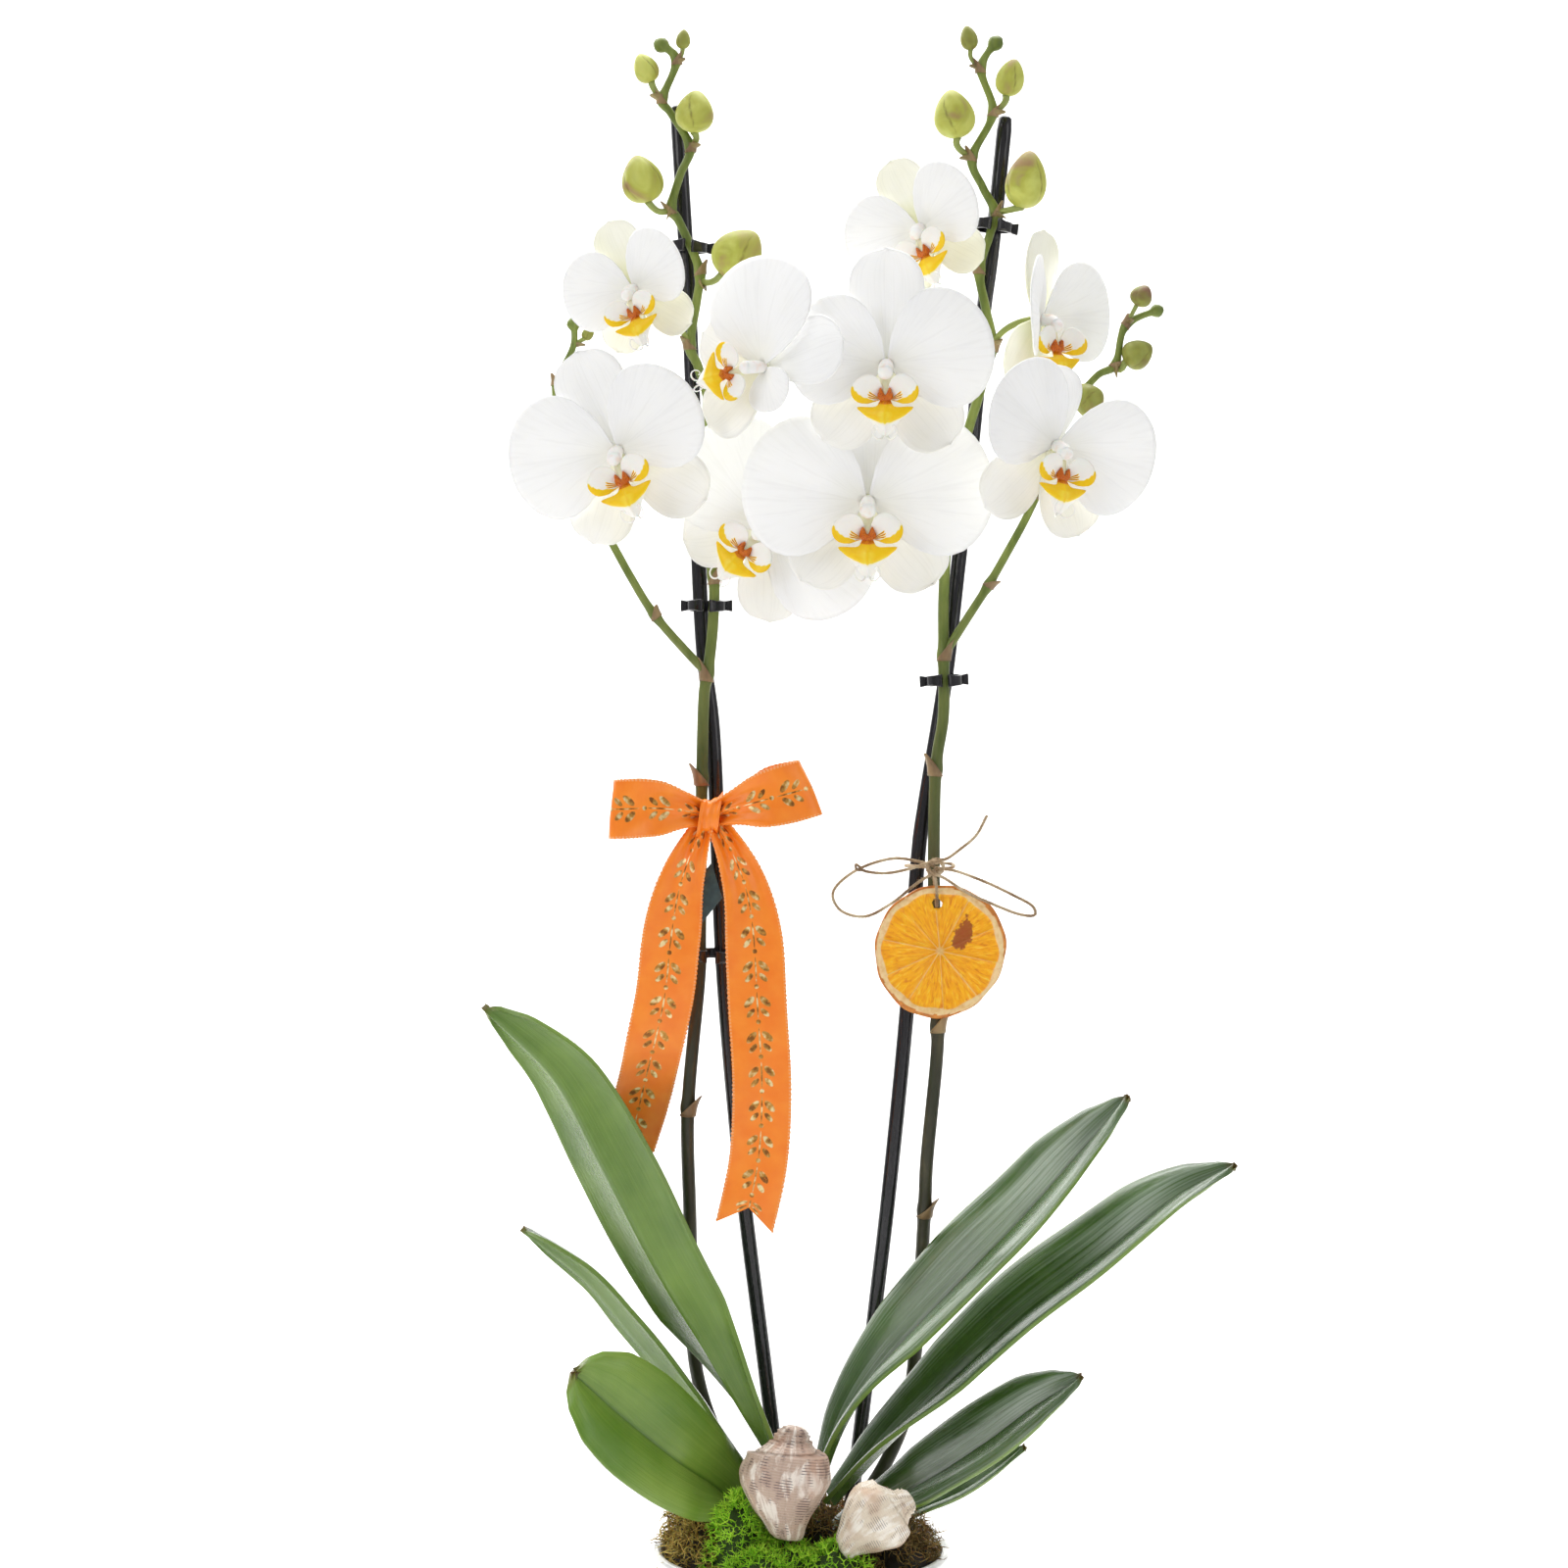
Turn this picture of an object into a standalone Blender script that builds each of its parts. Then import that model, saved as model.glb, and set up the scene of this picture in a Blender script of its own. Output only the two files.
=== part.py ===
"""Twin-spike white moth orchid in a plain ceramic pot, dressed with ribbon, moss, shells and an orange slice.

Tables are in millimetres and MM turns them into metres. +Z is up, the front faces -Y, and the origin is the
centre of the pot's underside. Everything above the pot is tabled for a pot 120 mm tall and rides up or down
with POT_HEIGHT.
"""

import math

import bmesh
import bpy
from mathutils import Matrix, Vector, noise

MM = 0.001
GAP = 0.35

POT_HEIGHT = 120.0
POT_RIM_RADIUS = 64.0
POT_FOOT_RADIUS = 47.0
POT_WALL = 4.0
POT_FLOOR = 7.0
BARK_TOP = 106.0

FLOWER_SIZE = 1.0
TEPAL_THICKNESS = 1.2
LEAF_THICKNESS = 2.2
STAKE_RADIUS = 3.2
SPIKE_RADIUS = 2.4
PEDICEL_RADIUS = 1.4
CLIP_HEIGHT = 4.6
CLIP_WALL = 1.2
RIBBON_WIDTH = 25.0
RIBBON_THICKNESS = 0.8
TWINE_RADIUS = 0.75
SLICE_RADIUS = 28.5
SLICE_THICKNESS = 4.0
HOLE_INSET = 8.4

LIFT = POT_HEIGHT - 120.0
# What clips and ties gain when the bars inside them get thicker.
ROOM = STAKE_RADIUS - 3.2 + SPIKE_RADIUS - 2.4


def clearScene():
    for obj in list(bpy.data.objects):
        bpy.data.objects.remove(obj, do_unlink=True)


def surface(name, color, roughness):
    made = bpy.data.materials.new(name)
    made.use_nodes = True
    shader = made.node_tree.nodes["Principled BSDF"]
    shader.inputs["Base Color"].default_value = (*color, 1.0)
    shader.inputs["Roughness"].default_value = roughness
    return made


def spot(x, y, z):
    """A tabled place in millimetres, as metres above the pot as it is now."""
    return Vector((x * MM, y * MM, (z + LIFT) * MM))


def link(name, mesh):
    obj = bpy.data.objects.new(name, mesh)
    bpy.context.scene.collection.objects.link(obj)
    return obj


def settle(obj):
    """Turns the object's modifiers into plain mesh."""
    graph = bpy.context.evaluated_depsgraph_get()
    mesh = bpy.data.meshes.new_from_object(obj.evaluated_get(graph))
    obj.modifiers.clear()
    obj.data = mesh
    return obj


def tidyMesh(obj):
    shape = bmesh.new()
    shape.from_mesh(obj.data)
    bmesh.ops.remove_doubles(shape, verts=shape.verts, dist=1e-6)
    bmesh.ops.recalc_face_normals(shape, faces=shape.faces)
    shape.to_mesh(obj.data)
    shape.free()
    return obj


def dress(obj, color, roughness):
    obj.data.materials.clear()
    obj.data.materials.append(surface(obj.name, color, roughness))
    return obj


def joinAll(base, others):
    """Boolean union of solids that overlap one another."""
    for other in others:
        join = base.modifiers.new("join", "BOOLEAN")
        join.operation = "UNION"
        join.solver = "EXACT"
        join.object = other
        settle(base)
        bpy.data.objects.remove(other, do_unlink=True)
    return base


def cutAll(base, cutters):
    for cutter in cutters:
        cut = base.modifiers.new("cut", "BOOLEAN")
        cut.operation = "DIFFERENCE"
        cut.solver = "EXACT"
        cut.object = cutter
        settle(base)
        bpy.data.objects.remove(cutter, do_unlink=True)
    return base


def tube(name, points, radius, taper=None, detail=1):
    """A round bar along the points. Taper lists the radius factor at its two ends."""
    curve = bpy.data.curves.new(name, "CURVE")
    curve.dimensions = "3D"
    curve.bevel_depth = radius * MM
    curve.bevel_resolution = detail
    curve.use_fill_caps = True
    spline = curve.splines.new("POLY")
    spline.points.add(len(points) - 1)
    first, last = taper or (1.0, 1.0)
    for index, place in enumerate(points):
        spline.points[index].co = (*place, 1.0)
        spline.points[index].radius = first + (last - first) * index / (len(points) - 1)
    guide = bpy.data.objects.new(name, curve)
    bpy.context.scene.collection.objects.link(guide)
    graph = bpy.context.evaluated_depsgraph_get()
    mesh = bpy.data.meshes.new_from_object(guide.evaluated_get(graph))
    bpy.data.objects.remove(guide, do_unlink=True)
    return tidyMesh(link(name, mesh))


def ball(name, place, radii, turn=None, segments=8, rings=6):
    mesh = bpy.data.meshes.new(name)
    shape = bmesh.new()
    bmesh.ops.create_uvsphere(shape, u_segments=segments, v_segments=rings, radius=1.0)
    bmesh.ops.scale(shape, verts=shape.verts, vec=[radius * MM for radius in radii])
    if turn is not None:
        bmesh.ops.transform(shape, matrix=turn.to_4x4(), verts=shape.verts)
    bmesh.ops.translate(shape, verts=shape.verts, vec=place)
    shape.to_mesh(mesh)
    shape.free()
    return link(name, mesh)


def sheet(name, rows, thickness, offset=0.0):
    """A solid skin over a grid of places, given row by row, of the thickness in millimetres."""
    mesh = bpy.data.meshes.new(name)
    wide = len(rows[0])
    places = [place for row in rows for place in row]
    faces = []
    for i in range(len(rows) - 1):
        for j in range(wide - 1):
            corner = i * wide + j
            faces.append((corner, corner + 1, corner + wide + 1, corner + wide))
    mesh.from_pydata(places, [], faces)
    skin = link(name, mesh)
    solid = skin.modifiers.new("thickness", "SOLIDIFY")
    solid.thickness = thickness * MM
    solid.offset = offset
    settle(skin)
    return tidyMesh(skin)


def lathe(name, profile, steps):
    """A solid of revolution about Z. The profile runs from the axis, round the section, to the axis."""
    mesh = bpy.data.meshes.new(name)
    mesh.from_pydata([(r * MM, 0.0, z * MM) for r, z in profile], [(i, i + 1) for i in range(len(profile) - 1)], [])
    turned = link(name, mesh)
    screw = turned.modifiers.new("turn", "SCREW")
    screw.steps = steps
    screw.render_steps = steps
    screw.use_merge_vertices = True
    screw.merge_threshold = 0.00001
    screw.use_normal_calculate = True
    settle(turned)
    return tidyMesh(turned)


def alongPath(points, fraction):
    at = fraction * (len(points) - 1)
    low = min(int(at), len(points) - 2)
    return points[low].lerp(points[low + 1], at - low)


# ---------------------------------------------------------------- pot and bark


def potRadius(height):
    return POT_FOOT_RADIUS + (POT_RIM_RADIUS - POT_FOOT_RADIUS) * (height / POT_HEIGHT) ** 0.8


def buildPot():
    top = POT_HEIGHT
    outside = [(potRadius(z), z) for z in (4.0, 0.25 * top, 0.5 * top, 0.75 * top, top - 1.5)]
    inside = [(potRadius(z) - POT_WALL, z) for z in (top - 1.5, 0.75 * top, 0.5 * top, 0.25 * top, POT_FLOOR + 4.0)]
    profile = [(0.0, 0.0), (POT_FOOT_RADIUS - 4.0, 0.0), (POT_FOOT_RADIUS - 1.0, 1.2)]
    profile += outside
    profile += [(POT_RIM_RADIUS - 1.2, top), (POT_RIM_RADIUS - POT_WALL + 1.2, top)]
    profile += inside
    profile += [(POT_FOOT_RADIUS - 11.0, POT_FLOOR), (0.0, POT_FLOOR)]
    dress(lathe("ceramic_pot", profile, 28), (0.86, 0.86, 0.85), 0.2)


def buildBark():
    clear = POT_WALL + GAP
    levels = [0.25 * POT_HEIGHT, 0.5 * POT_HEIGHT, 0.75 * POT_HEIGHT, BARK_TOP + LIFT - 1.0]
    side = [(potRadius(z) - clear, z) for z in levels]
    profile = [(0.0, POT_FLOOR + GAP), (POT_FOOT_RADIUS - 11.8, POT_FLOOR + GAP)]
    profile += [(potRadius(POT_FLOOR + 4.0) - clear - 0.4, POT_FLOOR + 4.4)]
    profile += side
    profile += [(30.0, BARK_TOP + LIFT), (0.0, BARK_TOP + LIFT)]
    bark = lathe("potting_bark", profile, 28)
    holes = []
    for line in (STAKE_LEFT, STAKE_RIGHT):
        foot = spot(*line[-1])
        past = spot(*line[-2])
        below = foot + (foot - past).normalized() * 1.0 * MM
        holes.append(tube("hole", [past, below], STAKE_RADIUS + 0.6, detail=2))
    dress(cutAll(bark, holes), (0.16, 0.09, 0.05), 0.95)


# ---------------------------------------------------------------- moss and shells

# Each mound: centre x, y, half sizes x, y, height, colour.
MOSS = {
    "moss_green": (-7.0, -34.5, 32.0, 18.0, 23.0, (0.30, 0.52, 0.03)),
    "moss_brown_left": (-42.0, 1.0, 13.0, 20.0, 25.0, (0.24, 0.18, 0.06)),
    "moss_brown_right": (42.0, -4.0, 13.0, 21.0, 18.0, (0.16, 0.10, 0.04)),
    "moss_back": (0.0, 43.0, 31.0, 12.5, 20.0, (0.19, 0.15, 0.05)),
}


def buildMoss():
    fit = (potRadius(BARK_TOP + LIFT) - POT_WALL) / 58.3
    floor = BARK_TOP + GAP
    for name, (x, y, wide, deep, tall, color) in MOSS.items():
        mound = ball(name, Vector((0.0, 0.0, 0.0)), (wide * fit, deep * fit, tall), segments=16, rings=8)
        for vertex in mound.data.vertices:
            place = vertex.co
            if place.z > 0.002:
                place.z *= 0.82 + 0.36 * (0.5 + 0.5 * noise.noise(place * 90.0))
            elif place.z < 0.0:
                place.z = 0.0
            away = ROOM if y > 20 else 0.0
            place += Vector((x * fit * MM, (y * fit + away) * MM, (floor + LIFT) * MM))
        dress(tidyMesh(mound), color, 1.0)


# Radius of a shell along its axis, from the tip of the spire down to the canal.
SHELL_PROFILE = [
    (0.0, 1.0), (0.14, 0.99), (0.23, 0.86), (0.2, 0.82), (0.42, 0.74), (0.46, 0.66), (0.4, 0.62),
    (0.78, 0.44), (0.8, 0.3), (0.72, 0.05), (0.56, -0.3), (0.34, -0.62), (0.2, -0.86), (0.12, -1.0), (0.0, -1.0),
]
SHELLS = {
    "shell_large": ((-6.4, -37.0, 156.5), 24.0, 23.5, (-6.0, 8.0), (0.55, 0.42, 0.33)),
    "shell_small": ((30.5, -40.5, 141.0), 18.5, 17.0, (-8.0, 62.0), (0.66, 0.52, 0.40)),
}


def buildShells():
    for name, (place, half, wide, (lean, roll), color) in SHELLS.items():
        shell = lathe(name, [(r * wide, z * half) for r, z in reversed(SHELL_PROFILE)], 14)
        turn = Matrix.Rotation(math.radians(roll), 4, "Y") @ Matrix.Rotation(math.radians(lean), 4, "X")
        shell.data.transform(Matrix.Translation(spot(*place)) @ turn)
        dress(shell, color, 0.5)


# ---------------------------------------------------------------- crown and leaves

CROWN = (1.0, 3.0, 8.0, 7.0, 146.0)


def buildCrown():
    x, y, wide, deep, top = CROWN
    low = BARK_TOP + GAP
    crown = lathe("plant_crown", [(0.0, low), (0.8, low), (1.0, low + 8.0), (0.85, top - 8.0), (0.4, top), (0.0, top)], 12)
    crown.data.transform(Matrix.Diagonal((wide, deep, 1.0, 1.0)))
    crown.data.transform(Matrix.Translation((x * MM, y * MM, LIFT * MM)))
    dress(crown, (0.16, 0.24, 0.06), 0.6)


# Midline from the base to the tip, then widest half width, roll, fold, colour. A positive roll lifts the half of
# the blade that is further from the front.
LEAVES = {
    "leaf_1": (
        [(-6.5, 1, 148.5), (-19, -1, 170.4), (-38.4, -3, 203.4), (-62.8, -5, 244.6), (-83.7, -5, 285.3), (-106.2, 0, 324.8), (-137, 8, 353)],
        26.0, -45.0, 15.0, (0.12, 0.26, 0.04),
    ),
    "leaf_2": (
        [(-10.5, 6, 136), (-35.3, 9, 164.5), (-54.4, 9, 188), (-75.6, 9, 214.4), (-92.6, 10, 234.1), (-121, 12, 256)],
        17.0, -25.0, 10.0, (0.16, 0.28, 0.08),
    ),
    "leaf_3": (
        [(-10.5, -6, 125), (-34.9, -13, 147.4), (-53.4, -24, 162.9), (-73.7, -36, 182.4), (-89.8, -44, 198.7), (-96.5, -47, 205.5)],
        27.0, 52.0, 17.5, (0.20, 0.34, 0.07),
    ),
    "leaf_4": (
        [(8.5, 2, 148.5), (17.8, 0, 174), (36.8, -2, 202.4), (70.4, -4, 238.9), (97.7, -4, 266.5), (120.9, -2, 293.7), (141, 0, 315)],
        24.0, 30.0, 25.0, (0.05, 0.13, 0.03),
    ),
    "leaf_5": (
        [(13.5, 3, 138), (34.8, 0, 163.5), (59.9, -4, 187.9), (93.5, -6, 220.2), (127.1, -6, 245.6), (160.8, -4, 272.8), (187, 0, 285)],
        24.0, 25.0, 28.0, (0.05, 0.13, 0.03),
    ),
    "leaf_6": (
        [(13.5, -1, 126.5), (38.8, -8, 142.5), (55.5, -12, 153.1), (78.4, -16, 168.9), (101.3, -18, 186.3), (119.5, -20, 198)],
        20.0, 30.0, 22.0, (0.06, 0.15, 0.03),
    ),
    "leaf_7": (
        [(13.5, 9, 116), (37, 12, 127.0), (53.9, 12, 133.6), (70.6, 10, 141.9), (85.1, 8, 151.8), (97, 6, 162)],
        8.0, 20.0, 30.0, (0.14, 0.25, 0.08),
    ),
}
LEAF_WIDTHS = [(0.0, 0.30), (0.12, 0.52), (0.35, 0.86), (0.6, 1.0), (0.8, 0.86), (0.93, 0.5), (1.0, 0.1)]
BROAD_WIDTHS = [(0.0, 0.30), (0.15, 0.45), (0.4, 0.85), (0.68, 1.0), (0.86, 0.86), (0.96, 0.55), (1.0, 0.2)]


def lookUp(table, at):
    for (low, first), (high, last) in zip(table, table[1:]):
        if at <= high:
            return first + (last - first) * (at - low) / (high - low)
    return table[-1][1]


def buildLeaf(name, midline, width, roll, fold, color):
    spine = [spot(*place) for place in midline]
    table = BROAD_WIDTHS if name == "leaf_3" else LEAF_WIDTHS
    stations = [0.0, 0.08, 0.2, 0.35, 0.5, 0.65, 0.78, 0.88, 0.95, 1.0]
    rows = []
    for at in stations:
        here = alongPath(spine, at)
        ahead = alongPath(spine, min(1.0, at + 0.06)) - alongPath(spine, max(0.0, at - 0.06))
        ahead.normalize()
        across = Vector((0, 1, 0))
        across = (across - ahead * across.dot(ahead)).normalized()
        upper = ahead.cross(across)
        if upper.z < 0:
            upper.negate()
        turned = math.radians(roll) * min(1.0, at / 0.35)
        bent = math.radians(fold)
        half = width * lookUp(table, at) * MM
        far = across * math.cos(turned + bent) + upper * math.sin(turned + bent)
        near = -across * math.cos(bent - turned) + upper * math.sin(bent - turned)
        rows.append([here + near * half, here + near * half * 0.5, here, here + far * half * 0.5, here + far * half])
    if spine[-1].x > spine[0].x:
        rows = [row[::-1] for row in rows]
    blade = sheet(name, rows, LEAF_THICKNESS, offset=1.0 if name == "leaf_3" else -1.0)
    dress(blade, color, 0.35)


# ---------------------------------------------------------------- stakes, clips and flower spikes

STAKE_LEFT = [
    (-53.2, 5.5, 739.0), (-47.9, 5.5, 646.7), (-43.0, 5.5, 518.5), (-37.9, 5.5, 468.0), (-34.2, 5.5, 376.0),
    (-28.4, 9, 301.6), (-23.3, 14, 253.5), (-15.3, 22, 187.4), (-6.5, 26, 110.0), (-2.5, 27, 40.0),
]
STAKE_RIGHT = [
    (86.9, 5.5, 734.5), (81.2, 5.5, 677.9), (77.5, 5.5, 649.2), (73.8, 5.5, 604.0), (66.8, 5.5, 539.9),
    (61.6, 5.5, 494.0), (53.1, 5.5, 441.0), (50.0, 5.5, 416.5), (45.3, 8, 349.5), (38.2, 13, 273.9),
    (32.0, 20, 217.0), (20.0, 30, 110.0), (15.0, 33, 40.0),
]

SPIKE_LEFT = [
    (-3.0, 14.0, 112.0), (-14, 19, 132), (-30, 27, 150), (-41, 32, 170), (-47, 31, 195), (-48, 24, 225),
    (-48.5, 12, 262), (-48.9, -1, 310.4), (-44.0, -1.5, 366), (-43.6, -1.5, 386.0), (-42.8, -1.5, 449.8),
    (-41.9, -1.5, 486.3), (-40.2, -1.5, 497.1), (-37.9, -1.5, 518.5), (-37.6, -1.5, 538.5), (-41.0, -1.5, 550.2),
    (-43.1, -1.5, 565.2), (-41.8, -1.5, 591.9), (-40.1, -1.5, 612.7), (-44.3, -1.5, 628.0), (-47.6, -1.5, 636.7),
    (-44.7, -1.5, 655.8), (-43.4, -1.5, 667.4), (-47.3, -1.5, 678.6), (-52.6, -2, 689.8), (-55.5, -3, 694.7),
    (-51.7, -4, 708.3), (-47.5, -4, 720.2), (-55.8, -4, 734.7), (-59.1, -4, 740.4), (-53.3, -4, 756.9),
    (-62.4, -4, 764.7),
]
BRANCH_LEFT = [
    (-40.2, -1.5, 497.1), (-47.7, -4, 504.7), (-62.6, -6, 521.8), (-73.0, -6, 538.4), (-85.6, -4, 561.4),
    (-97.3, -4, 583.5), (-103.5, -3, 604.3), (-104.6, 0, 620.3), (-97.6, 5, 637.2), (-98.1, 7, 649.2),
]
SPIKE_RIGHT = [
    (6.5, 13.5, 112.0), (19, 15, 128), (34, 20, 146), (46, 25, 172), (50.5, 24, 205), (52.5, 19, 240),
    (53.5, 10, 268), (54.2, 4, 288.6), (58.0, -1, 331.6), (58.2, -1.5, 348.7), (57.2, -1.5, 382.5),
    (56.6, -1.5, 417.0), (57.4, -1.5, 456.1), (60.6, -1.5, 479.1), (60.6, -1.5, 504.7), (60.6, -1.5, 531.4),
    (62.6, -1.5, 558.5), (69.2, -1.5, 593.9), (75.8, -1.5, 616.8), (81.0, -1.5, 636.3), (78.2, -1.5, 652.5),
    (75.5, -1.5, 668.3), (79.8, -1.5, 683.2), (82.3, -1.5, 692.7), (76.8, -3, 703.3), (72.2, -4, 715.7),
    (80.9, -4, 734.7), (75.9, -4, 753.6), (84.1, -4, 766.4),
]
BRANCH_RIGHT = [
    (60.6, -1.5, 504.7), (71.3, -5, 521.8), (79.5, -6, 534.7), (88.1, -8, 550.0), (95.1, -8, 562.9),
    (102.7, -6, 579.2), (109.5, -8, 597.3), (113.5, -10, 609.2), (124.6, -12, 622.8), (132.5, -12, 627.8),
    (137.0, -12, 644.3), (152.7, -12, 651.3),
]

# Clip: x, z, inner radius, and the two bars it holds.
CLIPS = {
    "clip_1": (-48.2, 678.5, 7.6),
    "clip_2": (-40.8, 526.0, 7.8),
    "clip_3": (-38.7, 376.0, 9.8),
    "clip_4": (81.6, 687.6, 7.6),
    "clip_5": (61.1, 494.0, 7.2),
}


def buildStakes():
    for name, line in (("stake_left", STAKE_LEFT), ("stake_right", STAKE_RIGHT)):
        stake = tube(name, [spot(*place) for place in line], STAKE_RADIUS, detail=1)
        dress(stake, (0.012, 0.011, 0.016), 0.35)


def buildClips():
    for name, (x, z, inner) in CLIPS.items():
        inner += ROOM
        band = []
        for step in range(15):
            angle = math.radians(-90 + 11 + (360 - 22) * step / 14)
            deep = inner + 0.7
            out = Vector((math.cos(angle) * inner, math.sin(angle) * deep, 0.0)) * MM
            middle = spot(x, 2.0, z) + out
            band.append([middle - Vector((0, 0, CLIP_HEIGHT * MM / 2)), middle + Vector((0, 0, CLIP_HEIGHT * MM / 2))])
        dress(sheet(name, band, CLIP_WALL, offset=0.0), (0.02, 0.02, 0.025), 0.4)


def arch(first, last, sag, steps=4):
    """A short stalk from one place to another, bowed by sag."""
    made = []
    for step in range(steps + 1):
        at = step / steps
        made.append(first.lerp(last, at) + sag * (4.0 * at * (1.0 - at)))
    return made


# ---------------------------------------------------------------- flowers

# Place of the column's base, turn to the side, nod, tilt, size, and where the stalk leaves the spike, with the
# side of the spike that it leaves from and a bow.
FLOWERS = {
    "flower_1": ((-69.9, -28, 657.5), -20, 8, -20, 0.64, "L", (-47.6, -1.5, 636.7), (0, 2, 5)),
    "flower_2": ((-76.1, -40, 589.3), -12, 8, -22, 0.94, "L", (-88.0, -4, 566.0), (0, 4, 2)),
    "flower_3": ((-16.0, -57, 623.0), -36, 0, 76, 0.84, "L", (-40.1, -1.5, 612.7), (2, 2, 2)),
    "flower_4": ((-14.0, -18, 558.8), -18, 8, 42, 0.92, "L", (-37.6, -1.5, 538.5), (2, 3, 0)),
    "flower_5": ((27.3, -40, 568.3), -2, 8, 0, 1.0, "R", (62.6, -1.5, 558.5), (0, 6, 4)),
    "flower_6": ((34.5, -60, 623.5), -5, 8, 0, 0.94, "R", (69.2, -1.5, 593.9), (0, 4, 14)),
    "flower_7": ((49.8, -34, 682.0), -22, 8, -24, 0.66, "R", (75.5, -1.5, 668.3), (0, 4, 2)),
    "flower_8": ((101.0, -6, 646.5), 56, 4, 0, 0.80, "R", (81.0, -1.5, 636.3), (-2, -2, 2)),
    "flower_9": ((103.0, -60, 590.5), 25, 8, 8, 0.90, "R", (100.0, -6.6, 573.0), (0, 2, 0)),
}

PETAL_OUTLINE = [(-85, 13), (-55, 38), (-20, 55), (18, 57), (54, 46), (85, 14)]
# The right and left petal's share of the full reach and how far up they are turned, how far both lean forward,
# and the lip's size beside the tepals'.
FORMS = {
    "flower_1": ((0.86, 0.86), (5, 5), 20, 1.28),
    "flower_2": ((0.82, 0.90), (4, 4), 6, 1.0),
    "flower_3": ((0.42, 1.0), (0, 0), 0, 1.0),
    "flower_5": ((0.97, 0.97), (0, 0), 0, 1.0),
    "flower_6": ((0.87, 0.80), (3, 3), 0, 1.0),
    "flower_7": ((0.90, 0.90), (0, 0), 20, 1.26),
    "flower_8": ((0.88, 0.88), (0, 0), 28, 1.0),
    "flower_9": ((0.88, 0.86), (-15, 17), 18, 1.0),
}
PLAIN_FORM = ((1.0, 1.0), (0, 0), 0, 1.0)
PETAL_LIFT = 12.0
PETAL_HINGE = 9.0
PETAL_RINGS = [0.0, 0.5, 1.0]
SEPAL_ROWS = [(0.0, 0.16), (0.28, 0.72), (0.58, 1.0), (0.85, 0.72), (1.0, 0.22)]


def facing(turn, nod, tilt):
    return (
        Matrix.Rotation(math.radians(turn), 3, "Z")
        @ Matrix.Rotation(math.radians(nod), 3, "X")
        @ Matrix.Rotation(math.radians(tilt), 3, "Y")
    )


def onFlower(place, turn, size, u, v, d):
    """A place given right, up and forward of the column's base."""
    return place + turn @ Vector((u, -d, v)) * size * MM


def petalRows(side, share, lift, lean):
    rows = []
    for ring in PETAL_RINGS:
        row = []
        for angle, reach in PETAL_OUTLINE:
            way = math.radians(min(angle + PETAL_LIFT + lift, 87 + lift))
            r = max(2.5, reach * ring * share)
            cup = 1.2 + 4.6 * math.sin(math.pi * min(1.0, r / 56)) - 2.5 * (r / 56) ** 2
            out = 0.6 + r * math.cos(way)
            past = max(0.0, out - PETAL_HINGE)
            out -= past * (1 - math.cos(math.radians(lean)))
            cup += past * math.sin(math.radians(lean)) + (0.35 if side < 0 else 0.0)
            row.append((side * out, 1.0 + r * math.sin(way), cup))
        rows.append(row if side > 0 else row[::-1])
    return rows


def sepalRows(heading, length, half):
    rows = []
    way = math.radians(heading)
    for at, wide in SEPAL_ROWS:
        row = []
        for across in (-1.0, -0.4, 0.4, 1.0):
            out = 1.0 + at * length
            side = across * wide * half
            depth = -1.6 - 1.2 * math.sin(math.pi * at) + 1.5 * abs(across) * wide
            depth -= 0.5 if heading < 0 else 0.0
            row.append((out * math.sin(way) + side * math.cos(way), out * math.cos(way) - side * math.sin(way), depth))
        rows.append(row)
    return rows


def buildFlower(name):
    place, turn, nod, tilt, size, _, _, _ = FLOWERS[name]
    place = spot(*place)
    size *= FLOWER_SIZE
    turn = facing(turn, nod, tilt)
    thin = TEPAL_THICKNESS
    parts = []
    shares, lifts, lean, lipShare = FORMS.get(name, PLAIN_FORM)
    shapes = [petalRows(1, shares[0], lifts[0], lean), petalRows(-1, shares[1], lifts[1], lean), sepalRows(0, 47, 15.5), sepalRows(143, 43, 14), sepalRows(-139, 42, 13.6)]
    for rows in shapes:
        grid = [[onFlower(place, turn, size, *point) for point in row] for row in rows]
        parts.append(sheet("tepal", grid, thin))
    hub = ball(name, onFlower(place, turn, size, 0, 0.5, 0.2), (6.0 * size, 3.8 * size, 6.0 * size), turn, 8, 6)
    dress(joinAll(hub, parts), (0.85, 0.85, 0.80), 0.5)
    buildLip(name + "_lip", place, turn, size * lipShare)


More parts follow.
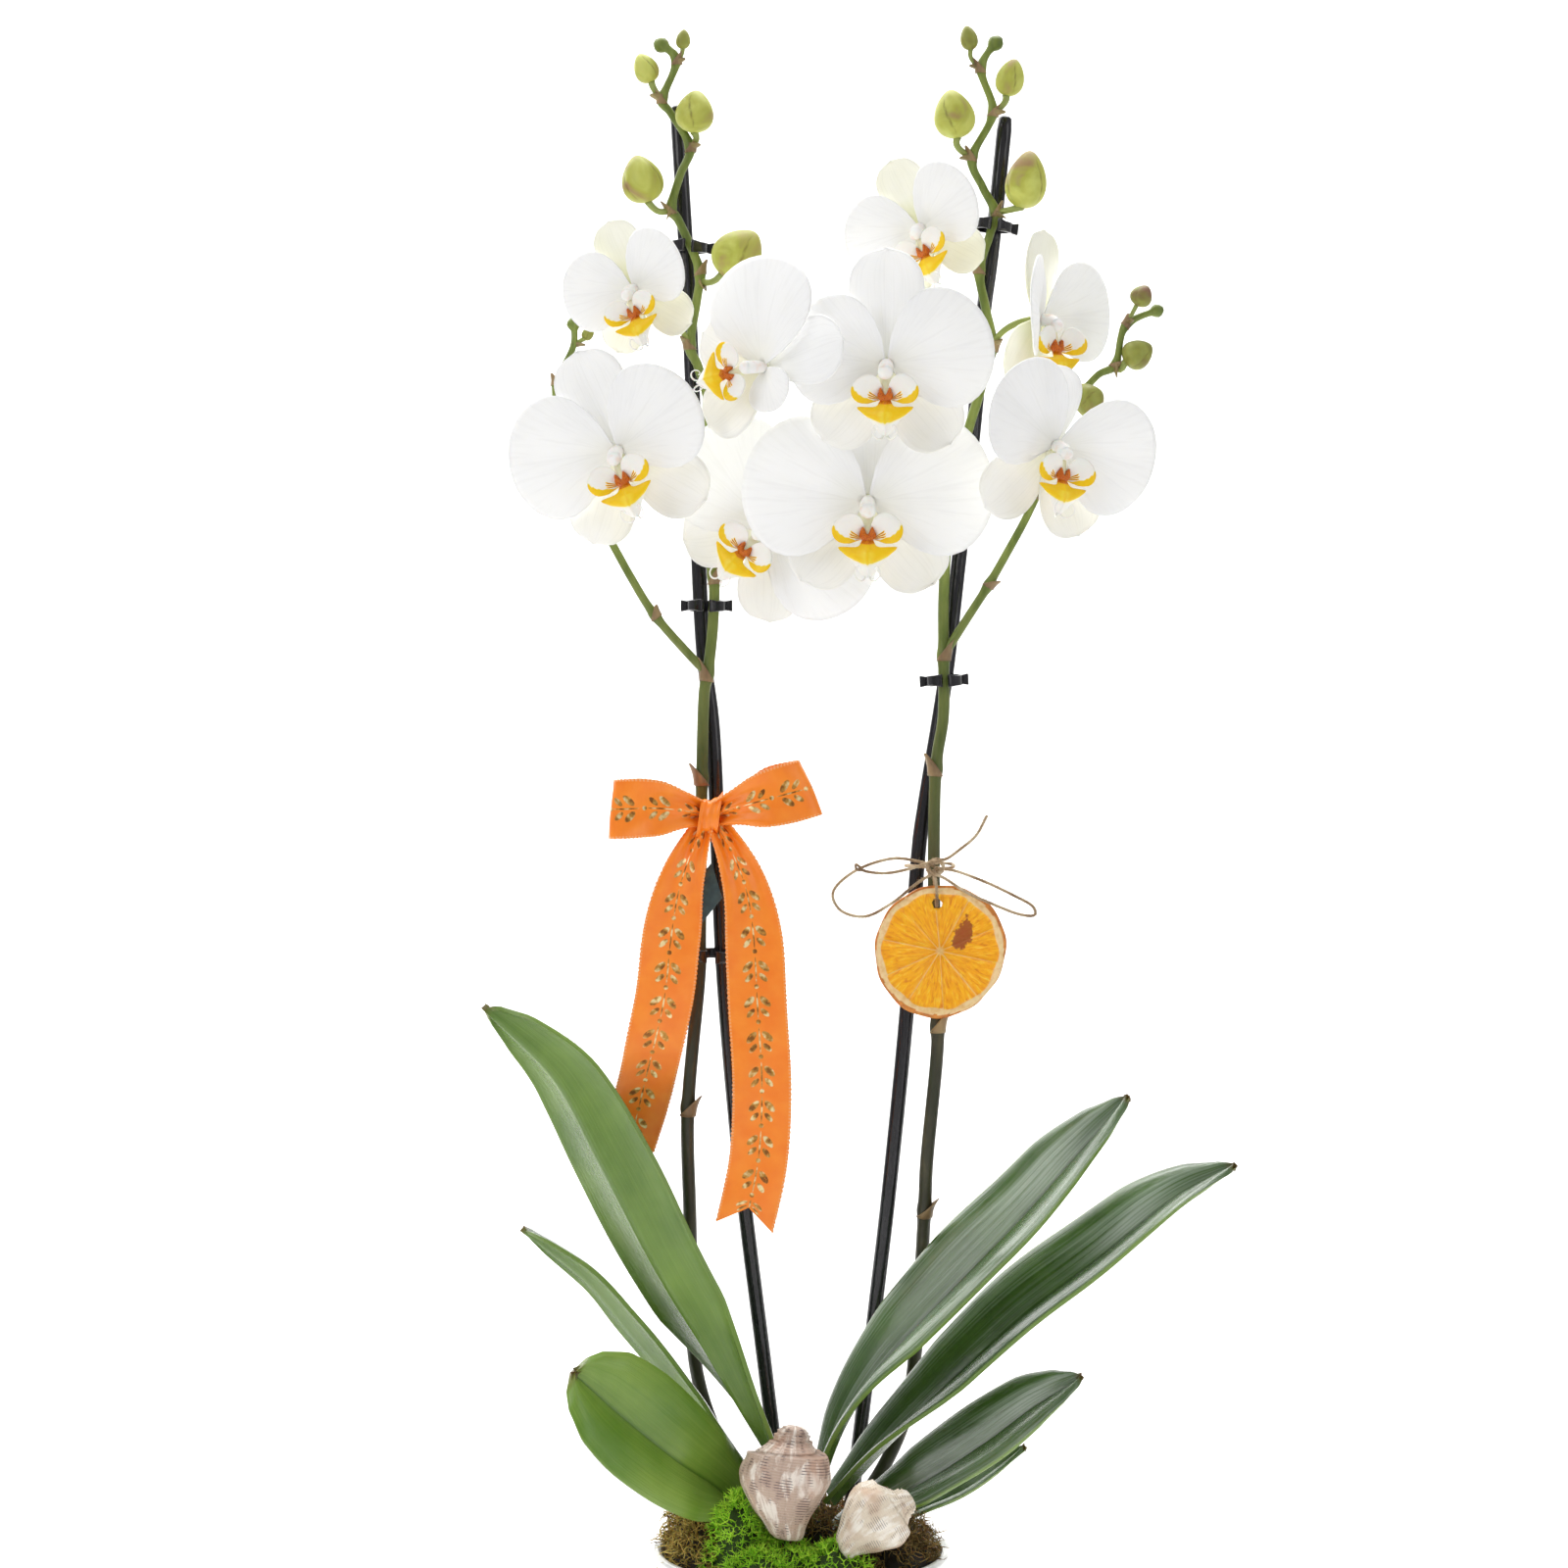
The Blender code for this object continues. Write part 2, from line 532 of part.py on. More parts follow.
def buildLip(name, place, turn, size):
    """The column and the three-lobed lip under it, as one piece in front of the petals."""
    def at(u, v, d):
        return onFlower(place, turn, size, u, v, d)

    column = tube(name, [at(0, 1, 5.6), at(0, 3.5, 9.0), at(0, 6.5, 14.0), at(0, 7.0, 16.0)], 3.6 * size, (0.8, 1.1))
    foot = ball("foot", at(0, -3.0, 8.5), (3.4 * size, 2.6 * size, 3.2 * size), turn, 6, 4)
    middle = [
        [at(-2.0, -3, 8.5), at(2.0, -3, 8.5)],
        [at(-2.6, -8, 13.0), at(2.6, -8, 13.0)],
        [at(-8.0, -12, 17.0), at(8.0, -12, 17.0)],
        [at(-5.0, -17, 19.0), at(5.0, -17, 19.0)],
        [at(-1.6, -23, 19.5), at(1.6, -23, 19.5)],
    ]
    parts = [foot, sheet("midlobe", middle, 1.4)]
    for side in (-1.0, 1.0):
        lobe = [
            [at(side * 1.5, -3.5, 8.0), at(side * 1.5, -4.5, 10.5)],
            [at(side * 6.0, -4.5, 9.5), at(side * 6.5, -6.5, 13.5)],
            [at(side * 10.5, -0.5, 12.5), at(side * 12.0, -4.0, 18.0)],
            [at(side * 12.0, 5.0, 15.0), at(side * 11.5, 3.0, 19.0)],
            [at(side * 10.5, 9.0, 16.5), at(side * 10.0, 8.5, 18.5)],
        ]
        parts.append(sheet("lobe", lobe, 1.2))
    dress(joinAll(column, parts), (0.85, 0.62, 0.12), 0.5)


# Buds: place, half width, half height, lean to the side, spike, and where the stalk leaves it.
BUDS = {
    "bud_1": ((-27.1, -10, 674.1), 10.0, 11.0, 40, "L", (-43.0, -1.5, 664.0), (0, 0, -2)),
    "bud_2": ((-67.7, -8, 705.7), 8.3, 9.6, -15, "L", (-55.5, -3, 694.7), (0, 0, -3)),
    "bud_3": ((-45.3, -8, 734.1), 7.6, 8.4, 5, "L", (-47.5, -4, 720.2), (2, 0, 0)),
    "bud_4": ((-66.1, -6, 752.8), 5.0, 6.2, -25, "L", (-59.1, -4, 740.4), (-1, 0, 0)),
    "bud_5": ((-50.2, -6, 765.0), 3.0, 4.0, 5, "L", (-54.0, -4, 755.0), (1, 0, 0)),
    "bud_6": ((-91.5, 8, 642.5), 2.4, 3.0, 35, "B", (-98.2, 5, 637.2), (0, 0, 0)),
    "bud_7": ((94.9, -8, 705.4), 8.4, 11.4, 8, "R", (82.3, -1.5, 692.7), (0, 0, 0)),
    "bud_8": ((64.4, -8, 733.0), 8.3, 9.6, -10, "R", (72.2, -4, 715.7), (-3, 0, 0)),
    "bud_9": ((88.0, -8, 748.5), 5.8, 7.5, 15, "R", (80.9, -4, 734.7), (2, 0, 0)),
    "bud_10": ((70.6, -6, 765.5), 3.6, 5.0, -12, "R", (76.0, -4, 753.0), (-2, 0, 0)),
    "bud_11": ((120.4, -22, 612.0), 7.4, 6.0, 60, "C", (113.5, -10, 609.2), (-2, -2, 0)),
    "bud_12": ((141.6, -14, 632.0), 6.0, 6.2, 60, "C", (132.5, -12, 627.8), (0, 0, -3)),
    "bud_13": ((143.0, -17.5, 656.0), 4.6, 4.4, 30, "C", (137.0, -12, 644.3), (0, 0, 0)),
}


def buildBud(name):
    place, wide, tall, lean, _, _, _ = BUDS[name]
    turn = Matrix.Rotation(math.radians(lean), 3, "Y")
    bud = ball(name, Vector((0, 0, 0)), (wide, wide, tall), None, 8, 6)
    for vertex in bud.data.vertices:
        rise = vertex.co.z / (tall * MM)
        vertex.co.x *= 1.0 - 0.18 * rise
        vertex.co.y *= 1.0 - 0.18 * rise
    bud.data.transform(turn.to_4x4())
    bud.data.transform(Matrix.Translation(spot(*place)))
    dress(bud, (0.50, 0.50, 0.22), 0.5)


def stalkEnd(name):
    """Where the stalk of a flower or a bud stops, just behind it."""
    if name in FLOWERS:
        place, turn, nod, tilt, size, _, _, _ = FLOWERS[name]
        return onFlower(spot(*place), facing(turn, nod, tilt), size * FLOWER_SIZE, 0, 0.5, -5.2)
    place, _, tall, lean, _, _, _ = BUDS[name]
    turn = Matrix.Rotation(math.radians(lean), 3, "Y")
    return spot(*place) - turn @ Vector((0, 0, tall + 1.4)) * MM


def buildSpike(name, line, branches, sides):
    spike = tube(name, [spot(*place) for place in line], SPIKE_RADIUS, (1.05, 0.62))
    parts = []
    for points in branches:
        parts.append(tube("branch", [spot(*place) for place in points], 1.9, (1.0, 0.75)))
    for key, row in list(FLOWERS.items()) + list(BUDS.items()):
        side, root, bow = row[-3:]
        if side not in sides:
            continue
        small = key in ("bud_5", "bud_6", "bud_10", "bud_13")
        radius = PEDICEL_RADIUS * (0.6 if small else 1.0)
        steps = 4 if key in FLOWERS else 3
        points = arch(spot(*root), stalkEnd(key), Vector(bow) * MM, steps)
        parts.append(tube("stalk", points, radius))
    dress(joinAll(spike, parts), (0.12, 0.17, 0.03), 0.45)


# ---------------------------------------------------------------- ribbon, card, twine and slice

# Middle of the strap and which way its width runs, as x, y, z and the share of x, y and z in the width.
RIBBON_TAIL_LEFT = [
    ((-41.5, -14.5, 434), (1, 0, 0.1), 0.40), ((-47.5, -15.5, 420), (0.98, 0.1, 0.2), 0.75),
    ((-52.5, -15, 404), (0.97, 0.1, 0.22), 1.0), ((-55.8, -14, 383), (0.98, 0.05, 0.2), 1.0),
    ((-58.5, -11, 360), (0.97, 0.0, 0.24), 1.0), ((-64.0, -6, 335), (0.95, 0.0, 0.3), 1.0),
    ((-70.0, 6.5, 311), (0.93, 0.0, 0.36), 1.0), ((-76.0, 15.0, 290), (0.91, 0.0, 0.40), 1.0),
]
RIBBON_TAIL_RIGHT = [
    ((-36.5, -14.5, 434), (1, 0, -0.1), 0.40), ((-29.0, -16, 420), (0.98, 0.1, -0.25), 0.75),
    ((-23.3, -17, 404), (0.98, 0.1, -0.2), 1.0), ((-20.3, -17, 384), (1, 0.05, -0.1), 1.0),
    ((-18.8, -16.5, 355), (1, 0, -0.02), 1.0), ((-17.0, -15.5, 322), (1, 0, 0.05), 1.0),
    ((-18.5, -14, 290), (1, 0, 0.12), 1.0), ((-23.0, -13, 266), (0.97, 0, 0.25), 1.0),
]
RIBBON_LOOP_LEFT = [
    ((-42.0, -14.0, 438), 0.42), ((-52.0, -19.5, 440), 0.68), ((-66.0, -22.5, 440.5), 0.94), ((-76.5, -20.0, 439.5), 1.0),
    ((-79.0, -16.0, 439), 1.0), ((-75.5, -12.5, 439.5), 1.0), ((-64.0, -12.0, 440.5), 0.94), ((-53.0, -12.5, 439.5), 0.6),
    ((-45.0, -12.5, 438), 0.36),
]
RIBBON_LOOP_RIGHT = [
    ((-36.0, -14.0, 438), 0.42), ((-27.0, -20.0, 441), 0.66), ((-14.0, -24.0, 444.5), 0.92), ((-0.5, -22.0, 448), 1.0),
    ((3.0, -17.5, 449), 1.0), ((-1.0, -13.5, 448), 1.0), ((-13.0, -12.0, 445.5), 0.94), ((-25.0, -12.5, 441), 0.6),
    ((-33.0, -12.5, 438), 0.36),
]
RIBBON_KNOT = (-39.2, -13.5, 437.0)


def buildRibbon():
    half = RIBBON_WIDTH * MM / 2
    parts = []
    for table in (RIBBON_TAIL_LEFT, RIBBON_TAIL_RIGHT):
        rows = []
        for place, way, share in table:
            out = Vector(way).normalized() * half * share
            rows.append([spot(*place) - out, spot(*place), spot(*place) + out])
        parts.append(sheet("tail", rows, RIBBON_THICKNESS))
    for table, lean in ((RIBBON_LOOP_LEFT, 0.1), (RIBBON_LOOP_RIGHT, -0.45)):
        rows = []
        for place, share in table:
            out = Vector((lean, 0, 1)).normalized() * half * share
            rows.append([spot(*place) - out, spot(*place) + out])
        parts.append(sheet("loop", rows, RIBBON_THICKNESS))
    band = []
    for step in range(15):
        angle = math.radians(-90 + 12 + (360 - 24) * step / 14)
        middle = spot(-39.8, 2.0, 437.0) + Vector((math.cos(angle) * (10.2 + ROOM), math.sin(angle) * 12.4, 0)) * MM
        band.append([middle - Vector((0, 0, 0.0045)), middle + Vector((0, 0, 0.0045))])
    parts.append(sheet("wrap", band, RIBBON_THICKNESS))
    knot = ball("ribbon", spot(*RIBBON_KNOT), (5.6, 5.4, 6.6), None, 8, 6)
    dress(joinAll(knot, parts), (0.90, 0.24, 0.02), 0.35)


def buildCard():
    corners = [(-38.5, -9.5, 416.5), (-33.9, -9.5, 401.5), (-48.6, -9.5, 404.0), (-44.0, -9.5, 389.0)]
    corners = [spot(*place) for place in corners]
    card = sheet("care_card", [corners[:2], corners[2:]], 0.6)
    dress(card, (0.02, 0.16, 0.15), 0.5)


TWINE_PATHS = [
    [(55.2, -12.5, 415.4), (50, -13.5, 417.5), (38.0, -15, 418.5), (22, -15, 413), (12.5, -15, 404.5), (15, -15, 396.5),
     (26, -17, 393.5), (38, -17.8, 400), (48, -16.5, 408.5), (55.2, -12.5, 412.9)],
    [(55.5, -12.5, 414.8), (44, -15.5, 413.5), (36, -17.5, 415.5), (24, -18, 414.5)],
    [(57.0, -12.5, 415.0), (62, -13, 419.5), (69, -14, 424.5), (76.1, -14, 431.0), (78.6, -14, 437)],
    [(57.2, -12.5, 415.2), (66, -14, 413.5), (80, -14.5, 408.0), (93, -14.5, 401.5), (98.5, -14.5, 397.5), (95, -14.5, 395.5),
     (84, -17.5, 399.0), (70, -17.8, 406), (57.2, -12.5, 412.8)],
    [(56.0, -13.2, 414.0), (56.5, -17.4, 410.0), (57.2, -18.6, 403.5), (57.3, -18.4, 399.6), (57.3, -14.0, 398.9), (57.3, -9.8, 400.0),
     (56.8, -9.8, 407.0), (56.2, -10.6, 413.6)],
]


def buildTwine():
    parts = []
    for path in TWINE_PATHS:
        parts.append(tube("strand", [spot(*place) for place in path], TWINE_RADIUS, detail=0))
    ring = []
    for step in range(15):
        angle = math.radians(-90 + 10 + (360 - 20) * step / 14)
        ring.append(spot(55.0, 2.0, 414.5) + Vector((math.cos(angle) * (10.4 + ROOM), math.sin(angle) * 13.2, 0)) * MM)
    parts.append(tube("wrap", ring, TWINE_RADIUS, detail=0))
    knot = ball("jute_twine", spot(56.0, -11.8, 414.4), (3.0, 2.4, 2.8), None, 8, 6)
    dress(joinAll(knot, parts), (0.42, 0.27, 0.13), 0.9)


def buildSlice():
    middle = spot(58.7, -14.0, 399.4 - (SLICE_RADIUS - HOLE_INSET))
    half = SLICE_THICKNESS / 2
    profile = [(0.0, -half), (SLICE_RADIUS - 1.0, -half), (SLICE_RADIUS, -half + 1.0), (SLICE_RADIUS, half - 1.0)]
    profile += [(SLICE_RADIUS - 1.0, half), (0.0, half)]
    disc = lathe("orange_slice", profile, 28)
    disc.data.transform(Matrix.Translation(middle) @ Matrix.Rotation(math.radians(90), 4, "X"))
    hole = tube("hole", [spot(57.3, -24, 399.4), spot(57.3, -4, 399.4)], 2.4, detail=2)
    dress(cutAll(disc, [hole]), (0.80, 0.42, 0.08), 0.6)


clearScene()
buildPot()
buildBark()
buildMoss()
buildShells()
buildCrown()
for leaf, row in LEAVES.items():
    buildLeaf(leaf, *row)
buildStakes()
buildClips()
for flower in FLOWERS:
    buildFlower(flower)
for bud in BUDS:
    buildBud(bud)
buildSpike("spike_left", SPIKE_LEFT, [BRANCH_LEFT], "LB")
buildSpike("spike_right", SPIKE_RIGHT, [BRANCH_RIGHT], "RC")
buildRibbon()
buildCard()
buildTwine()
buildSlice()
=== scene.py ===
import math
import random

import bmesh
import bpy
from mathutils import Matrix, Vector, noise


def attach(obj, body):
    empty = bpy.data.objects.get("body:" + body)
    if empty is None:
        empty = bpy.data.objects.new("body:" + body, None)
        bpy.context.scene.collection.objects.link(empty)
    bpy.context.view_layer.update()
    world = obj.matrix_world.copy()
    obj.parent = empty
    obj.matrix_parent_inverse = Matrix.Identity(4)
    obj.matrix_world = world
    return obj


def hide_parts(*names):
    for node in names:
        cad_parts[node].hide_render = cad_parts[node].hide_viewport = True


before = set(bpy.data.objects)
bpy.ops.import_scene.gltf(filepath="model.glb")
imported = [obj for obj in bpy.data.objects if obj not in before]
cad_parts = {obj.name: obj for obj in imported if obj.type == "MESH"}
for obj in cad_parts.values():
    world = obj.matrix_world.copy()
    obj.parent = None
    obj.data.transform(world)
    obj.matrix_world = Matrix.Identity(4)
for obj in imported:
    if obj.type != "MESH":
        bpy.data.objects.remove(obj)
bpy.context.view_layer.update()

mm = 0.001
partsBetween = 16  # steps between two given points of a path, before it is evened out
random.seed(12)


# camera, floor and lights

studio = {
    "cameraPlace": (-0.0076, -1.4986, 0.5151),
    "cameraTurn": (87.5, 0.0, 0.0),
    "lens": 80.36,  # on a 36 mm sensor
    "floorSize": 3.6,
    "sweepStart": 1.0,  # metres behind the pot where the floor starts to rise
    "sweepRadius": 0.7,
    "sweepHeight": 2.6,
    "worldGlow": 0.42,
}


def addCamera():
    camera = bpy.data.objects.new("studioCamera", bpy.data.cameras.new("studioCamera"))
    bpy.context.scene.collection.objects.link(camera)
    camera.location = studio["cameraPlace"]
    camera.rotation_euler = [math.radians(angle) for angle in studio["cameraTurn"]]
    camera.data.lens = studio["lens"]
    camera.data.sensor_width = 36.0
    camera.data.clip_start = 0.05
    bpy.context.scene.camera = camera


addCamera()
print("camera set")


# small helpers


def clearPick():
    bpy.ops.object.select_all(action="DESELECT")


def pick(obj):
    clearPick()
    obj.select_set(True)
    bpy.context.view_layer.objects.active = obj


def applyAll(obj):
    pick(obj)
    for modifier in list(obj.modifiers):
        bpy.ops.object.modifier_apply(modifier=modifier.name)
    return obj


def addModifier(obj, kind, **settings):
    modifier = obj.modifiers.new(kind.lower(), kind)
    for key, value in settings.items():
        setattr(modifier, key, value)
    return modifier


def mergeDoubles(obj, distance=0.02 * mm):
    shape = bmesh.new()
    shape.from_mesh(obj.data)
    bmesh.ops.remove_doubles(shape, verts=shape.verts, dist=distance)
    bmesh.ops.dissolve_degenerate(shape, dist=1e-7, edges=shape.edges)
    shape.to_mesh(obj.data)
    shape.free()
    return obj


def faceOut(obj):
    shape = bmesh.new()
    shape.from_mesh(obj.data)
    bmesh.ops.recalc_face_normals(shape, faces=shape.faces)
    shape.to_mesh(obj.data)
    shape.free()
    return obj


def joinParts(name, parts):
    clearPick()
    for part in parts:
        part.select_set(True)
    bpy.context.view_layer.objects.active = parts[0]
    if len(parts) > 1:
        bpy.ops.object.join()
    parts[0].name = name
    parts[0].data.name = name
    return parts[0]


def finishPiece(obj, node, angle=None):
    # edges sharper than angle stay sharp
    pick(obj)
    bpy.ops.object.transform_apply(location=True, rotation=True, scale=True)
    if angle is None:
        bpy.ops.object.shade_smooth()
    else:
        bpy.ops.object.shade_smooth_by_angle(angle=math.radians(angle))
    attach(obj, "root")
    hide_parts(node)


def spot(x, y, z):
    return Vector((x, y, z)) * mm


def mix(first, last, share):
    return first + (last - first) * share


def cubicBetween(before, first, last, after, share):
    # a smooth curve from first to last that heads as its neighbours do
    return first + 0.5 * share * (
        last - before + share * (2 * before - 5 * first + 4 * last - after
        + share * (3 * (first - last) + after - before))
    )


def readTable(table, at):
    # smooth value from rows of (place, value), by a cubic through the neighbours
    if at <= table[0][0]:
        return table[0][1]
    for index in range(len(table) - 1):
        low, high = table[index][0], table[index + 1][0]
        if at <= high:
            share = (at - low) / (high - low)
            before = table[max(0, index - 1)][1]
            first, last = table[index][1], table[index + 1][1]
            after = table[min(len(table) - 1, index + 2)][1]
            return cubicBetween(before, first, last, after, share)
    return table[-1][1]


def smoothPath(points, step):
    # evenly stepped places on a smooth curve through the points, in metres
    points = [Vector(point) for point in points]
    rows = []
    for index in range(len(points) - 1):
        before = points[max(0, index - 1)]
        first, last = points[index], points[index + 1]
        after = points[min(len(points) - 1, index + 2)]
        for part in range(partsBetween):
            rows.append(cubicBetween(before, first, last, after, part / partsBetween))
    rows.append(points[-1])
    lengths = [0.0]
    for first, last in zip(rows, rows[1:]):
        lengths.append(lengths[-1] + (last - first).length)
    count = max(2, round(lengths[-1] / step) + 1)
    made, at = [], 0
    for index in range(count):
        want = lengths[-1] * index / (count - 1)
        while at < len(rows) - 2 and lengths[at + 1] < want:
            at += 1
        share = (want - lengths[at]) / max(1e-9, lengths[at + 1] - lengths[at])
        made.append(rows[at].lerp(rows[at + 1], min(1.0, share)))
    return made


def pathLength(points):
    return sum((last - first).length for first, last in zip(points, points[1:]))


def pathFrames(points):
    # tangent and two turned sides at each point, carried along without twist
    side = None
    frames = []
    for index, point in enumerate(points):
        ahead = (points[min(index + 1, len(points) - 1)] - points[max(index - 1, 0)]).normalized()
        if side is None:
            side = ahead.orthogonal().normalized()
        side = (side - ahead * side.dot(ahead)).normalized()
        frames.append((ahead, side, ahead.cross(side)))
    return frames


def gridSheet(name, across, along, placeAt):
    # a flat grid whose points are then moved to their places; its UV map stays
    clearPick()
    bpy.ops.mesh.primitive_grid_add(x_subdivisions=across, y_subdivisions=along, size=1.0, location=(0, 0, 0))
    made = bpy.context.active_object
    made.name = name
    for vertex in made.data.vertices:
        vertex.co = placeAt(vertex.co.x + 0.5, vertex.co.y + 0.5)
    return made


def tubeBar(name, points, radius, factors=None, sides=3):
    # a round bar: a poly curve with a bevel, turned to mesh; sides is the bevel resolution
    curve = bpy.data.curves.new(name, "CURVE")
    curve.dimensions = "3D"
    curve.bevel_depth = radius
    curve.bevel_resolution = sides
    curve.use_fill_caps = True
    spline = curve.splines.new("POLY")
    spline.points.add(len(points) - 1)
    for index, place in enumerate(points):
        spline.points[index].co = (*place, 1.0)
        spline.points[index].radius = factors[index] if factors else 1.0
    made = bpy.data.objects.new(name, curve)
    bpy.context.scene.collection.objects.link(made)
    pick(made)
    bpy.ops.object.convert(target="MESH")
    return mergeDoubles(bpy.context.active_object, 1e-6)


def meshPiece(name, places, faces):
    mesh = bpy.data.meshes.new(name)
    mesh.from_pydata(places, [], faces)
    made = bpy.data.objects.new(name, mesh)
    bpy.context.scene.collection.objects.link(made)
    return made


def storeValues(obj, name, values):
    # one value for each point, which a material reads
    layer = obj.data.attributes.new(name, "FLOAT", "POINT")
    layer.data.foreach_set("value", values)


def paintValue(obj, name, valueAt):
    storeValues(obj, name, [valueAt(vertex.co) for vertex in obj.data.vertices])


# materials


def hexColor(code):
    channels = [int(code[index:index + 2], 16) / 255 for index in (1, 3, 5)]
    linear = [value / 12.92 if value <= 0.04045 else ((value + 0.055) / 1.055) ** 2.4 for value in channels]
    return (*linear, 1.0)


def newMaterial(name, color, roughness, **sockets):
    made = bpy.data.materials.new(name)
    made.use_nodes = True
    shader = made.node_tree.nodes["Principled BSDF"]
    shader.inputs["Base Color"].default_value = hexColor(color)
    shader.inputs["Roughness"].default_value = roughness
    for key, value in sockets.items():
        shader.inputs[key.replace("_", " ")].default_value = value
    return made, made.node_tree, shader


def addNode(tree, kind, values=None, links=None, stops=None, **settings):
    # values and links by input; a colour is given as hex; stops are those of a colour ramp
    made = tree.nodes.new("ShaderNode" + kind)
    for key, value in settings.items():
        setattr(made, key, value)
    for key, value in (values or {}).items():
        made.inputs[key].default_value = hexColor(value) if isinstance(value, str) else value
    for key, (other, socket) in (links or {}).items():
        tree.links.new(other.outputs[socket], made.inputs[key])
    if stops:
        ramp = made.color_ramp
        while len(ramp.elements) < len(stops):
            ramp.elements.new(0.5)
        for element, (at, color) in zip(ramp.elements, stops):
            element.position = at
            element.color = hexColor(color)
    return made


def grey(value):
    return "#" + 3 * f"{round(255 * value):02x}"


def addBump(tree, shader, height, socket, distance, strength=1.0):
    bump = addNode(tree, "Bump", {"Distance": distance, "Strength": strength}, {"Height": (height, socket)})
    tree.links.new(bump.outputs["Normal"], shader.inputs["Normal"])


# the jute twine: four cords out of one knot

twine = {
    "diameter": 1.5 * mm,
    "plies": 3,
    "pitch": 4.2 * mm,
    "knot": (56.0, -12.0, 414.4),
    "step": 0.45 * mm,
    "strayStep": 1.3 * mm,  # one loose fibre for each length of this
    "runs": {
        "twineLeft": ("knot", [
            (56.5, -12.6, 415.0), (50, -13.6, 417.2), (38, -15, 418.6), (23, -15, 413.6), (13.4, -15, 404.8),
            (16.5, -15.6, 396.6), (27, -17, 394.2), (38, -17.8, 399.8), (48, -17, 407.6), (54.5, -16, 411.6),
            (58.8, -15.4, 412.6), (60, -15.2, 415.2), (57.6, -15.4, 417.4), (53, -15.8, 416.6),
            (45, -16.4, 414.2), (36, -17.5, 412.6), (28, -18, 413.2), (24, -18, 414.8),
        ]),
        "twineRight": ("bare", [
            (56.0, -12.6, 413.4), (64, -13.4, 413.6), (78, -14.4, 408.6), (91, -14.6, 402.4),
            (98, -15, 398.4), (98.6, -16.6, 394.6), (92, -17.6, 395.2), (82, -18, 399.0), (70, -18, 404.4),
            (60.5, -17.2, 410.4), (55.4, -16.6, 412.8), (53.6, -16.6, 416.2), (56.4, -16.4, 418.4),
            (61, -15.4, 418.4), (67, -14.4, 422.4), (74, -14, 428.4), (78.6, -14, 437),
        ]),
        "twineWrap": ("object", None),
        "twineHanger": ("object", [
            (56.4, -13.4, 413.0), (56.8, -17.0, 409.0), (57.2, -18.0, 404.0), (57.3, -17.2, 400.0),
            (57.3, -14.0, 398.4), (57.3, -10.8, 400.0), (56.9, -9.8, 404.5), (56.4, -10.2, 409.5),
            (56.0, -11.4, 413.6),
        ]),
    },
    "wrapMiddle": (55.0, 2.0, 414.5),
    "wrapReach": (10.3, 13.4),
}


def twistedCord(name, points, diameter, strays):
    path = smoothPath([spot(*point) for point in points], twine["step"])
    frames = pathFrames(path)
    plies, pitch = twine["plies"], twine["pitch"]
    places, faces = [], []
    thick, out, sides = 0.54 * diameter / 2, 0.44 * diameter / 2, 6
    for ply in range(plies):
        start = len(places)
        for index, (point, (ahead, side, other)) in enumerate(zip(path, frames)):
            turn = 2 * math.pi * (ply / plies + index * twine["step"] / pitch)
            middle = point + (side * math.cos(turn) + other * math.sin(turn)) * out
            grow = 1 + 0.14 * noise.noise(Vector((index * 0.21, ply * 7.0, 0.0)))
            for corner in range(sides):
                angle = 2 * math.pi * corner / sides + turn
                places.append(middle + (side * math.cos(angle) + other * math.sin(angle)) * thick * grow)
        for index in range(len(path) - 1):
            for corner in range(sides):
                low = start + index * sides
                faces.append((
                    low + corner, low + (corner + 1) % sides, low + sides + (corner + 1) % sides,
                    low + sides + corner
                ))
        faces.append(tuple(start + corner for corner in reversed(range(sides))))
        last = start + (len(path) - 1) * sides
        faces.append(tuple(last + corner for corner in range(sides)))
    every = max(1, round(strays / twine["step"]))
    for index in range(2, len(path) - 2, every):
        ahead, side, other = frames[index]
        angle = random.uniform(0, 2 * math.pi)
        out = side * math.cos(angle) + other * math.sin(angle)
        root = path[index] + out * diameter * 0.45
        way = (out * random.uniform(0.3, 1.0) + ahead * random.uniform(-1.4, 1.4)).normalized()
        long, wide = random.uniform(0.8, 2.0) * mm, 0.07 * mm
        cross = way.cross(out if abs(way.dot(out)) < 0.95 else ahead).normalized() * wide
        lift = way.cross(cross).normalized() * wide
        start = len(places)
        places += [
            root + cross, root - cross * 0.5 + lift, root - cross * 0.5 - lift,
            root + way * long + out * 0.2 * mm
        ]
        faces += [
            (start, start + 1, start + 3), (start + 1, start + 2, start + 3), (start + 2, start, start + 3),
            (start, start + 2, start + 1)
        ]
    return faceOut(meshPiece(name, places, faces)), path


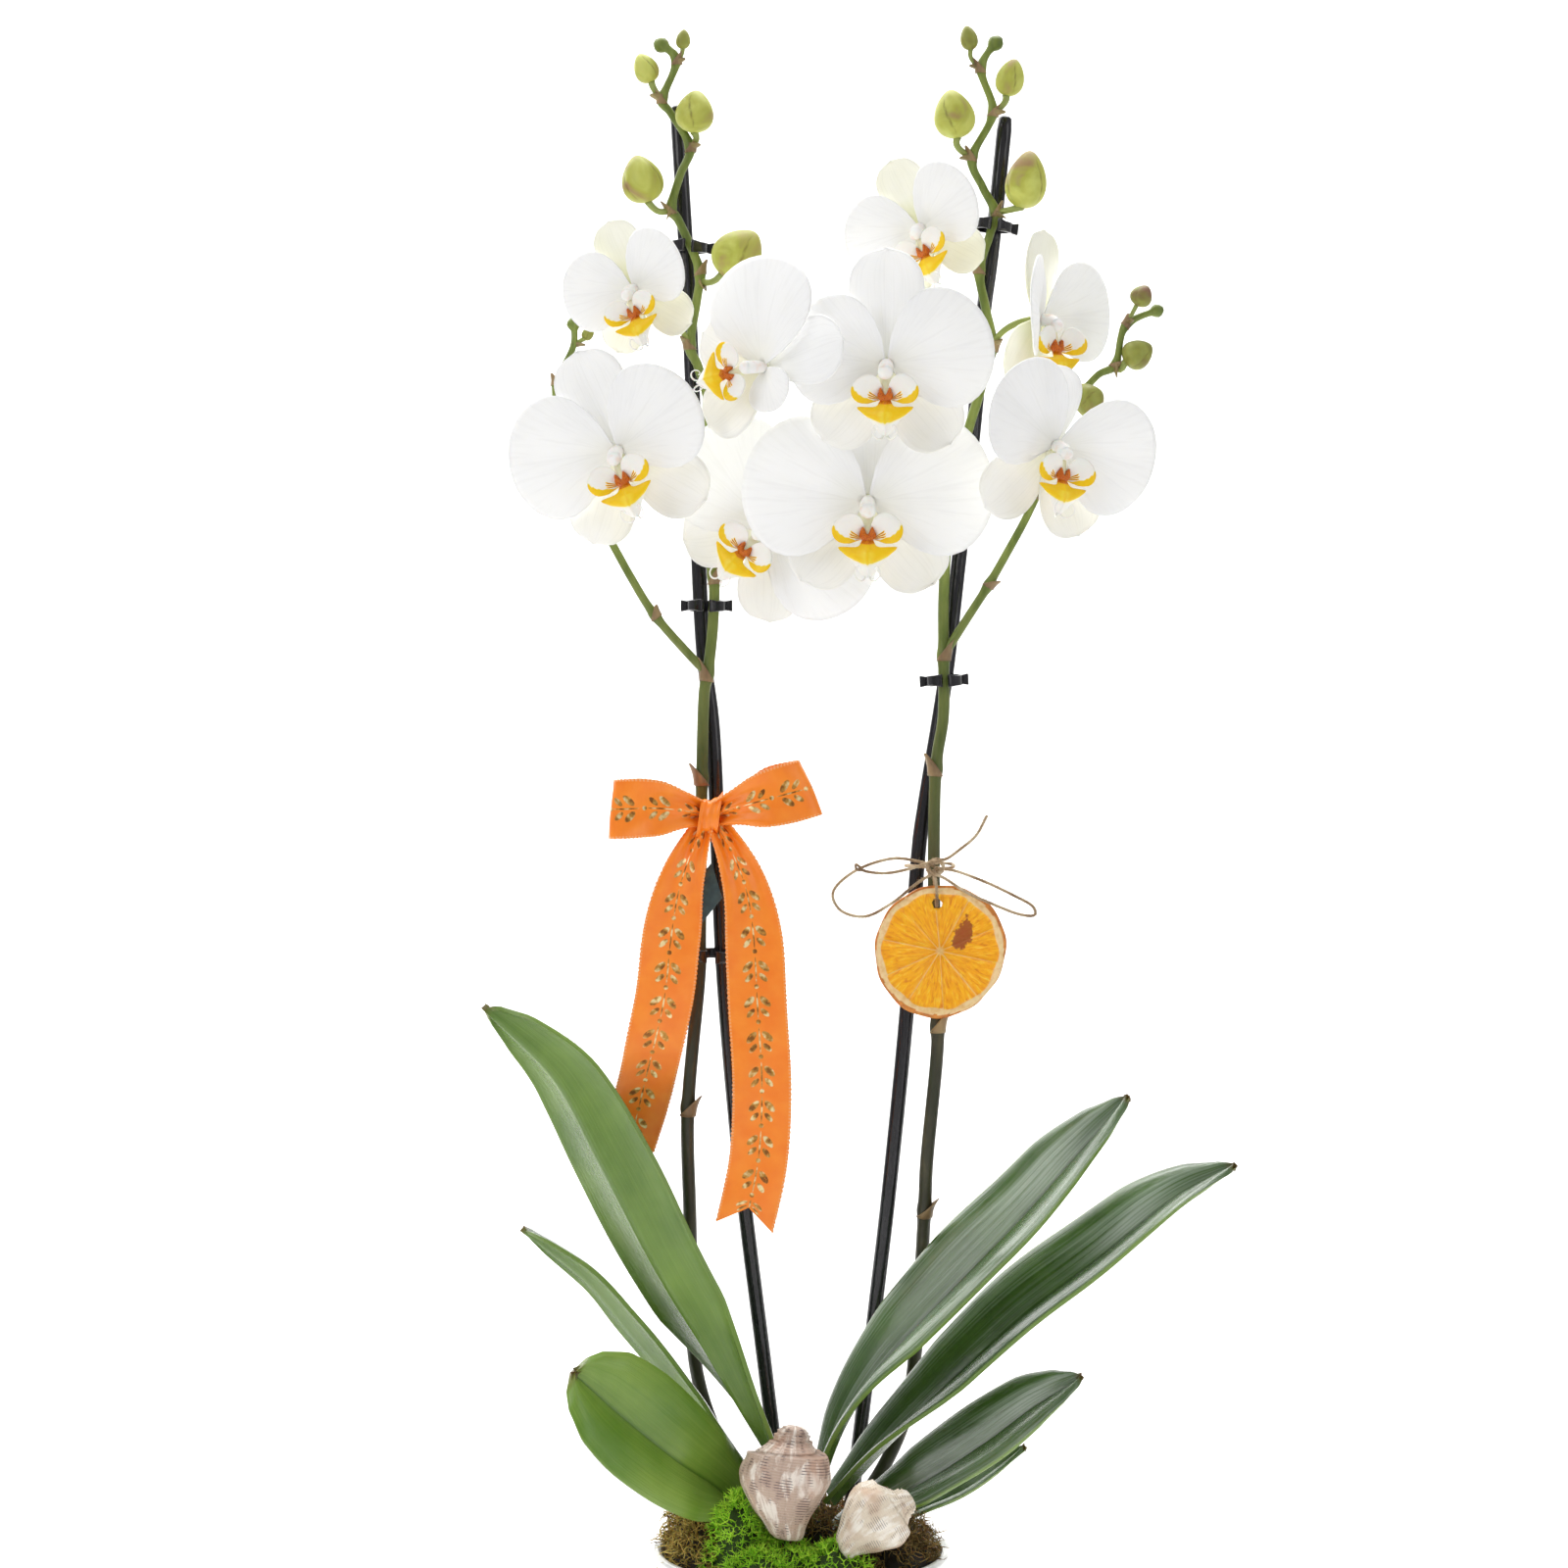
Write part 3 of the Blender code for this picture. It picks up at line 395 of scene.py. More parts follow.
def makeTwine(finish):
    middle, (wide, deep) = twine["wrapMiddle"], twine["wrapReach"]
    ring = []
    for step in range(15):
        angle = math.radians(-90 + 9 + (360 - 18) * step / 14)
        lift = 0.5 * math.sin(2 * angle)
        ring.append((middle[0] + wide * math.cos(angle), middle[1] + deep * math.sin(angle), middle[2] + lift))
    twine["runs"]["twineWrap"] = ("object", ring)
    turns = []
    for step in range(25):
        angle = math.radians(70 + 720 * step / 24)
        turns.append((
            56.6 + 3.4 * math.cos(angle), -15.0 - 3.2 * math.sin(angle + 0.6),
            414.9 + 2.9 * math.sin(angle) + 1.5 * (step / 24 - 0.5)
        ))
    knot, _ = twistedCord("twineKnot", turns, twine["diameter"], twine["strayStep"])
    tip = [
        (25.6, -17.9, 413.6), (24.2, -18.6, 415.6), (22.8, -17.6, 416.4), (23.0, -17.0, 414.4),
        (24.6, -17.4, 413.8), (24.6, -18.8, 414.6)
    ]
    tipKnot, _ = twistedCord("twineTipKnot", tip, 1.2 * mm, 0.5 * mm)
    for piece in (knot, tipKnot):
        piece.data.materials.append(finish)
        finishPiece(piece, "jute_twine")
    for name, (farEnd, points) in twine["runs"].items():
        piece, path = twistedCord(name, points, twine["diameter"], twine["strayStep"])
        piece.data.materials.append(finish)
        finishPiece(piece, "jute_twine")


def makeJute():
    # twisted plant fibre: dry, pale brown, dull, with streaks along the lay
    made, tree, shader = newMaterial("twistedJute", "#b39a76", 0.92, Sheen_Weight=0.25)
    place = addNode(tree, "TexCoord")
    fibre = addNode(
        tree, "TexNoise", {"Scale": 900.0, "Detail": 4.0, "Roughness": 0.7}, {"Vector": (place, "Object")}
    )
    patch = addNode(tree, "TexNoise", {"Scale": 130.0, "Detail": 2.0}, {"Vector": (place, "Object")})
    both = addNode(tree, "Math", {1: 0.5}, {0: (fibre, "Fac")}, operation="MULTIPLY_ADD")
    tree.links.new(patch.outputs["Fac"], both.inputs[2])
    tone = addNode(
        tree, "ValToRGB", None, {"Fac": (both, 0)}, [(0.55, "#86694c"), (0.75, "#b89d7a"), (0.95, "#dccaab")]
    )
    tree.links.new(tone.outputs["Color"], shader.inputs["Base Color"])
    addBump(tree, shader, fibre, "Fac", 0.15 * mm)
    return made


juteFibre = makeJute()
makeTwine(juteFibre)
print("twine tied")


# floor and lights


def makeStudio():
    clearPick()
    half, start = studio["floorSize"] / 2, studio["sweepStart"]
    bpy.ops.mesh.primitive_plane_add(size=1.0, location=(0, 0, 0))
    floor = bpy.context.active_object
    floor.name = "studioFloor"
    for vertex in floor.data.vertices:
        vertex.co = (vertex.co.x * 2 * half, start if vertex.co.y > 0 else -half, 0.0)
    steps = 12
    for step in range(1, steps + 2):
        bpy.ops.object.mode_set(mode="EDIT")
        bpy.ops.mesh.select_all(action="DESELECT")
        bpy.ops.object.mode_set(mode="OBJECT")
        far = max(vertex.co.y + vertex.co.z for vertex in floor.data.vertices)
        for edge in floor.data.edges:
            ends = [floor.data.vertices[index].co for index in edge.vertices]
            edge.select = all(end.y + end.z > far - 1e-5 for end in ends)
        angle = math.radians(90 * min(step, steps) / steps)
        before = math.radians(90 * (step - 1) / steps)
        reach = studio["sweepRadius"]
        if step <= steps:
            move = (
                0, reach * (math.sin(angle) - math.sin(before)), reach * (math.cos(before) - math.cos(angle))
            )
        else:
            move = (0, 0, studio["sweepHeight"] - reach)
        bpy.ops.object.mode_set(mode="EDIT")
        bpy.ops.mesh.extrude_region_move(TRANSFORM_OT_translate={"value": move})
        bpy.ops.object.mode_set(mode="OBJECT")
    pick(floor)
    bpy.ops.object.shade_smooth()
    # matt white paper, clear from behind so that the plant can be seen from every side
    made, tree, shader = newMaterial("studioPaper", "#fbfbfa", 0.9)
    side = addNode(tree, "NewGeometry")
    seen = addNode(tree, "Math", {0: 1.0}, {1: (side, "Backfacing")}, operation="SUBTRACT")
    tree.links.new(seen.outputs[0], shader.inputs["Alpha"])
    floor.data.materials.append(made)

    world = bpy.data.worlds.new("studioWorld")
    world.use_nodes = True
    world.node_tree.nodes["Background"].inputs["Color"].default_value = (1.0, 1.0, 1.0, 1.0)
    world.node_tree.nodes["Background"].inputs["Strength"].default_value = studio["worldGlow"]
    bpy.context.scene.world = world
    bpy.context.scene.view_settings.view_transform = "Standard"

    softBoxes = {
        # name: place, aimed at, width, height, watts
        "softBoxLeft": ((-1.15, -1.1, 1.25), (0.0, 0.0, 0.42), 0.9, 1.2, 8.5),
        "softBoxRight": ((1.25, -0.8, 0.9), (0.0, 0.0, 0.40), 0.8, 1.2, 4.0),
        "softBoxTop": ((0.0, 0.1, 1.75), (0.0, 0.0, 0.4), 1.1, 1.1, 4.5),
        "glossPanel": ((-0.95, 0.85, 1.35), (0.05, 0.0, 0.25), 0.9, 1.3, 9.0),
        "backLight": ((0.0, 0.55, 1.9), (0.0, 1.6, 0.6), 1.8, 0.8, 42.0),
    }
    for name, (place, aim, wide, tall, watts) in softBoxes.items():
        lamp = bpy.data.lights.new(name, "AREA")
        lamp.shape = "RECTANGLE"
        lamp.size, lamp.size_y, lamp.energy = wide, tall, watts
        holder = bpy.data.objects.new(name, lamp)
        bpy.context.scene.collection.objects.link(holder)
        holder.location = place
        holder.rotation_euler = (Vector(aim) - Vector(place)).to_track_quat("-Z", "Y").to_euler()


makeStudio()
print("studio ready")


# pot: cast, fired white glaze


pot = {
    "profile": [
        (43.0, 0.4), (46.2, 1.6), (48.4, 6.0), (51.9, 30.0), (56.6, 60.0), (60.6, 90.0), (63.3, 113.0),
        (64.4, 116.2), (64.7, 118.4), (63.9, 119.8), (62.4, 120.0), (60.9, 119.2), (60.0, 117.0),
        (59.2, 112.0), (56.4, 86.0), (50.0, 40.0),
    ],
    "steps": 96,
}


def makePot():
    clearPick()
    rings = pot["profile"]
    bpy.ops.mesh.primitive_circle_add(
        vertices=pot["steps"], radius=rings[0][0] * mm, fill_type="NGON", location=(0, 0, rings[0][1] * mm)
    )
    made = bpy.context.active_object
    bpy.ops.object.transform_apply(location=True, rotation=True, scale=True)
    bpy.ops.object.mode_set(mode="EDIT")
    bpy.ops.mesh.select_all(action="SELECT")
    bpy.ops.mesh.normals_make_consistent(inside=False)
    # the walls grow from the rim of the first disc, ring by ring
    for (before, low), (after, high) in zip(rings, rings[1:]):
        bpy.ops.mesh.extrude_region_move(TRANSFORM_OT_translate={"value": (0, 0, (high - low) * mm)})
        bpy.ops.transform.resize(value=(after / before, after / before, 1.0), center_override=(0, 0, 0))
    bpy.ops.object.mode_set(mode="OBJECT")
    addModifier(made, "BEVEL", width=0.35 * mm, segments=2, limit_method="ANGLE", angle_limit=math.radians(35))
    applyAll(made)
    made.data.materials.append(glaze)
    made.name = "potGlazed"
    finishPiece(faceOut(made), "ceramic_pot", angle=50)


def makeGlaze():
    # glazed stoneware: thick white glass over clay, mirror-like, a little uneven, greyish where it thins
    made, tree, shader = newMaterial(
        "whiteGlazedStoneware", "#f1f1ef", 0.12, IOR=1.52, Coat_Weight=0.35, Coat_Roughness=0.05
    )
    place = addNode(tree, "TexCoord")
    turned = addNode(
        tree, "Mapping", {"Scale": (1.0, 1.0, 0.35), "Rotation": (0.3, 0.5, 0.2)},
        {"Vector": (place, "Object")}
    )
    swirl = addNode(
        tree, "TexNoise", {"Scale": 45.0, "Detail": 5.0, "Distortion": 1.6}, {"Vector": (turned, "Vector")}
    )
    tone = addNode(
        tree, "ValToRGB", None, {"Fac": (swirl, "Fac")},
        [(0.36, "#dfe0df"), (0.54, "#f1f1ef"), (1.0, "#f7f7f5")]
    )
    tree.links.new(tone.outputs["Color"], shader.inputs["Base Color"])
    ripple = addNode(tree, "TexNoise", {"Scale": 60.0, "Detail": 2.0}, {"Vector": (place, "Object")})
    addBump(tree, shader, ripple, "Fac", 0.35 * mm)
    return made


glaze = makeGlaze()
makePot()
print("pot thrown")


# stems: places in millimetres, from the bark to the tip


stems = {
    "stemLeft": {
        "node": "spike_left",
        "line": [
            (-3.0, 14.0, 112.0), (-14, 19, 132), (-30, 27, 150), (-41, 32, 170), (-47, 31, 195),
            (-48, 24, 225), (-48.5, 12, 262), (-48.9, -1, 310.4), (-44.0, -1.5, 366), (-43.6, -1.5, 386.0),
            (-42.8, -1.5, 449.8), (-41.9, -1.5, 486.3), (-40.2, -1.5, 497.1), (-37.9, -1.5, 518.5),
            (-37.6, -1.5, 538.5), (-41.0, -1.5, 550.2), (-43.1, -1.5, 565.2), (-41.8, -1.5, 591.9),
            (-40.1, -1.5, 612.7), (-44.3, -1.5, 628.0), (-47.6, -1.5, 636.7), (-44.7, -1.5, 655.8),
            (-43.4, -1.5, 667.4), (-47.3, -1.5, 678.6), (-52.6, -2, 689.8), (-55.5, -3, 694.7),
            (-51.7, -4, 708.3), (-47.5, -4, 720.2), (-55.8, -4, 734.7), (-59.1, -4, 740.4),
            (-53.3, -4, 756.9), (-62.4, -4, 764.7),
        ],
        "branch": [
            (-40.2, -1.5, 497.1), (-47.7, -4, 504.7), (-62.6, -6, 521.8), (-73.0, -6, 538.4),
            (-85.6, -4, 561.4), (-97.3, -4, 583.5), (-103.5, -3, 604.3), (-104.6, 0, 620.3),
            (-97.6, 5, 637.2), (-98.1, 7, 649.2),
        ],
        # height of each joint with its dry scale, and the side it grows on
        "joints": [
            (310.4, 1), (452.0, -1), (497.1, -1), (538.5, 1), (591.9, 1), (636.7, -1), (667.4, 1),
            (694.7, -1), (720.2, 1), (740.4, -1), (756.9, 1)
        ],
        "branchJoints": [(521.8, 1), (604.3, -1), (620.3, -1)],
    },
    "stemRight": {
        "node": "spike_right",
        "line": [
            (6.5, 13.5, 112.0), (19, 15, 128), (34, 20, 146), (46, 25, 172), (50.5, 24, 205), (52.5, 19, 240),
            (53.5, 10, 268), (54.2, 4, 288.6), (58.0, -1, 331.6), (58.2, -1.5, 348.7), (57.2, -1.5, 382.5),
            (56.6, -1.5, 417.0), (57.4, -1.5, 456.1), (60.6, -1.5, 479.1), (60.6, -1.5, 504.7),
            (60.6, -1.5, 531.4), (62.6, -1.5, 558.5), (69.2, -1.5, 593.9), (75.8, -1.5, 616.8),
            (81.0, -1.5, 636.3), (78.2, -1.5, 652.5), (75.5, -1.5, 668.3), (79.8, -1.5, 683.2),
            (82.3, -1.5, 692.7), (76.8, -3, 703.3), (72.2, -4, 715.7), (80.9, -4, 734.7), (75.9, -4, 753.6),
            (84.1, -4, 766.4),
        ],
        "branch": [
            (60.6, -1.5, 504.7), (71.3, -5, 521.8), (79.5, -6, 534.7), (88.1, -8, 550.0), (95.1, -8, 562.9),
            (102.7, -6, 579.2), (109.5, -8, 597.3), (113.5, -10, 609.2), (124.6, -12, 622.8),
            (132.5, -12, 627.8), (137.0, -12, 644.3), (152.7, -12, 651.3),
        ],
        "joints": [
            (264.0, 1), (345.0, 1), (456.1, -1), (504.7, 1), (558.5, 1), (593.9, 1), (636.3, 1), (668.3, -1),
            (692.7, 1), (715.7, -1), (734.7, 1), (753.6, -1)
        ],
        "branchJoints": [(534.7, 1), (609.2, -1), (627.8, 1), (644.3, -1)],
    },
}

# flowers: where the column starts, turn, nod and tilt in degrees, size, stalk root, bow of the stalk
flowers = {
    1: {
        "place": (-69.9, -28, 657.5), "turn": -20, "nod": 8, "tilt": -20, "size": 0.64, "lip": 1.28,
        "reach": {1: 0.86, -1: 0.86}, "lift": {1: 5, -1: 5}, "lean": 20, "stem": "stemLeft",
        "root": (-47.6, -1.5, 636.7), "bow": (0, 2, 5), "cream": 0.8
    },
    2: {
        "place": (-76.1, -40, 589.3), "turn": -12, "nod": 8, "tilt": -22, "size": 0.94,
        "reach": {1: 0.82, -1: 0.90}, "lift": {1: 4, -1: 4}, "lean": 6, "stem": "stemLeft",
        "root": (-88.0, -4, 566.0), "bow": (0, 4, 2), "cream": 0.1
    },
    3: {
        "place": (-16.0, -57, 623.0), "turn": -36, "nod": 0, "tilt": 76, "size": 0.84, "reach": {1: 0.42},
        "sepalTurn": {1: 14}, "stem": "stemLeft", "root": (-40.1, -1.5, 612.7), "bow": (2, 2, 2),
        "cream": 0.25
    },
    4: {
        "place": (-14.0, -18, 558.8), "turn": -18, "nod": 8, "tilt": 42, "size": 0.92, "stem": "stemLeft",
        "root": (-37.6, -1.5, 538.5), "bow": (2, 3, 0), "cream": 0.2
    },
    5: {
        "place": (27.3, -40, 568.3), "turn": -2, "nod": 8, "tilt": 0, "size": 1.0,
        "reach": {1: 0.97, -1: 0.97}, "stem": "stemRight", "root": (62.6, -1.5, 558.5), "bow": (0, 6, 4),
        "cream": 0.05
    },
    6: {
        "place": (34.5, -60, 623.5), "turn": -5, "nod": 8, "tilt": 0, "size": 0.94,
        "reach": {1: 0.87, -1: 0.80}, "lift": {1: 3, -1: 3}, "sepalLong": {0: 1.06}, "stem": "stemRight",
        "root": (69.2, -1.5, 593.9), "bow": (0, 4, 14), "cream": 0.1
    },
    7: {
        "place": (49.8, -34, 682.0), "turn": -22, "nod": 8, "tilt": -24, "size": 0.66, "lip": 1.26,
        "reach": {1: 0.90, -1: 0.90}, "lean": 20, "stem": "stemRight", "root": (75.5, -1.5, 668.3),
        "bow": (0, 4, 2), "cream": 0.9
    },
    8: {
        "place": (101.0, -6, 646.5), "turn": 56, "nod": 4, "tilt": 0, "size": 0.80, "lip": 1.15,
        "lipTurn": -20, "reach": {1: 0.88, -1: 0.88}, "lean": 28, "stem": "stemRight",
        "root": (81.0, -1.5, 636.3), "bow": (-2, -2, 2), "cream": 0.5
    },
    9: {
        "place": (103.0, -60, 590.5), "turn": 25, "nod": 8, "tilt": 8, "size": 0.90,
        "reach": {1: 0.88, -1: 0.86}, "lift": {1: -15, -1: 17}, "lean": 18, "sepalTurn": {0: -16, 1: 8},
        "sepalLong": {0: 0.78}, "stem": "stemRight", "root": (100.0, -6.6, 573.0), "bow": (0, 2, 0),
        "cream": 0.1
    },
}

petalShape = {
    # reach of a petal's edge in each direction, in millimetres; 0 is level, 90 is up
    "edge": [
        (-66, 5), (-60, 22), (-52, 35), (-42, 44), (-30, 49.5), (-14, 53), (2, 54), (18, 53), (32, 50),
        (46, 44), (57, 34), (67, 19), (74, 5)
    ],
    "claw": 2.2,
    "lift": 11.0,
    "hinge": 9.0,
    "thickness": 0.7,
    "across": 26,
    "along": 18,
}
sepalShape = {
    "widths": [
        (0.0, 0.20), (0.12, 0.40), (0.3, 0.72), (0.5, 0.94), (0.66, 1.0), (0.8, 0.93), (0.9, 0.74),
        (0.96, 0.5), (1.0, 0.0)
    ],
    "thickness": 0.8,
    "across": 12,
    "along": 18,
    # heading, length, half width
    "three": [(0, 47.5, 16.5), (141, 43.5, 15.5), (-139, 42.5, 15.0)],
}


def facing(turn, nod, tilt):
    return (
        Matrix.Rotation(math.radians(turn), 3, "Z")
        @ Matrix.Rotation(math.radians(nod), 3, "X")
        @ Matrix.Rotation(math.radians(tilt), 3, "Y")
    )


def flowerPlace(number, grow=1.0, more=0.0):
    # a function from right, up and forward on the flower, in millimetres, to its place
    bloom = flowers[number]
    middle, size = spot(*bloom["place"]), bloom["size"] * grow
    turn = facing(bloom["turn"] + more, bloom["nod"], bloom["tilt"])
    return lambda u, v, d: middle + turn @ Vector((u, -d, v)) * size * mm


def petalPoint(number, side, across, along):
    bloom = flowers[number]
    first, last = petalShape["edge"][0][0], petalShape["edge"][-1][0]
    angle = mix(first, last, across)
    reach = readTable(petalShape["edge"], angle) * bloom.get("reach", {}).get(side, 1.0)
    r = max(petalShape["claw"], reach * along ** 0.85)
    lift = petalShape["lift"] + bloom.get("lift", {}).get(side, 0.0)
    way = math.radians(angle + lift)
    share = r / 54
    depth = 1.2 + 4.2 * math.sin(math.pi * min(1.0, share)) - 2.0 * share ** 2
    # a soft crease down the middle and a slow wave round the rim
    depth -= 1.3 * math.exp(-((angle - 4) / 13) ** 2) * math.sin(math.pi * min(1.0, share)) * (0.4 + share)
    depth += 1.4 * share ** 3 * math.sin(math.radians(angle * 3.1 + number * 77 + side * 40))
    depth += 0.5 * share ** 2 * noise.noise(Vector((angle * 0.05, share * 3, number * 5.0 + side)))
    out = 0.6 + r * math.cos(way)
    lean = math.radians(bloom.get("lean", 0.0))
    past = max(0.0, out - petalShape["hinge"])
    depth += past * math.sin(lean) + 0.35 * (side < 0)
    u, v = side * (out - past * (1 - math.cos(lean))), 1.0 + r * math.sin(way)
    return u, v, depth


def sepalPoint(number, index, across, along):
    heading, length, half = sepalShape["three"][index]
    bloom = flowers[number]
    heading += bloom.get("sepalTurn", {}).get(index, 0.0)
    length *= bloom.get("sepalLong", {}).get(index, 1.0)
    along = 1 - (1 - along) ** 1.6
    side = 2 * across - 1
    wide = readTable(sepalShape["widths"], along) * half
    way = math.radians(heading)
    out = 0.5 + along * length
    depth = -1.4 - 1.0 * math.sin(math.pi * along) + 2.6 * (side * wide / half) ** 2 * along
    depth -= 0.5 if index == 2 else 0.0  # the two lower sepals lie one behind the other
    depth -= 0.7 * math.exp(-(side / 0.16) ** 2) * math.sin(math.pi * along)  # midrib groove
    depth += 0.7 * along ** 2 * math.sin(side * 2.4 + number * 1.7 + index * 2.0)
    u = out * math.sin(way) + side * wide * math.cos(way)
    v = out * math.cos(way) - side * wide * math.sin(way)
    return u, v, depth


def makeTepals(number):
    toWorld = flowerPlace(number)
    parts = []
    for side in (1, -1):
        petal = gridSheet(
            "petal", petalShape["across"], petalShape["along"],
            lambda a, b: toWorld(*petalPoint(number, side, a, b))
        )
        petal.data.materials.append(petalWhite)
        addModifier(mergeDoubles(petal), "SOLIDIFY", thickness=petalShape["thickness"] * mm, offset=0.0)
        parts.append(applyAll(petal))
    for index in range(3):
        sepal = gridSheet(
            "sepal", sepalShape["across"], sepalShape["along"],
            lambda a, b: toWorld(*sepalPoint(number, index, a, b))
        )
        sepal.data.materials.append(
            petalWhite if flowers[number]["cream"] < 0.3 and index == 0
            else sepalCream[flowers[number]["cream"] > 0.3]
        )
        addModifier(mergeDoubles(sepal), "SOLIDIFY", thickness=sepalShape["thickness"] * mm, offset=0.0)
        parts.append(applyAll(sepal))
    # the short neck behind, where the stalk joins
    neck = tubeBar(
        "neck", [toWorld(0, 0.5, 1.0), toWorld(0, 0.5, -2.0), toWorld(0, 0.5, -5.4)],
        3.4 * flowers[number]["size"] * mm, [1.0, 0.85, 0.5]
    )
    neck.data.materials.append(sepalCream[1])
    parts.append(neck)
    whole = joinParts(f"bloom{number}", parts)
    finishPiece(faceOut(whole), f"flower_{number}")


lipShape = {
    # down the middle lobe: place, then height, half width, forward, and how far its corners lift
    "lobe": [
        (0.0, (-12.6, 1.8, 11.5, 0)), (0.16, (-15.0, 2.6, 14.0, 0)), (0.33, (-17.4, 4.6, 16.0, 0.6)),
        (0.5, (-20.2, 12.2, 16.6, 3.4)), (0.6, (-22.0, 8.6, 17.0, 2.0)), (0.75, (-24.4, 4.9, 16.6, 0.4)),
        (0.9, (-27.2, 2.9, 15.8, 0)), (1.0, (-29.0, 1.0, 15.2, 0)),
    ],
    # reach of a side lobe in each direction from its foot; 0 is outwards, 90 is up
    "wing": [
        (-14, 6.0), (-6, 9.6), (6, 12.4), (20, 14.4), (36, 14.8), (52, 14.0), (68, 12.0), (82, 9.0), (92, 6.0)
    ],
    "wingFoot": (1.8, -13.8, 10.4),
    "tendril": [
        (0.9, -28.6, 15.2), (1.6, -30.2, 16.4), (3.2, -30.2, 18.6), (4.8, -28.4, 20.2), (5.2, -26.0, 20.4),
        (4.2, -24.2, 19.8), (3.0, -24.6, 19.0), (2.9, -25.8, 18.8)
    ],
}


def lobePoint(across, along):
    rows = lipShape["lobe"]
    v, half, d, lift = (readTable([(at, row[part]) for at, row in rows], along) for part in range(4))
    side = 2 * across - 1
    keel = 1.6 * (1 - abs(side)) ** 2
    return side * half, v + lift * abs(side) ** 1.6, d + keel - 1.0 * side ** 2 * half / 6


def wingPoint(side, across, along):
    first, last = lipShape["wing"][0][0], lipShape["wing"][-1][0]
    angle = mix(first, last, across)
    r = max(0.8, readTable(lipShape["wing"], angle) * along ** 0.9)
    way = math.radians(angle)
    foot = lipShape["wingFoot"]
    share = r / 14.8
    # the wing leaves the foot forwards, then its top curls in over the column
    depth = (
        foot[2] + 6.5 * math.sin(share * 1.9) * (1.0 - 0.35 * across)
        + 1.2 * share ** 2 * math.sin(across * 5 + side)
    )
    u = foot[0] + r * math.cos(way) - 2.2 * share ** 3 * across
    return side * u, foot[1] + r * math.sin(way), depth


# tones of the lip: 0 white, 0.5 egg yellow, 0.8 orange, 1 dark red


def lobeTone(across, along):
    side = abs(2 * across - 1)
    gold = 1.0 - max(0.0, min(1.0, (along - 0.66 + 0.10 * side) / 0.10))
    pale = 0.35 * math.exp(-((side - 0.12) / 0.1) ** 2) * (along > 0.42)
    return 0.5 * gold * (1 - pale) + (0.25 if along < 0.2 else 0.0)


def wingTone(across, along):
    # yellow along the lower rim, red stripes near the foot
    if across < 0.17 + 0.22 * along ** 2 - 0.10 * (along < 0.35):
        return 0.5
    return 0.98 if along < 0.36 and 0.16 < across < 0.55 and math.sin(across * 60) > 0.1 else 0.0


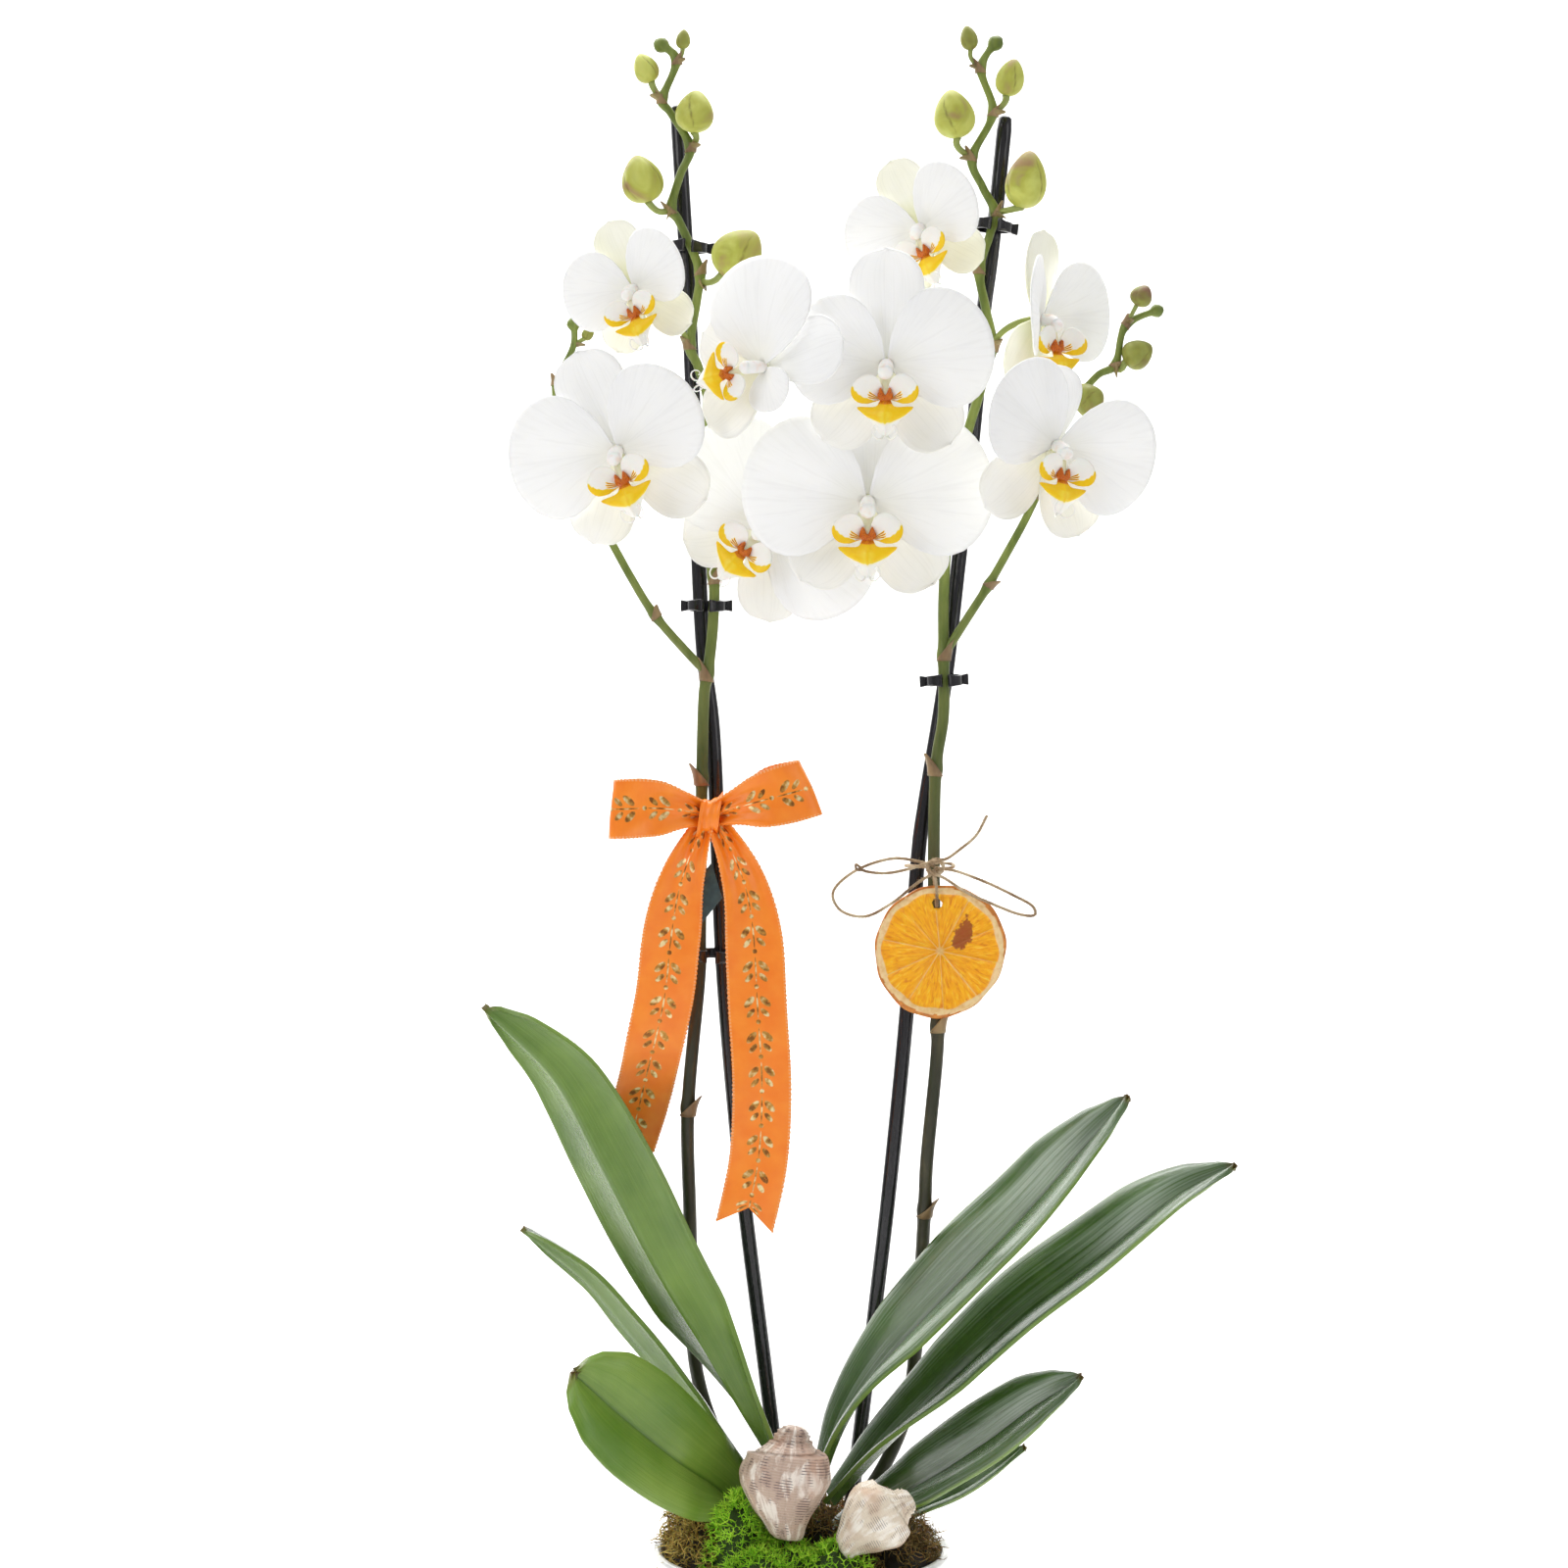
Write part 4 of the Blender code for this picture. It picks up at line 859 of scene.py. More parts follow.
def makeLip(number):
    grow = flowers[number].get("lip", 1.0)
    place = flowerPlace(number, grow, flowers[number].get("lipTurn", 0.0))
    size = flowers[number]["size"] * grow
    parts = []

    lobe = gridSheet("lobe", 20, 26, lambda a, b: place(*lobePoint(a, b)))
    storeValues(lobe, "tone", [lobeTone(a, b) for a, b in gridSpots(20, 26)])
    lobe.data.materials.append(lipWax)
    addModifier(lobe, "SOLIDIFY", thickness=0.9 * size * mm, offset=0.0)
    parts.append(applyAll(lobe))

    for side in (1, -1):
        wing = gridSheet("wing", 20, 14, lambda a, b: place(*wingPoint(side, a, b)))
        storeValues(wing, "tone", [wingTone(a, b) for a, b in gridSpots(20, 14)])
        wing.data.materials.append(lipWax)
        addModifier(mergeDoubles(wing), "SOLIDIFY", thickness=0.8 * size * mm, offset=0.0)
        parts.append(applyAll(wing))
        curl = smoothPath([place(side * u, v, d) for u, v, d in lipShape["tendril"]], 0.8 * mm)
        thin = [mix(1.0, 0.45, index / (len(curl) - 1)) for index in range(len(curl))]
        tendril = tubeBar("tendril", curl, 0.5 * size * mm, thin, sides=1)
        paintValue(tendril, "tone", lambda co: 0.0)
        tendril.data.materials.append(lipWax)
        parts.append(tendril)

    # callus: a crown of two blunt horns over a forked foot
    clearPick()
    bpy.ops.mesh.primitive_ico_sphere_add(subdivisions=4, radius=1.0, location=(0, 0, 0))
    crown = bpy.context.active_object
    for vertex in crown.data.vertices:
        u, d, v = vertex.co
        horn = math.exp(-((abs(u) - 0.62) / 0.28) ** 2) * max(0.0, v)
        dip = math.exp(-(u / 0.30) ** 2) * max(0.0, v)
        rough = 0.10 * noise.noise(vertex.co * 4.0 + Vector((number * 3.0, 0, 0)))
        narrow = 1.0 - 0.45 * max(0.0, -v)
        vertex.co = place(
            u * 3.5 * narrow * (1 + rough), -12.4 + v * 2.9 + 2.2 * horn - 1.9 * dip,
            13.2 - d * 2.4 * (1 + rough) + 1.0 * horn
        )
    paintValue(crown, "tone", lambda co: 0.8)
    crown.data.materials.append(lipWax)
    parts.append(crown)

    # column with its rounded cap, and the pale foot that runs down to the callus
    body = smoothPath(
        [place(0, 0.8, 1.0), place(0, 0.4, 5.0), place(0, -0.6, 9.0), place(0, -1.9, 12.2)], 1.0 * mm
    )
    grow = [mix(0.82, 1.0, min(1.0, index / 6)) for index in range(len(body))]
    column = tubeBar("column", body, 3.3 * size * mm, grow, sides=5)
    foot = tubeBar(
        "foot",
        smoothPath(
            [place(0, -1.5, 7.0), place(0, -5.5, 8.8), place(0, -9.5, 10.4), place(0, -13.0, 12.0)], 1.0 * mm
        ), 2.5 * size * mm, sides=5
    )
    clearPick()
    bpy.ops.mesh.primitive_uv_sphere_add(segments=24, ring_count=16, radius=1.0, location=(0, 0, 0))
    cap = bpy.context.active_object
    for vertex in cap.data.vertices:
        u, d, v = vertex.co
        beak = max(0.0, -d) * math.exp(-(u / 0.5) ** 2) * max(0.0, -v)
        vertex.co = place(u * 3.3, -2.0 + v * 2.9 - 0.8 * beak, 12.4 - d * 2.6)
    for piece, tone in ((column, 0.06), (foot, 0.16), (cap, 0.10)):
        paintValue(piece, "tone", lambda co: tone)
        piece.data.materials.append(columnWax if piece is not foot else footWax)
        parts.append(piece)
    whole = joinParts(f"bloom{number}Lip", parts)
    finishPiece(faceOut(whole), f"flower_{number}_lip")


def gridSpots(across, along):
    # the same order as the points of a grid primitive
    return [(x / across, y / along) for y in range(along + 1) for x in range(across + 1)]


def makePetalSkin(name, color, deep, shade):
    # living petal: satin, soft and faintly see-through, with fine veins that fan out from the claw
    made, tree, shader = newMaterial(
        name, color, 0.55, IOR=1.38, Subsurface_Weight=0.22, Subsurface_Scale=2.0 * mm, Sheen_Weight=0.12
    )
    shader.inputs["Subsurface Radius"].default_value = (1.0, 0.95, 0.8)
    own = addNode(tree, "TexCoord")
    stretched = addNode(tree, "Mapping", {"Scale": (46.0, 2.4, 1.0)}, {"Vector": (own, "UV")})
    vein = addNode(
        tree, "TexNoise", {"Scale": 1.0, "Detail": 4.0, "Roughness": 0.55, "Distortion": 0.3},
        {"Vector": (stretched, "Vector")}
    )
    broad = addNode(tree, "TexNoise", {"Scale": 34.0, "Detail": 2.0}, {"Vector": (own, "Object")})
    tone = addNode(tree, "ValToRGB", None, {"Fac": (broad, "Fac")}, [(0.35, deep), (0.62, color)])
    # the claw, where UV runs to 0, is a little deeper in colour
    apart = addNode(tree, "SeparateXYZ", None, {"Vector": (own, "UV")})
    throat = addNode(
        tree, "MapRange", {"From Min": 0.0, "From Max": 0.34, "To Min": 1.0, "To Max": 0.0},
        {"Value": (apart, "Y")}
    )
    blend = addNode(tree, "MixRGB", {"Color2": shade}, {"Fac": (throat, "Result"), "Color1": (tone, "Color")})
    lines = addNode(tree, "ValToRGB", None, {"Fac": (vein, "Fac")}, [(0.34, grey(0.982)), (0.52, grey(1.0))])
    both = addNode(
        tree, "MixRGB", {"Fac": 1.0}, {"Color1": (blend, "Color"), "Color2": (lines, "Color")},
        blend_type="MULTIPLY"
    )
    tree.links.new(both.outputs["Color"], shader.inputs["Base Color"])
    addBump(tree, shader, vein, "Fac", 0.09 * mm, 0.5)
    return made


def makeLipWax():
    # waxy lip: white, egg yellow, orange crown with red freckles, set by the painted tone
    made, tree, shader = newMaterial(
        "waxyLip", "#f6c400", 0.38, IOR=1.42, Subsurface_Weight=0.15, Subsurface_Scale=1.5 * mm
    )
    tone = addNode(tree, "Attribute", attribute_name="tone")
    own = addNode(tree, "TexCoord")
    wobble = addNode(tree, "TexNoise", {"Scale": 700.0, "Detail": 2.0}, {"Vector": (own, "Object")})
    edge = addNode(tree, "Math", {1: 0.10, 2: -0.05}, {0: (wobble, "Fac")}, operation="MULTIPLY_ADD")
    total = addNode(tree, "Math", None, {0: (tone, "Fac"), 1: (edge, 0)}, operation="ADD")
    color = addNode(tree, "ValToRGB", None, {"Fac": (total, 0)}, [
        (0.0, "#f7f5ef"), (0.18, "#f8f1d8"), (0.30, "#f9dc3e"), (0.50, "#f6cb08"), (0.66, "#f0a508"),
        (0.80, "#c9660c"), (0.96, "#9a3310"),
    ])
    freckle = addNode(tree, "TexVoronoi", {"Scale": 1500.0}, {"Vector": (own, "Object")})
    dots = addNode(
        tree, "ValToRGB", None, {"Fac": (freckle, "Distance")}, [(0.22, "#ffffff"), (0.36, "#000000")]
    )
    where = addNode(
        tree, "MapRange", {"From Min": 0.68, "From Max": 0.8, "To Max": 0.75}, {"Value": (tone, "Fac")}
    )
    amount = addNode(tree, "Math", None, {0: (dots, "Color"), 1: (where, "Result")}, operation="MULTIPLY")
    red = addNode(tree, "MixRGB", {"Color2": "#8e1f10"}, {"Fac": (amount, 0), "Color1": (color, "Color")})
    tree.links.new(red.outputs["Color"], shader.inputs["Base Color"])
    addBump(tree, shader, wobble, "Fac", 0.25 * mm, 0.6)
    return made


def makeColumnWax(name, color, blush):
    # column and foot: smooth waxy white, blushed
    made, tree, shader = newMaterial(
        name, color, 0.42, IOR=1.42, Subsurface_Weight=0.2, Subsurface_Scale=1.5 * mm
    )
    own = addNode(tree, "TexCoord")
    cloud = addNode(tree, "TexNoise", {"Scale": 260.0, "Detail": 2.0}, {"Vector": (own, "Object")})
    tone = addNode(tree, "ValToRGB", None, {"Fac": (cloud, "Fac")}, [(0.50, color), (0.72, blush)])
    tree.links.new(tone.outputs["Color"], shader.inputs["Base Color"])
    return made


petalWhite = makePetalSkin("whitePetal", "#fdfdfd", "#f9f9f9", "#f7f7f0")
sepalCream = [
    makePetalSkin("creamSepal", "#fcfbf6", "#f7f5ea", "#efefd6"),
    makePetalSkin("greenishSepal", "#faf9ea", "#f4f3dc", "#e8eabf"),
]
lipWax = makeLipWax()
columnWax = makeColumnWax("blushedColumn", "#fbf8f4", "#f6e6da")
footWax = makeColumnWax("greenishColumnFoot", "#ece9c6", "#f3efdc")
for number in flowers:
    makeTepals(number)
    makeLip(number)
print("flowers open")


# leaves


leaves = {
    # midline from base to tip, half width, roll, fold, and how the two halves bulge between rib and rim
    1: {
        "line": [
            (-6.5, 1, 148.5), (-19, -1, 170.4), (-38.4, -3, 203.4), (-62.8, -5, 244.6), (-83.7, -5, 285.3),
            (-106.2, 0, 324.8), (-137, 8, 353)
        ],
        "half": 27.0, "roll": -45.0, "fold": 15.0, "bulge": 1.6, "slot": "leaf_light",
    },
    2: {
        "line": [
            (-10.5, 6, 136), (-35.3, 9, 164.5), (-54.4, 9, 188), (-75.6, 9, 214.4), (-92.6, 10, 234.1),
            (-121, 12, 256)
        ],
        "half": 17.5, "roll": -25.0, "fold": 10.0, "bulge": 1.2, "slot": "leaf_light",
    },
    3: {
        "line": [
            (-10.5, -6, 125), (-34.9, -13, 147.4), (-53.4, -24, 162.9), (-73.7, -36, 182.4), (-89.8, -44, 198.7),
            (-96.5, -47, 205.5)
        ],
        "half": 27.0, "roll": 52.0, "fold": 17.5, "bulge": 2.6, "slot": "leaf_light", "broad": True,
    },
    4: {
        "line": [
            (8.5, 2, 148.5), (17.8, 0, 174), (36.8, -2, 202.4), (70.4, -4, 238.9), (97.7, -4, 266.5),
            (120.9, -2, 293.7), (141, 0, 315)
        ],
        "half": 24.5, "roll": 30.0, "fold": 25.0, "bulge": 1.8, "slot": "leaf_dark",
    },
    5: {
        "line": [
            (13.5, 3, 138), (34.8, 0, 163.5), (59.9, -4, 187.9), (93.5, -6, 220.2), (127.1, -6, 245.6),
            (160.8, -4, 272.8), (187, 0, 285)
        ],
        "half": 24.5, "roll": 25.0, "fold": 28.0, "bulge": 1.8, "slot": "leaf_dark",
    },
    6: {
        "line": [
            (13.5, -1, 126.5), (38.8, -8, 142.5), (55.5, -12, 153.1), (78.4, -16, 168.9), (101.3, -18, 186.3),
            (119.5, -20, 198)
        ],
        "half": 20.5, "roll": 30.0, "fold": 22.0, "bulge": 1.5, "slot": "leaf_dark",
    },
    7: {
        "line": [
            (13.5, 9, 116), (37, 12, 127.0), (53.9, 12, 133.6), (70.6, 10, 141.9), (85.1, 8, 151.8), (97, 6, 162)
        ],
        "half": 8.5, "roll": 20.0, "fold": 30.0, "bulge": 0.5, "slot": "leaf_dark",
    },
}
leafShape = {
    "widths": [
        (0.0, 0.46), (0.12, 0.62), (0.35, 0.88), (0.6, 1.0), (0.8, 0.86), (0.92, 0.54), (0.98, 0.24),
        (1.0, 0.0)
    ],
    "broadWidths": [
        (0.0, 0.42), (0.15, 0.58), (0.4, 0.86), (0.68, 1.0), (0.86, 0.88), (0.95, 0.60), (0.985, 0.34),
        (1.0, 0.0)
    ],
    "thickness": 1.9,
    "across": 24,
    "along": 56,
}


def leafPoint(number, path, across, along):
    leaf = leaves[number]
    along = 1 - (1 - along) ** 1.25
    last = len(path) - 1
    at = along * last
    low = min(last - 1, int(at))
    here = path[low].lerp(path[low + 1], at - low)
    reach = 0.05 * last
    ahead = (path[min(last, round(at + reach))] - path[max(0, round(at - reach))]).normalized()
    level = Vector((0, 1, 0))
    level = (level - ahead * level.dot(ahead)).normalized()
    upper = ahead.cross(level)
    if upper.z < 0:
        upper.negate()
    turned = math.radians(leaf["roll"]) * min(1.0, along / 0.35)
    sideways = level * math.cos(turned) + upper * math.sin(turned)
    above = upper * math.cos(turned) - level * math.sin(turned)
    table = leafShape["broadWidths" if leaf.get("broad") else "widths"]
    half = leaf["half"] * readTable(table, along) * mm
    side = 2 * across - 1
    fold = math.radians(leaf["fold"]) * mix(1.35, 1.0, min(1.0, along / 0.3))
    rounded = math.sqrt(side * side + 0.012) - math.sqrt(0.012)
    lift = rounded * half * math.sin(fold)
    lift += leaf["bulge"] * mm * math.sin(math.pi * min(1.0, abs(side))) * min(1.0, along * 4)
    # groove of the midrib
    lift -= 0.9 * mm * math.exp(-(side / 0.055) ** 2) * min(1.0, along * 4) * (1 - along)
    lift -= 1.2 * mm * abs(side) ** 6  # the rim turns down a little
    lift += 0.8 * mm * noise.noise(Vector((along * 5.0, number * 9.0, side * 1.2)))
    notch = (
        1.4 * mm * math.exp(-(side / 0.22) ** 2) * max(0.0, (along - 0.96) / 0.04) if number in (3, 4, 5, 6)
        else 0.0
    )
    return here + sideways * (side * half * math.cos(fold)) + above * lift - ahead * notch


def makeLeaf(number):
    leaf = leaves[number]
    path = smoothPath([spot(*place) for place in leaf["line"]], 1.0 * mm)
    blade = gridSheet(
        f"leafBlade{number}", leafShape["across"], leafShape["along"],
        lambda a, b: leafPoint(number, path, a, b)
    )
    mergeDoubles(blade)
    # the upper side is the one that looks up, whichever way the grid came out
    middle = leafPoint(number, path, 0.5, 0.5)
    up = sum(
        (polygon.normal.z for polygon in blade.data.polygons if (polygon.center - middle).length < 0.03), 0.0
    )
    if up < 0:
        pick(blade)
        bpy.ops.object.mode_set(mode="EDIT")
        bpy.ops.mesh.select_all(action="SELECT")
        bpy.ops.mesh.flip_normals()
        bpy.ops.object.mode_set(mode="OBJECT")
    # the broad leaf's upper side takes a lighter copy of the glossy top: painted reflection of the sky
    for finish in (leafFinish["reflectionPaleTop" if leaf.get("broad") else "top"], leafFinish["under"], leafFinish["rim"]):
        blade.data.materials.append(finish)
    addModifier(
        blade, "SOLIDIFY", thickness=leafShape["thickness"] * mm, offset=-1.0, material_offset=1,
        material_offset_rim=2
    )
    applyAll(blade)
    addModifier(blade, "BEVEL", width=0.55 * mm, segments=2, limit_method="ANGLE", angle_limit=math.radians(55))
    applyAll(blade)
    finishPiece(faceOut(blade), f"leaf_{number}")


def makeLeafSkin(name, dark, light, rib, roughness, gloss, streak, paintedSheen=0.0):
    # waxy leaf: cuticle over green, with veins and streaks that run along it, whitish streaks of painted
    # reflection, and a browned tip
    made, tree, shader = newMaterial(
        name, dark, roughness, IOR=1.45, Coat_Weight=gloss, Coat_Roughness=0.22, Subsurface_Weight=0.06,
        Subsurface_Scale=1.0 * mm
    )
    own = addNode(tree, "TexCoord")
    stretched = addNode(tree, "Mapping", {"Scale": (38.0, 1.6, 1.0)}, {"Vector": (own, "UV")})
    vein = addNode(
        tree, "TexNoise", {"Scale": 1.0, "Detail": 5.0, "Roughness": 0.6}, {"Vector": (stretched, "Vector")}
    )
    cloud = addNode(tree, "TexNoise", {"Scale": 26.0, "Detail": 3.0}, {"Vector": (own, "Object")})
    tone = addNode(tree, "Math", {1: 0.45}, {0: (vein, "Fac"), 2: (cloud, "Fac")}, operation="MULTIPLY_ADD")
    color = addNode(tree, "ValToRGB", None, {"Fac": (tone, 0)}, [(0.50, dark), (0.95, light)])
    apart = addNode(tree, "SeparateXYZ", None, {"Vector": (own, "UV")})
    # midrib: a thin line down the middle of the UV map; on the upper sides it is darker, painted shade in the
    # groove of the midrib
    off = addNode(tree, "Math", {1: 0.5}, {0: (apart, "X")}, operation="SUBTRACT")
    away = addNode(tree, "Math", None, {0: (off, 0)}, operation="ABSOLUTE")
    line = addNode(
        tree, "MapRange", {"From Min": 0.006, "From Max": 0.022, "To Min": 0.75, "To Max": 0.0},
        {"Value": (away, 0)}
    )
    # painted reflection: whitish streaks of painted sheen along the blade, in patches
    drawn = addNode(tree, "Mapping", {"Scale": (30.0, 0.9, 1.0)}, {"Vector": (own, "UV")})
    sheenStreak = addNode(
        tree, "TexNoise", {"Scale": 1.0, "Detail": 6.0, "Roughness": 0.7}, {"Vector": (drawn, "Vector")}
    )
    patch = addNode(tree, "Mapping", {"Scale": (3.2, 2.2, 1.0)}, {"Vector": (own, "UV")})
    spread = addNode(tree, "TexNoise", {"Scale": 1.0, "Detail": 1.0}, {"Vector": (patch, "Vector")})
    sheenStreakMask = addNode(tree, "Math", None, {0: (sheenStreak, "Fac"), 1: (spread, "Fac")}, operation="MULTIPLY")
    paintedSheenMask = addNode(
        tree, "MapRange", {"From Min": 0.22, "From Max": 0.36, "To Max": paintedSheen}, {"Value": (sheenStreakMask, 0)}
    )
    withPaintedSheen = addNode(
        tree, "MixRGB", {"Color2": "#a9b8a6"}, {"Fac": (paintedSheenMask, "Result"), "Color1": (color, "Color")}
    )
    ribbed = addNode(tree, "MixRGB", {"Color2": rib}, {"Fac": (line, "Result"), "Color1": (withPaintedSheen, "Color")})
    # yellowish rim, then the dry tip
    rim = addNode(tree, "MapRange", {"From Min": 0.475, "From Max": 0.5, "To Max": 0.45}, {"Value": (away, 0)})
    edged = addNode(
        tree, "MixRGB", {"Color2": "#7f9a44"}, {"Fac": (rim, "Result"), "Color1": (ribbed, "Color")}
    )
    tip = addNode(
        tree, "MapRange", {"From Min": 0.955, "From Max": 1.0, "To Max": 0.8}, {"Value": (apart, "Y")}
    )
    dried = addNode(tree, "MixRGB", {"Color2": "#6b4a24"}, {"Fac": (tip, "Result"), "Color1": (edged, "Color")})
    tree.links.new(dried.outputs["Color"], shader.inputs["Base Color"])
    # water streaks make parts of the shine dull
    patchy = addNode(
        tree, "ValToRGB", None, {"Fac": (vein, "Fac")},
        [(0.35, grey(max(0.08, roughness - streak))), (0.65, grey(min(0.9, roughness + streak)))]
    )
    tree.links.new(patchy.outputs["Color"], shader.inputs["Roughness"])
    fine = addNode(tree, "Mapping", {"Scale": (90.0, 5.0, 1.0)}, {"Vector": (own, "UV")})
    ridges = addNode(tree, "TexNoise", {"Scale": 1.0, "Detail": 3.0}, {"Vector": (fine, "Vector")})
    addBump(tree, shader, ridges, "Fac", 0.30 * mm, 0.7)
    return made


leafFinish = {
    "top": makeLeafSkin("glossyLeafTop", "#2b451c", "#4c6c2e", "#223817", 0.34, 0.8, 0.16, 0.55),
    "under": makeLeafSkin("matteLeafUnderside", "#4f7020", "#73923a", "#5d7d2c", 0.50, 0.10, 0.05),
    # a lighter copy of the glossy top for the broad leaf that faces up: its paler colour is painted reflection
    # of the sky
    "reflectionPaleTop": makeLeafSkin("reflectionPaleLeafTop", "#5f8526", "#8aa848", "#4f7020", 0.42, 0.25, 0.08),
    "rim": makeLeafSkin("paleLeafRim", "#4c6a2c", "#6d8a42", "#587636", 0.55, 0.05, 0.05),
}
for number in leaves:
    makeLeaf(number)
print("leaves grown")


# crown: folded leaf feet that sheathe each other round a short stem


crown = {"middle": (1.0, 3.0), "low": 106.6, "high": 147.0, "half": (8.6, 7.4), "folds": 5}


def makeCrown():
    clearPick()
    x, y = crown["middle"]
    bpy.ops.mesh.primitive_cylinder_add(
        vertices=48, radius=1.0, depth=1.0, end_fill_type="NGON", location=(0, 0, 0)
    )
    made = bpy.context.active_object
    bpy.ops.object.mode_set(mode="EDIT")
    bpy.ops.mesh.select_all(action="SELECT")
    bpy.ops.mesh.normals_make_consistent(inside=False)
    bpy.ops.mesh.bisect(plane_co=(0, 0, 0), plane_no=(0, 0, 1))
    bpy.ops.object.mode_set(mode="OBJECT")
    for step in range(1, 12):
        pick(made)
        bpy.ops.object.mode_set(mode="EDIT")
        bpy.ops.mesh.select_all(action="SELECT")
        bpy.ops.mesh.bisect(plane_co=(0, 0, -0.5 + step / 12), plane_no=(0, 0, 1))
        bpy.ops.object.mode_set(mode="OBJECT")
    for vertex in made.data.vertices:
        height = vertex.co.z + 0.5
        angle = math.atan2(vertex.co.y, vertex.co.x)
        sheath = abs(math.sin(angle * crown["folds"] / 2 + height * 2.2))
        reach = (1.0 - 0.42 * height ** 2) * (0.86 + 0.14 * sheath)
        vertex.co = spot(
            x + crown["half"][0] * reach * math.cos(angle), y + crown["half"][1] * reach * math.sin(angle),
            mix(crown["low"], crown["high"], height)
        )
    made.name = "leafCrown"
    made.data.materials.append(leafFinish["under"])
    finishPiece(faceOut(mergeDoubles(made)), "plant_crown", angle=60)


makeCrown()
print("crown set")


# stakes and clips


stakes = {
    "stakeLeftRod": ("stake_left", [
        (-53.2, 5.5, 739.0), (-47.9, 5.5, 646.7), (-43.0, 5.5, 518.5), (-37.9, 5.5, 468.0), (-34.2, 5.5, 376.0),
        (-28.4, 9, 301.6), (-23.3, 14, 253.5), (-15.3, 22, 187.4), (-6.5, 26, 110.0), (-2.5, 27, 40.0),
    ]),
    "stakeRightRod": ("stake_right", [
        (86.9, 5.5, 734.5), (81.2, 5.5, 677.9), (77.5, 5.5, 649.2), (73.8, 5.5, 604.0), (66.8, 5.5, 539.9),
        (61.6, 5.5, 494.0), (53.1, 5.5, 441.0), (50.0, 5.5, 416.5), (45.3, 8, 349.5), (38.2, 13, 273.9),
        (32.0, 20, 217.0), (20.0, 30, 110.0), (15.0, 33, 40.0),
    ]),
}
stakeRadius = 3.3
clips = {
    # height band in front of the stem and round the stake: x, z, inner radius, lean
    1: (-48.2, 678.5, 7.6, 2), 2: (-40.8, 526.0, 7.8, 0), 3: (-38.7, 376.0, 9.8, 2), 4: (81.6, 687.6, 7.6, 7),
    5: (61.1, 494.0, 7.2, -3),
}
clipShape = {"height": 4.4, "wall": 1.3, "ear": 3.4, "middle": 2.0}


def makeStakes():
    for name, (node, line) in stakes.items():
        path = smoothPath([spot(*place) for place in line], 6 * mm)
        rounded = [0.55, 0.86] + [1.0] * (len(path) - 2)
        lead = (path[0] - path[1]).normalized()
        path = [path[0]] + [path[0] - lead * 0.9 * mm] + path[1:]
        rod = tubeBar(name, path, stakeRadius * mm, rounded + [1.0], sides=6)
        rod.data.materials.append(stakeFinish)
        finishPiece(faceOut(rod), node, angle=60)


def makeClip(number):
    # a moulded band open at the front, with two ears that flare where it snaps shut
    x, z, inner, lean = clips[number]
    half, steps = clipShape["height"] / 2, 40

    def bandPoint(across, along):
        angle = math.radians(-90 + 11 + (360 - 22) * along)
        reach = inner + 0.25 * math.sin(angle * 3)
        flare = max(0.0, (abs(along - 0.5) - 0.42) / 0.08)
        rise = half * (1.0 + 0.25 * flare) * (2 * across - 1)
        tip = -0.9 * flare ** 2
        return spot(
            x + reach * math.cos(angle), clipShape["middle"] + (reach + 0.7) * math.sin(angle) + tip,
            z + rise + 0.9 * math.sin(angle * 2) * 0.3
        )

    band = gridSheet("band", 4, steps, bandPoint)
    addModifier(band, "SOLIDIFY", thickness=clipShape["wall"] * mm, offset=0.0)
    addModifier(band, "BEVEL", width=0.35 * mm, segments=2, limit_method="ANGLE", angle_limit=math.radians(50))
    parts = [applyAll(band)]
    for side in (-1, 1):
        # thumb tab on each side, where the real clip is squeezed
        clearPick()
        bpy.ops.mesh.primitive_cube_add(size=1.0, location=(0, 0, 0))
        tab = bpy.context.active_object
        bpy.ops.object.mode_set(mode="EDIT")
        bpy.ops.mesh.select_all(action="SELECT")
        bpy.ops.transform.resize(value=(clipShape["ear"] * mm, 1.6 * mm, (clipShape["height"] - 0.6) * mm))
        bpy.ops.mesh.bevel(offset=0.45 * mm, segments=3, affect="EDGES")
        bpy.ops.object.mode_set(mode="OBJECT")
        for vertex in tab.data.vertices:
            out = vertex.co.x / (clipShape["ear"] * mm) * side + 0.5
            vertex.co.z *= 1.0 + 0.35 * out
            vertex.co += spot(x + side * (inner + 1.6), clipShape["middle"] + 2.2, z)
        parts.append(tab)
    whole = joinParts(f"clipBand{number}", parts)
    turn = (
        Matrix.Translation(spot(x, 2.0, z))
        @ Matrix.Rotation(math.radians(lean), 4, "Y")
        @ Matrix.Translation(-spot(x, 2.0, z))
    )
    whole.data.transform(turn)
    whole.data.materials.append(clipFinish)
    finishPiece(faceOut(whole), f"clip_{number}", angle=45)


def makePlastic(name, color, roughness, grain, depth):
    # extruded or moulded black polypropylene: dull sheen, fine draw lines along it
    made, tree, shader = newMaterial(name, color, roughness, IOR=1.49)
    own = addNode(tree, "TexCoord")
    drawn = addNode(tree, "Mapping", {"Scale": (1.0, 1.0, 0.05)}, {"Vector": (own, "Object")})
    lines = addNode(tree, "TexNoise", {"Scale": grain, "Detail": 3.0}, {"Vector": (drawn, "Vector")})
    rub = addNode(tree, "TexNoise", {"Scale": 60.0, "Detail": 4.0}, {"Vector": (own, "Object")})
    dulled = addNode(
        tree, "ValToRGB", None, {"Fac": (rub, "Fac")},
        [(0.4, grey(roughness - 0.06)), (0.7, grey(roughness + 0.12))]
    )
    tone = addNode(tree, "ValToRGB", None, {"Fac": (lines, "Fac")}, [(0.35, color), (0.9, "#2b2a30")])
    tree.links.new(tone.outputs["Color"], shader.inputs["Base Color"])
    tree.links.new(dulled.outputs["Color"], shader.inputs["Roughness"])
    addBump(tree, shader, lines, "Fac", depth, 0.6)
    return made


